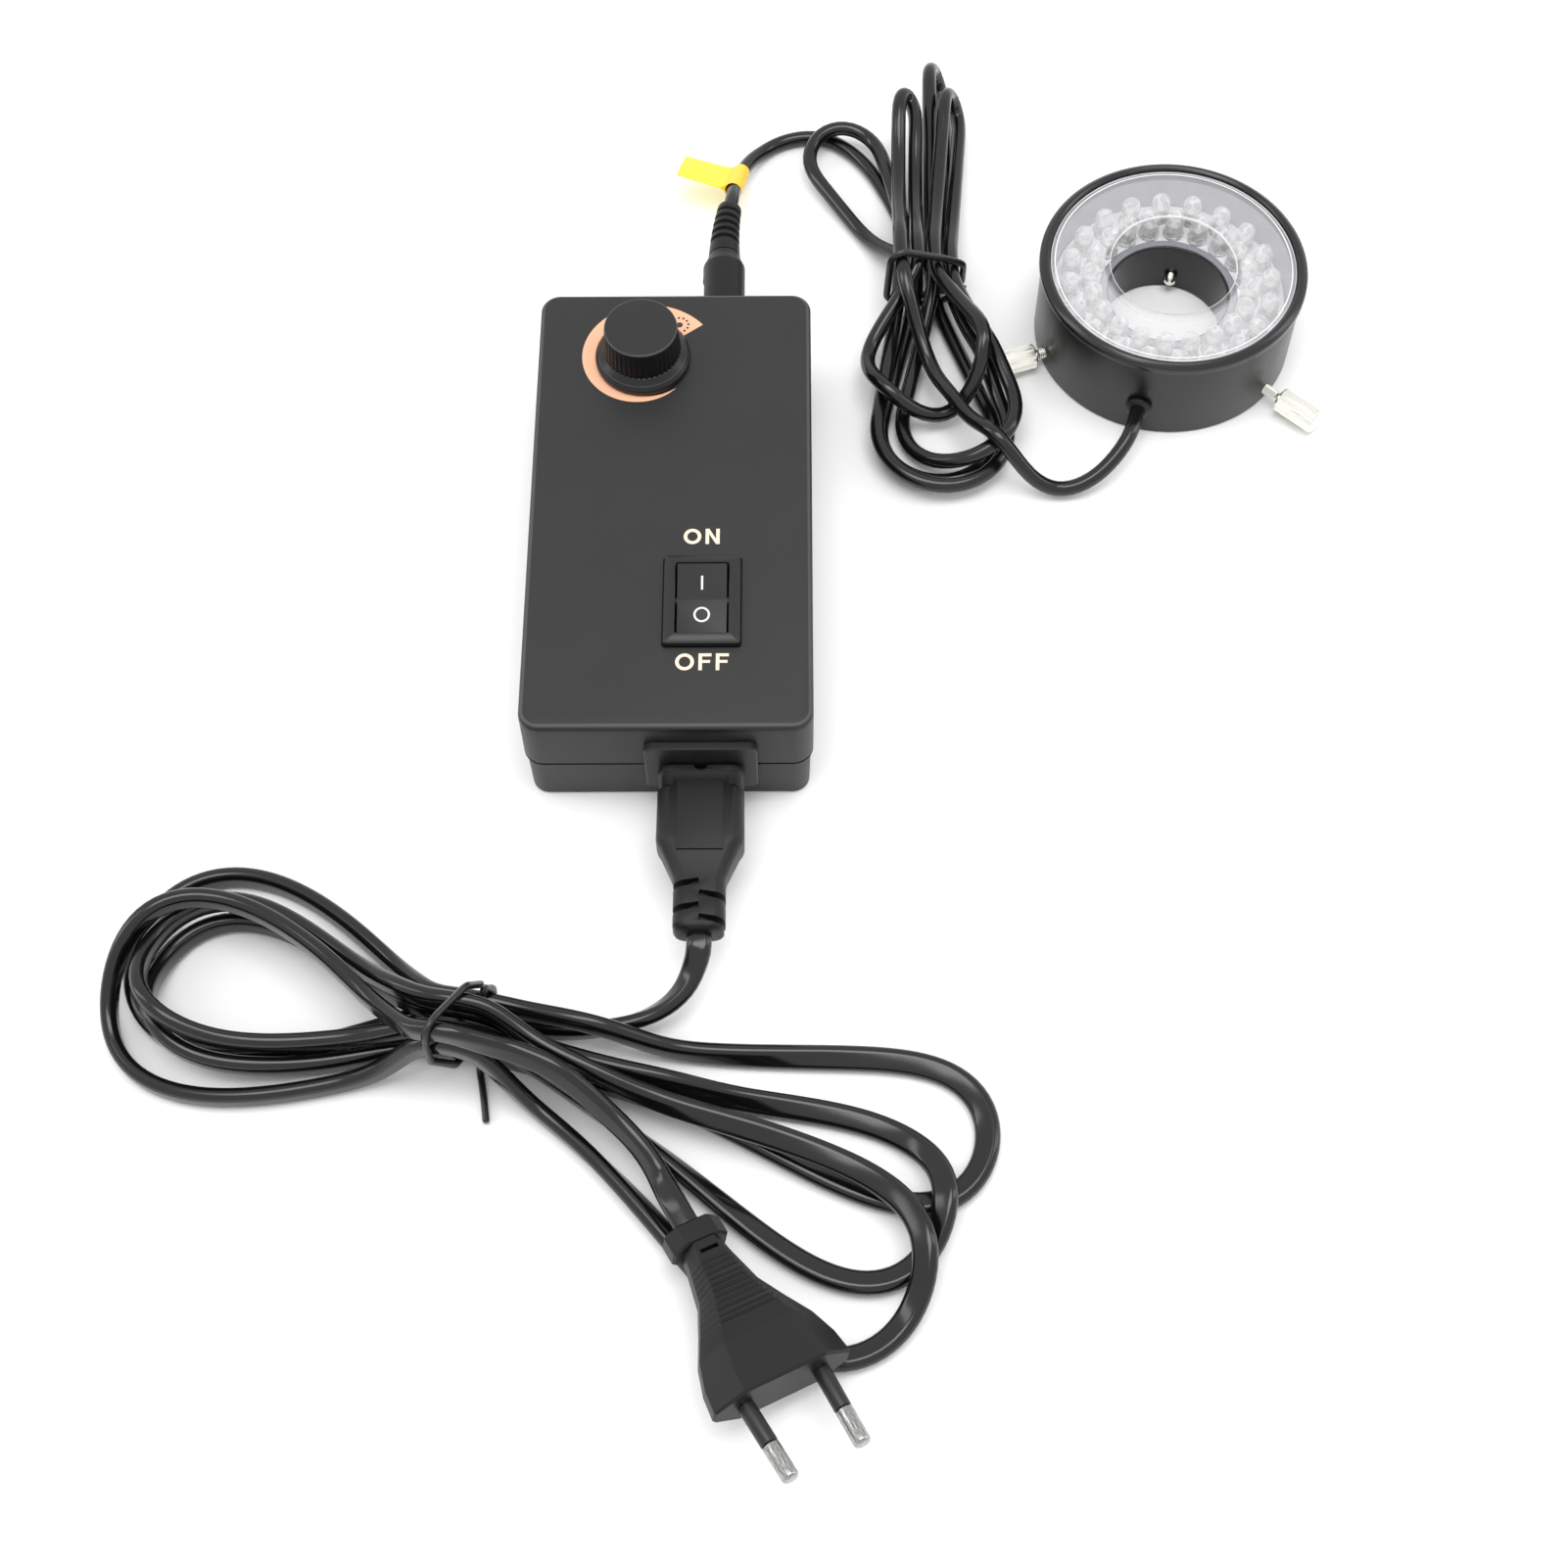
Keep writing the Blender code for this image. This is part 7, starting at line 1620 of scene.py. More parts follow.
@dataclass
class MainsPlug(SubAssembly):
    """The flat plug, its pins and their sleeves."""

    finishes = {MOULDED_VINYL: ("plug_moulding",), SWITCH_NYLON: ("pin_sleeve_1", "pin_sleeve_2"),
        PIN_NICKEL: ("pin_1", "pin_2")}
    face: MmPlace = (27.55, -216.7, 14.7)
    heading: float = radians(-60.2)
    pitch: float = radians(6.0)
    roll: float = radians(12.0)
    length: Mm = 42
    half_thickness: Mm = 6.6
    half_width: Mm = 16.8
    neck: Mm = 4.6
    collar_half: MmPoint = (6.8, 5)
    collar: Mm = 5.5
    rim: Mm = 3.5
    flat_share: float = 0.6
    width_shares: tuple[Point, ...] = ((0.214, 0.31), (0.421, 0.435), (0.571, 0.631), (0.714, 0.833), (0.857, 0.952),
        (1.0, 1.0))
    grooves: int = 11
    groove_start: Mm = 10.5
    groove_pitch: Mm = 1.45
    groove_depth: Mm = 0.32
    pin: Mm = 2
    pin_length: Mm = 19
    sleeve: Mm = 10
    pin_core: Mm = 1.3
    spacing: Mm = 18.6
    tip_spacing: Mm = 17.5
    pin_root: Mm = 7

    def stand(self) -> Matrix:
        """Frame at the middle of the pin face: X forward, Z through the flat side."""
        turn = spun(self.heading, "Z") @ spun(-self.pitch, "Y")
        return at(self.face) @ turn @ spun(-self.roll, "X")

    def sizes(self, run: float) -> tuple[float, float]:
        """Half width and half thickness of the body.

        Args:
            run: distance from the collar's end.

        Returns:
            Both halves.
        """
        share = run / self.length
        places, widths = zip(*self.width_shares)
        width = np.interp(share, (0.12, *places), (self.neck * 0.98 / self.half_width, *widths))
        thick = self.neck + (self.half_thickness - self.neck) * min(1.0, share / places[3])
        return float(width) * self.half_width, thick

    def section(self, place_x: float, half_width: float, half_thickness: float, dip: float) -> list[Vector]:
        """One cross-section of the body, with cut corners that are slightly rounded.

        Args:
            place_x: where it lies along the plug.
            half_width: half its width.
            half_thickness: half its thickness.
            dip: how far its flat sides are drawn in, for a groove.

        Returns:
            Its points.
        """
        flat = min(half_width * self.flat_share, half_width - self.rim * 0.6)
        edge = min(self.rim / 2, half_thickness * 0.42)
        tall = half_thickness - dip
        drop = edge + (half_thickness - edge) * 0.04
        corners = [(half_width, -edge, 0.5 * MM), (half_width, edge, 0.5 * MM), (flat + dip, half_thickness, 0.25 * MM),
            (flat - dip, tall, 0.2 * MM), (dip - flat, tall, 0.2 * MM), (-flat - dip, half_thickness, 0.25 * MM),
            (-half_width, drop, 0.5 * MM), (-half_width, -drop, 0.5 * MM), (-flat - dip, -half_thickness, 0.25 * MM),
            (dip - flat, -tall, 0.2 * MM), (flat - dip, -tall, 0.2 * MM), (flat + dip, -half_thickness, 0.25 * MM)]
        return [Vector((place_x, y, z)) for y, z in filleted(corners, 3)]

    def build(self) -> None:
        """Makes the body, the pins and the sleeves."""
        rings = [self._collar(0.0, 0.6 * MM), self._collar(0.6 * MM, 0.0), self._collar(self.collar - 0.5 * MM, 0.0),
            self._collar(self.collar, 0.5 * MM)]
        steps = 180
        start = self.collar + 0.1 * MM
        for step in range(steps + 1):
            run = start + (self.length - start) * step / steps
            width, thick = self.sizes(run)
            last = max(0.0, run - self.length + 0.6 * MM)
            phase = (run - self.groove_start) / self.groove_pitch
            dip = 0.02 * MM
            if 0.0 < phase < self.grooves:
                dip = self.groove_depth * max(0.02, sin(2 * pi * phase)) ** 0.6
            rings.append(self.section(run - self.length, width - last, thick - last, max(dip, 0.02 * MM)))
        carry = self.stand()
        lean = atan((self.spacing - self.tip_spacing) / 2 / self.pin_length)
        frames = [at((0.0, side * self.spacing / 2, 0.0)) @ spun(-side * lean, "Z") for side in (-1, 1)]
        bores = [Solid.rod(self.pin_core + GAP, -self.pin_root - GAP, 2 * MM, 24).moved(frame @ Axis.X.value)
            for frame in frames]
        slot = Solid.block((self.collar - self.length + 2.2 * MM, -2.2 * MM, 3.2 * MM),
            (self.collar - self.length + 3.2 * MM, 2.2 * MM, 9 * MM))
        self.add("plug_moulding", Solid.skin(rings), ["plug_body"], carry, [Solid.merged(bores), slot])
        rim = 0.25 * MM
        sleeve = filleted([(self.pin_core + GAP, GAP, 0.0), (self.pin, GAP, 0.0), (self.pin, self.sleeve, rim),
            (self.pin_core + GAP, self.sleeve, 0.0)], 3)
        bare = self.sleeve + GAP
        pin = filleted([(0.0, -self.pin_root, 0.0), (self.pin_core, -self.pin_root, 0.0), (self.pin_core, bare, 0.0),
            (self.pin, bare, 0.15 * MM), (self.pin, self.pin_length, 1.7 * MM), (0.0, self.pin_length, 0.0)], 8, False)
        for number, frame in enumerate(frames, 1):
            stand = carry @ frame @ Axis.X.value
            self.add(f"pin_{number}", Solid.turned(pin, 40), [f"plug_pin_{number}"], stand)
            self.add(f"pin_sleeve_{number}", Solid.turned(sleeve, 40, True), [f"plug_pin_sleeve_{number}"], stand)

    def _collar(self, run: float, inset: float) -> list[Vector]:
        """One ring of the collar round the cord.

        Args:
            run: distance from the collar's end.
            inset: how far it is drawn in.

        Returns:
            Its points, as many as a section has.
        """
        half_y, half_z = (half - inset for half in self.collar_half)
        points = []
        for y, z in ((p.y, p.z) for p in self.section(0.0, self.collar_half[0], self.collar_half[1], 0.02 * MM)):
            turn = atan2(z, y)
            reach = 1.0 / ((abs(cos(turn)) / half_y) ** 4 + (abs(sin(turn)) / half_z) ** 4) ** 0.25
            points.append(Vector((run - self.length, reach * cos(turn), reach * sin(turn))))
        return points


# Cords


def forward(heading: float) -> np.ndarray:
    """Unit vector along a heading, in plan."""
    return np.array([cos(heading), sin(heading)])


def across(heading: float) -> np.ndarray:
    """Unit vector to the left of a heading, in plan."""
    return np.array([-sin(heading), cos(heading)])


def distance_run(rows: Rows) -> np.ndarray:
    """Distance run at each row."""
    return np.concatenate([[0.0], np.cumsum(norm(np.diff(rows[:, :3], axis=0), axis=1))])


def smooth(rows: Sequence[Row], spacing: float) -> Rows:
    """A centripetal Catmull-Rom curve through rows.

    Args:
        rows: the route's own points.
        spacing: the step of the result.

    Returns:
        The curve's rows at even steps.
    """
    knots = [np.array(row, float) for row in rows]
    knots = [2 * knots[0] - knots[1]] + knots + [2 * knots[-1] - knots[-2]]
    dense = []
    for index in range(1, len(knots) - 2):
        p0, p1, p2, p3 = knots[index - 1:index + 3]
        t1 = norm((p1 - p0)[:3]) ** 0.5
        t2 = t1 + norm((p2 - p1)[:3]) ** 0.5
        t3 = t2 + norm((p3 - p2)[:3]) ** 0.5
        for step in range(CURVE_SAMPLES):
            t = t1 + (t2 - t1) * step / CURVE_SAMPLES
            a1 = (t1 - t) / t1 * p0 + t / t1 * p1
            a2 = (t2 - t) / (t2 - t1) * p1 + (t - t1) / (t2 - t1) * p2
            a3 = (t3 - t) / (t3 - t2) * p2 + (t - t2) / (t3 - t2) * p3
            b1 = (t2 - t) / t2 * a1 + t / t2 * a2
            b2 = (t3 - t) / (t3 - t1) * a2 + (t - t1) / (t3 - t1) * a3
            dense.append((t2 - t) / (t2 - t1) * b1 + (t - t1) / (t2 - t1) * b2)
    dense.append(knots[-2])
    curve = np.array(dense)
    run = distance_run(curve)
    stops = np.linspace(0, run[-1], max(2, round(run[-1] / spacing)) + 1)
    return np.stack([np.interp(stops, run, curve[:, column]) for column in range(curve.shape[1])], 1)


@dataclass
class Cord(SubAssembly):
    """A free cord folded into a tied hank."""

    waist: MmPoint = (0, 0)
    heading: float = 0.0
    lane: Mm = 4.7
    lanes: Row = ()
    door: Mm = 5
    skip: Mm = 9
    tie_middle: MmPoint = (0, 0)
    tie_heading: float = 0.0
    tie_start: float = 0.1
    tie_tail: Places = ()
    step: Mm = 2
    space: Mm = 1.2
    settled: Mm = 0.02
    rounds: int = 400
    climb: Mm = 10
    relax: Mm = 4
    leg_steps: int = 6
    bend_steps: int = 12
    petal_steps: int = 24
    petal_blunt_share: float = 3.0
    tie_thickness: Mm = 1.1
    tie_band: Mm = 3
    tie_reach: Mm = 12
    tie_play: Mm = 0.7
    tie_wire: Mm = 1
    tie_facets: int = 16
    tie_bends: int = 56

    def place(self, number: int, run: float = 0.0) -> np.ndarray:
        """A place in one lane of the waist, in plan."""
        side = across(self.heading) * self.lane * self.lanes[number]
        return np.array(self.waist) + side + forward(self.heading) * run

    def through(self, number: int, run: float, *rest: float) -> list[Row]:
        """One lane's rows through the tie, from -run to run, with the rest after each place."""
        return [(*self.place(number, step), *rest) for step in (-run, run)]

    def on_tie(self, rows: Rows, half: float) -> np.ndarray:
        """Least heights that carry a cord over the bottom of its tie.

        Args:
            rows: the cord's rows.
            half: half the cord's height.

        Returns:
            The height at each row.
        """
        place = rows[:, :2] - self.waist
        near = np.abs(place @ forward(self.heading)) < self.tie_band
        under = near & (np.abs(place @ across(self.heading)) < self.tie_reach)
        return np.where(under, self.tie_thickness + self.tie_play + half, 0.0)

    def settle(self, rows: Rows, half_width: np.ndarray, half_height: np.ndarray, least: np.ndarray) -> Rows:
        """Lays each later stretch over the earlier ones, in rounded humps.

        Args:
            rows: the cord's rows.
            half_width: half its width in plan at each row.
            half_height: half its height at each row.
            least: what else each row has to clear.

        Returns:
            The cord's points.
        """
        plan, run = rows[:, :2], distance_run(rows)
        apart = norm(plan[:, None] - plan[None], axis=2)
        reach = half_width[:, None] + half_width[None] + self.space
        tall = half_height[:, None] + half_height[None] + self.space
        over = tall * np.sqrt(np.clip(1 - (apart / reach) ** 2, 0, 1))
        meets = (apart < reach) & (run[:, None] - run[None] > self.skip)
        near = np.exp(-((run[:, None] - run[None]) / self.climb) ** 2)
        near /= near.sum(1)[:, None]
        height = np.maximum(half_height, rows[:, 2])
        for _ in range(self.rounds):
            needed = np.max(np.where(meets, height[None] + over, least[:, None]), axis=1)
            lacking = np.maximum(needed - height, 0)
            if lacking.max() < self.settled:
                break
            height = height + near @ lacking
        return self.relaxed(np.column_stack([plan, height]))

    def relaxed(self, path: Rows) -> Rows:
        """Takes the kinks out of a cord, less and less towards its ends.

        Args:
            path: the cord's points.

        Returns:
            The points, each drawn towards its neighbours.
        """
        run = distance_run(path)
        soft = np.clip(np.minimum(run, run[-1] - run) / 2, self.settled, self.relax)
        near = np.exp(-((run[:, None] - run[None]) / soft[:, None]) ** 2)
        return near @ path / near.sum(1)[:, None]

    def sweep(self, path: Rows, lean: np.ndarray, outline: Sequence[Point]) -> Solid:
        """A tube of any outline along a path.

        Args:
            path: its points.
            lean: the outline's turn about the path at each point.
            outline: its cross-section, (side, up) points.

        Returns:
            The tube.
        """
        way = np.gradient(path, axis=0)
        way /= norm(way, axis=1)[:, None]
        left = np.stack([-way[:, 1], way[:, 0], np.zeros(len(way))], 1)
        left /= norm(left, axis=1)[:, None]
        up = np.cross(way, left)
        side = left * np.cos(lean)[:, None] + up * np.sin(lean)[:, None]
        rise = up * np.cos(lean)[:, None] - left * np.sin(lean)[:, None]
        rings = []
        for middle, one, other in zip(path, side, rise):
            rings.append([Vector(middle + one * a + other * b) for a, b in outline])
        return Solid.skin(rings)

    def tie(self, name: str, node: str, cord: Solid) -> None:
        """A coated wire bent once round the hank, snug on its outer strands, with one end lying free.

        Args:
            name: its name.
            node: the CAD node that it stands for.
            cord: the cord's own surface.
        """
        ahead, aside = forward(self.tie_heading), across(self.tie_heading)
        clear = self.tie_wire + 0.15 * MM
        swollen = []
        for vert in cord.verts:
            place = np.array(vert[:2]) - self.tie_middle
            if abs(place @ ahead) < self.tie_band / 2 and abs(place @ aside) < self.tie_reach:
                for step in range(self.tie_facets):
                    turn = 2 * pi * step / self.tie_facets
                    swollen.append(Vector((place @ aside + clear * cos(turn), vert.z + clear * sin(turn))))
        hull = [swollen[index] for index in convex_hull_2d(swollen)]
        loop = [(point.x, max(point.y, self.tie_wire * 1.3)) for point in hull]
        ring = np.array(loop + loop[:1])
        run = distance_run(ring)
        rows = []
        for step in range(self.tie_bends + 3):
            share = self.tie_start + step / self.tie_bends
            side, height = (np.interp(share % 1.0 * run[-1], run, ring[:, axis]) for axis in (0, 1))
            along = ahead * self.tie_wire * 2.1 * (share - self.tie_start - 0.5)
            rows.append((*(np.array(self.tie_middle) + aside * side + along), height))
        self.add(name, self._wire(smooth(rows + list(self.tie_tail), 0.5 * MM)), [node])

    def _wire(self, path: Rows) -> Solid:
        """The tie's wire, whose frame is carried along without twist.

        Args:
            path: its points.

        Returns:
            The wire.
        """
        outline = oval(self.tie_wire, self.tie_wire * 0.85, 12)
        rings = []
        side = Vector((path[1] - path[0])[[1, 2, 0]])
        count = len(path)
        for index in range(count):
            way = Vector(path[min(index + 1, count - 1)] - path[max(index - 1, 0)]).normalized()
            side = (side - way * side.dot(way)).normalized()
            other = way.cross(side)
            shrink = 0.6 if index in (0, count - 1) else 1.0
            rings.append([Vector(path[index]) + (other * a + side * b) * shrink for a, b in outline])
        return Solid.skin(rings)


@dataclass
class MainsLead(Cord):
    """The flat two-core lead from the connector to the plug."""

    finishes = {CORD_VINYL: ("mains_lead",), TIE_VINYL: ("mains_tie",)}
    width: Mm = 6
    thickness: Mm = 3.7
    waist: MmPoint = (-47, -132.6)
    heading: float = radians(-9.0)
    lane: Mm = 4.9
    door: Mm = 7
    lanes: Row = (1.5, 1.5, -0.5, 0.5, -0.5, 0.5, -1.5, -1.5)
    skip: Mm = 12
    tie_middle: MmPoint = (-47, -134.2)
    tie_heading: float = radians(-31.0)
    tie_start: float = 0.2
    tie_tail: Places = ((-0.0428, -0.1385, 0.0015), (-0.042, -0.1428, 0.0013), (-0.0413, -0.147, 0.0013),
        (-0.0406, -0.1517, 0.0013))
    left_loops: Places = ((0.082, 0.046, 166.5), (0.075, 0.036, 166.5), (0.077, 0.034, 163.5), (0.084, 0.044, 163.5))
    right_loops: Places = ((0.124, 0.03, -13.8), (0.119, 0.035, -24.0), (0.121, 0.038, -32.5))
    edge_tilt: float = radians(88.0)
    flat_tilt: float = radians(20.0)
    end_tilt: float = radians(60.0)
    start_run: Places = ((0.0072, -0.117, 0.0122), (0.0048, -0.122, 0.0095), (-0.001, -0.1262, 0.0064),
        (-0.01, -0.129, 0.0048), (-0.024, -0.1305, 0.0048))
    end_run: Places = ((-0.031, -0.1425, 0.0), (-0.0135, -0.1524, 0.0), (-0.003, -0.1625, 0.0))
    exit: MmPlace = (8.05, -111.3, 15.4)

    def petal(self, number: int, run: float, shape: Place) -> list[Row]:
        """One flat loop that swells slowly and turns at its end.

        Args:
            number: the lane that it leaves; it comes back in the next one.
            run: where it leaves, along the waist.
            shape: how far it reaches, its width, and its heading in degrees.

        Returns:
            Its rows.
        """
        start, end = self.place(number, run), self.place(number + 1, run)
        length, width, heading = shape[0] - self.door, shape[1], radians(shape[2])
        peak = 4 / (3 * sqrt(3))
        blunt = min(1.8, max(0.35, self.petal_blunt_share * abs(width) / length))
        rows = []
        for step in range(self.petal_steps + 1):
            share = step / self.petal_steps
            turn = pi * share
            plan = start + (end - start) * share + forward(heading) * length * sin(turn) ** blunt
            plan = plan + across(heading) * width / 2 * sin(2 * turn) * sin(turn) / peak
            rows.append((plan[0], plan[1], 0.0))
        return rows

    def route(self) -> list[Row]:
        """The lead's own points, with the tilt of its width.

        Returns:
            The rows.
        """
        x, y, z = self.exit
        rows: list[Row] = [(x, y, z, 0.0), (x, y - self.thickness, z, 0.0)]
        rows += [(*point, self.edge_tilt * (step + 1) / len(self.start_run)) for step,
            point in enumerate(self.start_run)]
        for number, left_loop in enumerate(self.left_loops):
            rows += self.through(2 * number, -self.tie_band, 0.0, self.edge_tilt)
            rows += [(*row, self.edge_tilt) for row in self.petal(2 * number, -self.door, left_loop)]
            rows += self.through(2 * number + 1, self.tie_band, 0.0, self.edge_tilt)
            if number < len(self.right_loops):
                for step, row in enumerate(self.petal(2 * number + 1, self.door, self.right_loops[number])):
                    lie = min(1.0, max(0.0, 2.5 * sin(pi * step / self.petal_steps) - 0.6))
                    rows.append((*row, self.edge_tilt + (self.flat_tilt - self.edge_tilt) * lie))
        rows += [(*point, self.end_tilt) for point in self.end_run]
        plug = MainsPlug(self.bench)
        for back in (2, 1, 0):
            spot = plug.stand() @ Vector((-plug.length - GAP - self.thickness * back, 0.0, 0.0))
            rows.append((*spot, self.flat_tilt))
        return rows

    def build(self) -> None:
        """Lays the lead and its tie."""
        rows = smooth(self.route(), self.step)
        tilts = rows[:, 3]
        spare = (self.width - self.thickness) / 2
        half = self.thickness / 2
        path = self.settle(rows, half + spare * np.abs(np.cos(tilts)), half + spare * np.abs(np.sin(tilts)),
            self.on_tie(rows, self.width / 2))
        outline = rounded(self.width / 2, half, half * 0.98, 7)
        solid = self.sweep(path, tilts, outline)
        lead = self.add("mains_lead", solid, ["mains_lead_start", "mains_lead_hank", "mains_lead_end"])
        self.tie("mains_tie", "mains_lead_tie", solid)
        length = float(distance_run(path)[-1])


@dataclass
class LampCable(Cord):
    """The round cable from the barrel plug's boot to the ring head."""

    finishes = {CORD_VINYL: ("lamp_cable",), TIE_VINYL: ("lamp_tie",), TAG_FILM: ("cable_tag",)}
    diameter: Mm = 4
    waist: MmPoint = (66.6, 93.5)
    heading: float = radians(-90.0)
    lanes: Row = (0.5, -0.5, -1.5, 1.5, 0.5, 1.5, 0.5, -0.5, -1.5)
    tie_middle: MmPoint = (66.8, 89)
    tie_heading: float = radians(-77.0)
    tie_tail: Places = ((0.0568, 0.085, 0.004), (0.0566, 0.0838, 0.003))
    low_loops: tuple[Row, ...] = ((0.066, 0.031, -87.0, 0.0), (0.07, 0.035, -86.0, 0.0), (0.063, 0.03, -86.0, 0.0),
        (0.047, 0.031, -92.0, 0.0))
    high_loops: tuple[Row, ...] = ((0.058, 0.021, 113.0, 12.0), (0.074, 0.016, 89.5, 72.0), (0.062, 0.016, 85.0, 72.0),
        (0.057, 0.016, 89.0, 72.0))
    start_run: Places = ((0.0142, 0.123, 0.0098), (0.016, 0.132, 0.006), (0.0195, 0.14, 0.0035), (0.026, 0.1466, 0.0),
        (0.0363, 0.1492, 0.0), (0.0442, 0.146, 0.0), (0.0515, 0.138, 0.0), (0.0575, 0.126, 0.0), (0.0622, 0.113, 0.0))
    end_run: Places = ((0.0605, 0.0825, 0.0), (0.0665, 0.064, 0.0), (0.0738, 0.0466, 0.0), (0.0818, 0.0345, 0.0),
        (0.0911, 0.0268, 0.0), (0.1, 0.0242, 0.002), (0.1075, 0.0256, 0.0042), (0.1138, 0.03, 0.007))
    tag_run: Mm = 15
    tag_width: Mm = 12.5
    tag_flag: Mm = 14
    tag_droop: float = radians(-9.0)
    tag_film: Mm = 0.15

    def loop(self, number: int, door: float, shape: Row) -> list[Row]:
        """One loop of the hank: two straight legs and a round end, in a leaning plane.

        Args:
            number: the lane that it leaves; it comes back in the next one.
            door: where it leaves, along the waist.
            shape: how far it reaches, its width, and its heading and lean in degrees.

        Returns:
            Its rows.
        """
        start, end = self.place(number, door), self.place(number + 1, door)
        hand = 1 if self.lanes[number] > self.lanes[number + 1] else -1
        length, width, heading, stand = shape[0] - self.door, copysign(shape[1], hand * door), *map(radians, shape[2:])
        radius = abs(width) / 2
        ahead = forward(heading)
        aside = across(heading) * copysign(1.0, width)
        root = (start + end) / 2
        reach = length - radius
        opening = acos(min(1.0, radius / reach))

        def bend(turn: float) -> tuple[np.ndarray, float]:
            """A place on the round end.

            Args:
                turn: the angle from the loop's own heading.

            Returns:
                The place in plan and its lift.
            """
            side = radius * sin(turn)
            plan = root + ahead * (reach + radius * cos(turn)) + aside * side * cos(stand)
            return plan, (radius - side) * sin(stand)

        first, first_lift = bend(pi - opening)
        last, last_lift = bend(opening - pi)
        rows = []
        for step in range(self.leg_steps):
            share = step / self.leg_steps
            rows.append((*(start + (first - start) * share), first_lift * share))
        for step in range(self.bend_steps + 1):
            plan, lift = bend((pi - opening) * (1 - 2 * step / self.bend_steps))
            rows.append((*plan, lift))
        for step in range(1, self.leg_steps + 1):
            share = step / self.leg_steps
            rows.append((*(last + (end - last) * share), last_lift * (1 - share)))
        return rows

    def route(self) -> list[Row]:
        """The cable's own points.

        Returns:
            The rows.
        """
        plug = LampPlug(self.bench)
        rows: list[Row] = [tuple(plug.boot_centre(1.0) + plug.boot_way(1.0) * back)
            for back in (GAP, GAP + self.diameter)]
        rows.extend(self.start_run)
        for number, shape in enumerate(pair for both in zip(self.low_loops, self.high_loops) for pair in both):
            side = -1 if number % 2 else 1
            rows += self.through(number, side * self.tie_band, 0.0)
            rows += self.loop(number, side * self.door, shape)
        rows += self.through(len(self.lanes) - 1, self.tie_band, 0.0)
        rows.extend(self.end_run)
        head = RingHead(self.bench)
        face = head.radius + GAP + 1.2 * MM + GAP
        for back in (2, 1, 0):
            spot = np.array([head.x, head.y]) + forward(head.cable_angle) * (face + self.diameter * back)
            rows.append((spot[0], spot[1], head.cable_height))
        return rows

    def over_screws(self, rows: Rows) -> np.ndarray:
        """Least heights that carry the rows of the cable over the clamp screws.

        Args:
            rows: the cable's rows.

        Returns:
            The height at each row.
        """
        head, screws = RingHead(self.bench), ClampScrews(self.bench)
        beside = self.diameter / 2 + GAP
        clear = screws.head + beside
        base = np.zeros(len(rows))
        for angle, reach in zip(head.screw_angles, screws.heads):
            backed_out = head.bore - (reach - screws.shank_length)
            tip = reach + screws.head_length + backed_out + beside
            place = rows[:, :2] - (head.x, head.y)
            out, aside = place @ forward(radians(angle)), place @ across(radians(angle))
            meets = (out > head.radius) & (out < tip) & (np.abs(aside) < clear)
            rise = screws.height + np.sqrt(np.clip(clear ** 2 - aside ** 2, 0, None))
            base = np.maximum(base, np.where(meets, rise, 0.0))
        return base

    def build(self) -> None:
        """Lays the cable, its tie and its tag."""
        rows = smooth(self.route(), self.step)
        half = np.full(len(rows), self.diameter / 2)
        least = np.maximum(self.on_tie(rows, self.diameter / 2), self.over_screws(rows))
        path = self.settle(rows, half, half, least)
        solid = self.sweep(path, np.zeros(len(path)), circle(self.diameter / 2, 20))
        cable = self.add("lamp_cable", solid, ["led_cable_start", "led_cable_hank", "led_cable_end"])
        self.tie("lamp_tie", "led_cable_tie", solid)
        self._tag(path)
        length = float(distance_run(path)[-1])
        exit_point = LampPlug(self.bench).boot_centre(1.0)

    def _tag(self, path: Rows) -> None:
        """Makes the folded tag that wraps the cable and stands out to one side.

        Args:
            path: the cable's points.
        """
        index = int(np.searchsorted(distance_run(path), self.tag_run))
        way = Vector(path[index + 2] - path[index - 2]).normalized()
        left = Vector((-way.y, way.x, 0.0)).normalized()
        hang = left * cos(self.tag_droop) - Vector((0.0, 0.0, sin(self.tag_droop)))
        hang = (hang - way * hang.dot(way)).normalized()
        stand = Matrix((hang, way.cross(hang), way)).transposed().to_4x4()
        inner = self.diameter / 2 + 0.25 * MM
        film = self.tag_film
        wrap = circle(inner + film, 34)[2:33]
        flag = [(inner + self.tag_flag * share, film * (1.0 + 1.8 * (1 - share) ** 2))
            for share in (1.0, 0.75, 0.5, 0.25, 0.12)]
        profile = flag + wrap + [(a, -b) for a, b in flag[::-1]]
        half = self.tag_width / 2
        rings = []
        for height, bow in ((-half, 0.0), (-half * 0.3, 1.0), (half * 0.3, 1.0), (half, 0.0)):
            ring = []
            for a, b in profile:
                lift = 0.5 * MM * max(0.0, a - inner) / self.tag_flag * bow
                ring.append(Vector((a, b + lift, height)))
            rings.append(ring)
        solid = Solid.skin(rings)
        bore = Solid.rod(inner, -self.tag_width, self.tag_width, 32)
        self.add("cable_tag", solid, ["cable_label"], at(path[index]) @ stand, [bore])


# Studio


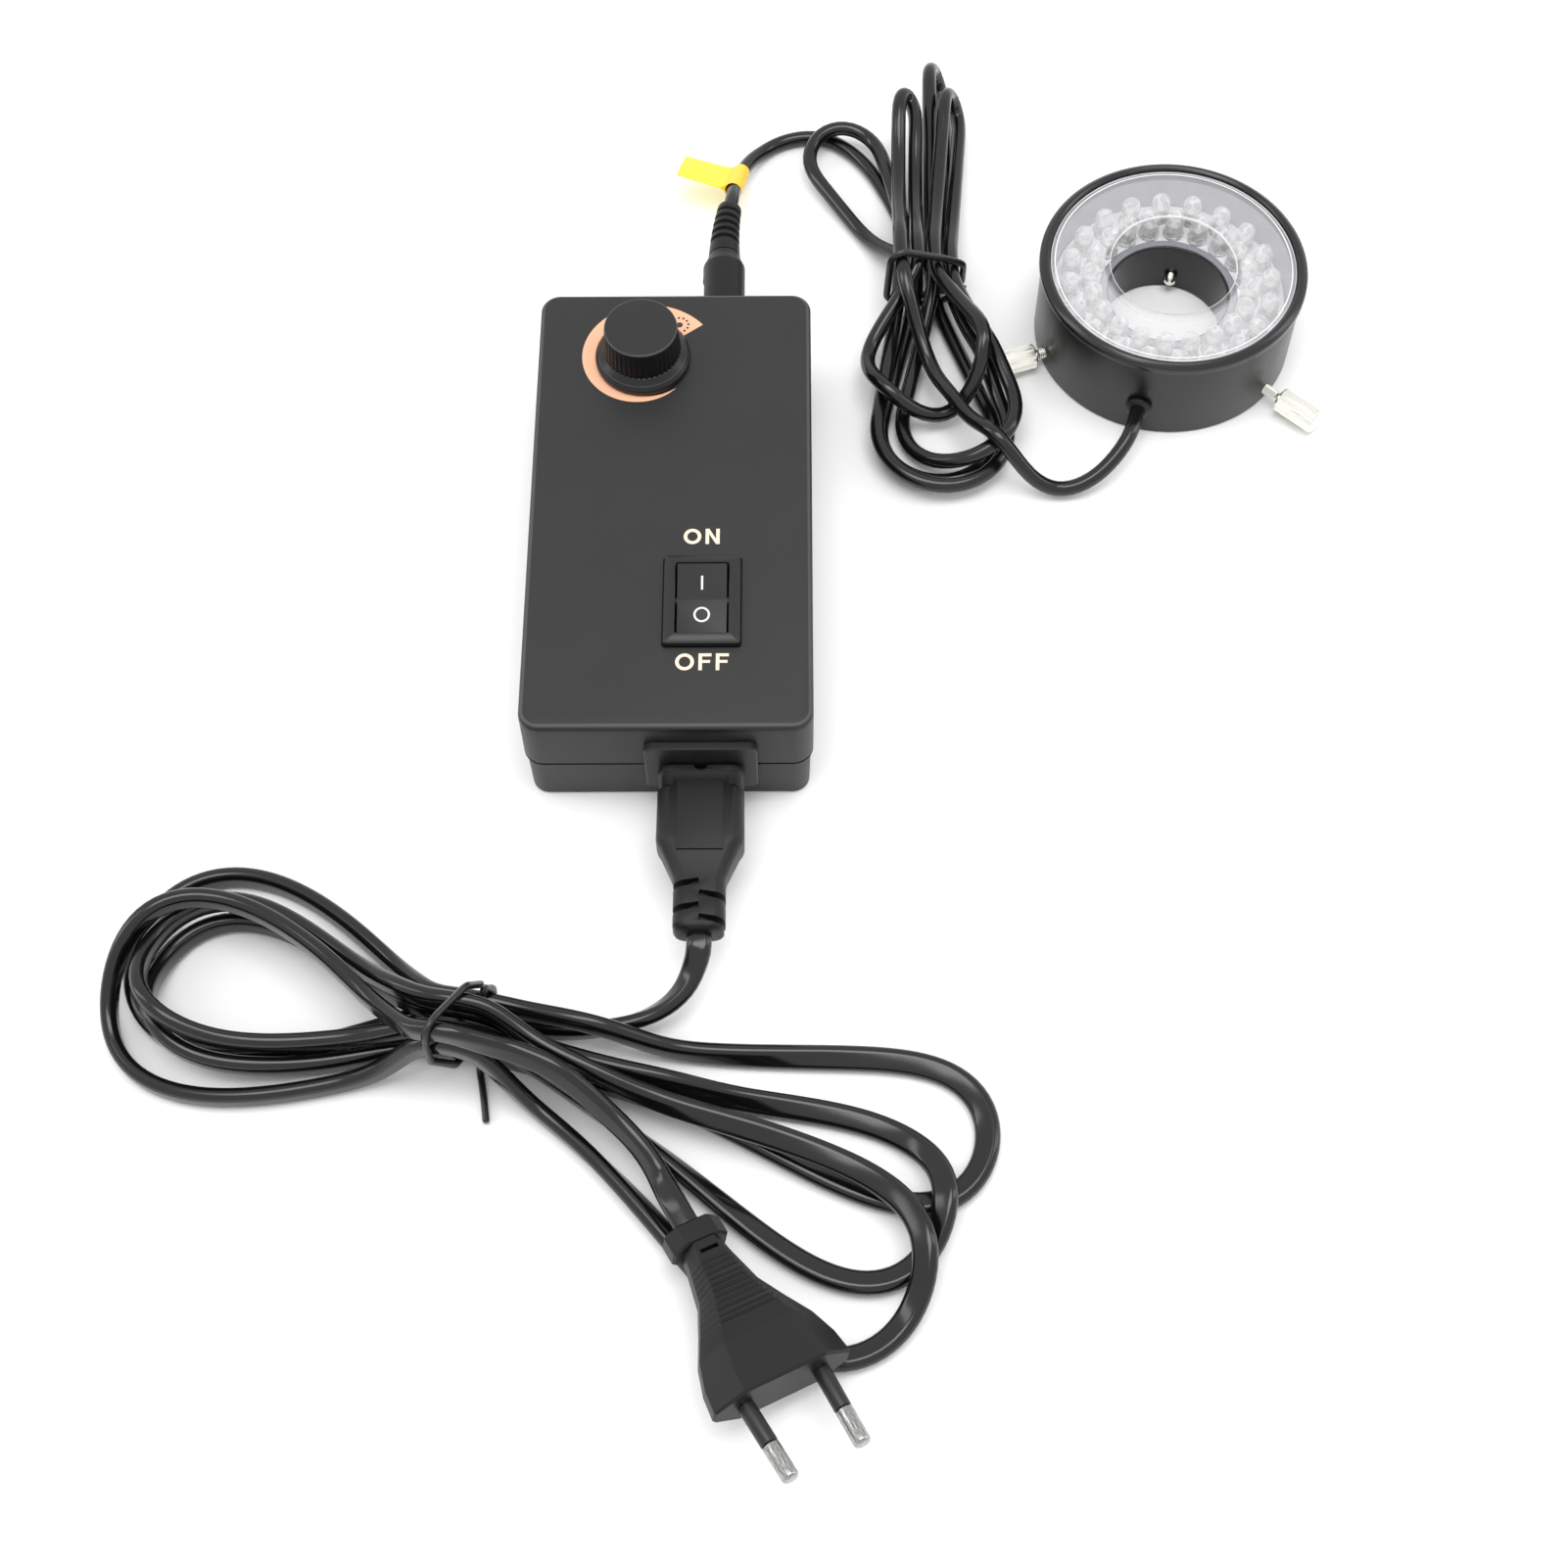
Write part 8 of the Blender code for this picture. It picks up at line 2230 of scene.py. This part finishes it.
@dataclass
class Studio(SubAssembly):
    """A pale floor, soft lights and the photograph's camera."""

    floor_size: float = 6.0
    floor_drop: Mm = 0.2
    camera_place: MmPlace = (30.34, -362.07, 540.3)
    camera_turns: Place = (0.486, 29.02, -0.623)
    lens: float = 57.4
    sensor: float = 36.0
    nearest: float = 0.01
    lights: tuple[Light, ...] = (("overhead", (0.05, -0.1, 1.3), (1.0, 0.5), 8.0),
        ("left_wall", (-1.2, 0.1, 0.8), (0.3, 1.2), 3.5), ("right_wall", (1.25, 0.2, 0.7), (0.3, 1.2), 2.5))
    sky: float = 1.01

    def build(self) -> None:
        """Makes the floor, the lights, the sky and the camera."""
        half = self.floor_size / 2
        slab = Solid.block((-half, -half, -0.01), (half, half, 0.0))
        floor = placed("floor", slab.mesh("floor"), at((0.0, 0.0, -self.floor_drop)))
        graph = Graph("floor_paper")
        paper = graph.blend(graph.noise(0.8), (0.94, 0.94, 0.94), (0.96, 0.96, 0.96))
        graph.surface(paper, 0.7, others={"Specular IOR Level": 0.2})
        floor.data.materials.append(graph.material)
        for name, place, size, power in self.lights:
            light = bpy.data.lights.new(name, "AREA")
            light.shape = "RECTANGLE"
            light.size, light.size_y = size
            light.energy = power
            turn = (-Vector(place)).to_track_quat("-Z", "Y").to_matrix().to_4x4()
            placed(name, light, at(place) @ turn)
        world = bpy.data.worlds.new("studio")
        world.use_nodes = True
        sky = world.node_tree.nodes["Background"].inputs
        sky["Color"].default_value = (1.0, 1.0, 1.0, 1.0)
        sky["Strength"].default_value = self.sky
        bpy.context.scene.world = world
        bpy.context.scene.view_settings.view_transform = "Standard"
        self._camera()

    def _camera(self) -> None:
        """Sets the camera at the photograph's angle."""
        yaw, pitch, roll = (radians(angle) for angle in self.camera_turns)
        turn = spun(yaw, "Z") @ spun(pitch, "X") @ spun(roll, "Z")
        data = bpy.data.cameras.new("photo_camera")
        data.lens, data.sensor_width, data.clip_start = self.lens, self.sensor, self.nearest
        bpy.context.scene.camera = placed("photo_camera", data, at(self.camera_place) @ turn)


def main() -> None:
    """Builds and dresses every sub-assembly."""
    logging.basicConfig(level=logging.INFO, format="%(message)s")
    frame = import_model()
    bench = Bench(frame["nodes"])
    for kind in (Studio, MainsLead, LampCable, ControlBox, BoxInsides, Dimmer, RockerSwitch, MainsInlet, MainsConnector,
            LampPlug, RingHead, ClampScrews, MainsPlug):
        group = kind(bench)
        group.build()
        group.dress()
        LOG.info("finished %s", kind.__name__)


if __name__ == "__main__":
    main()
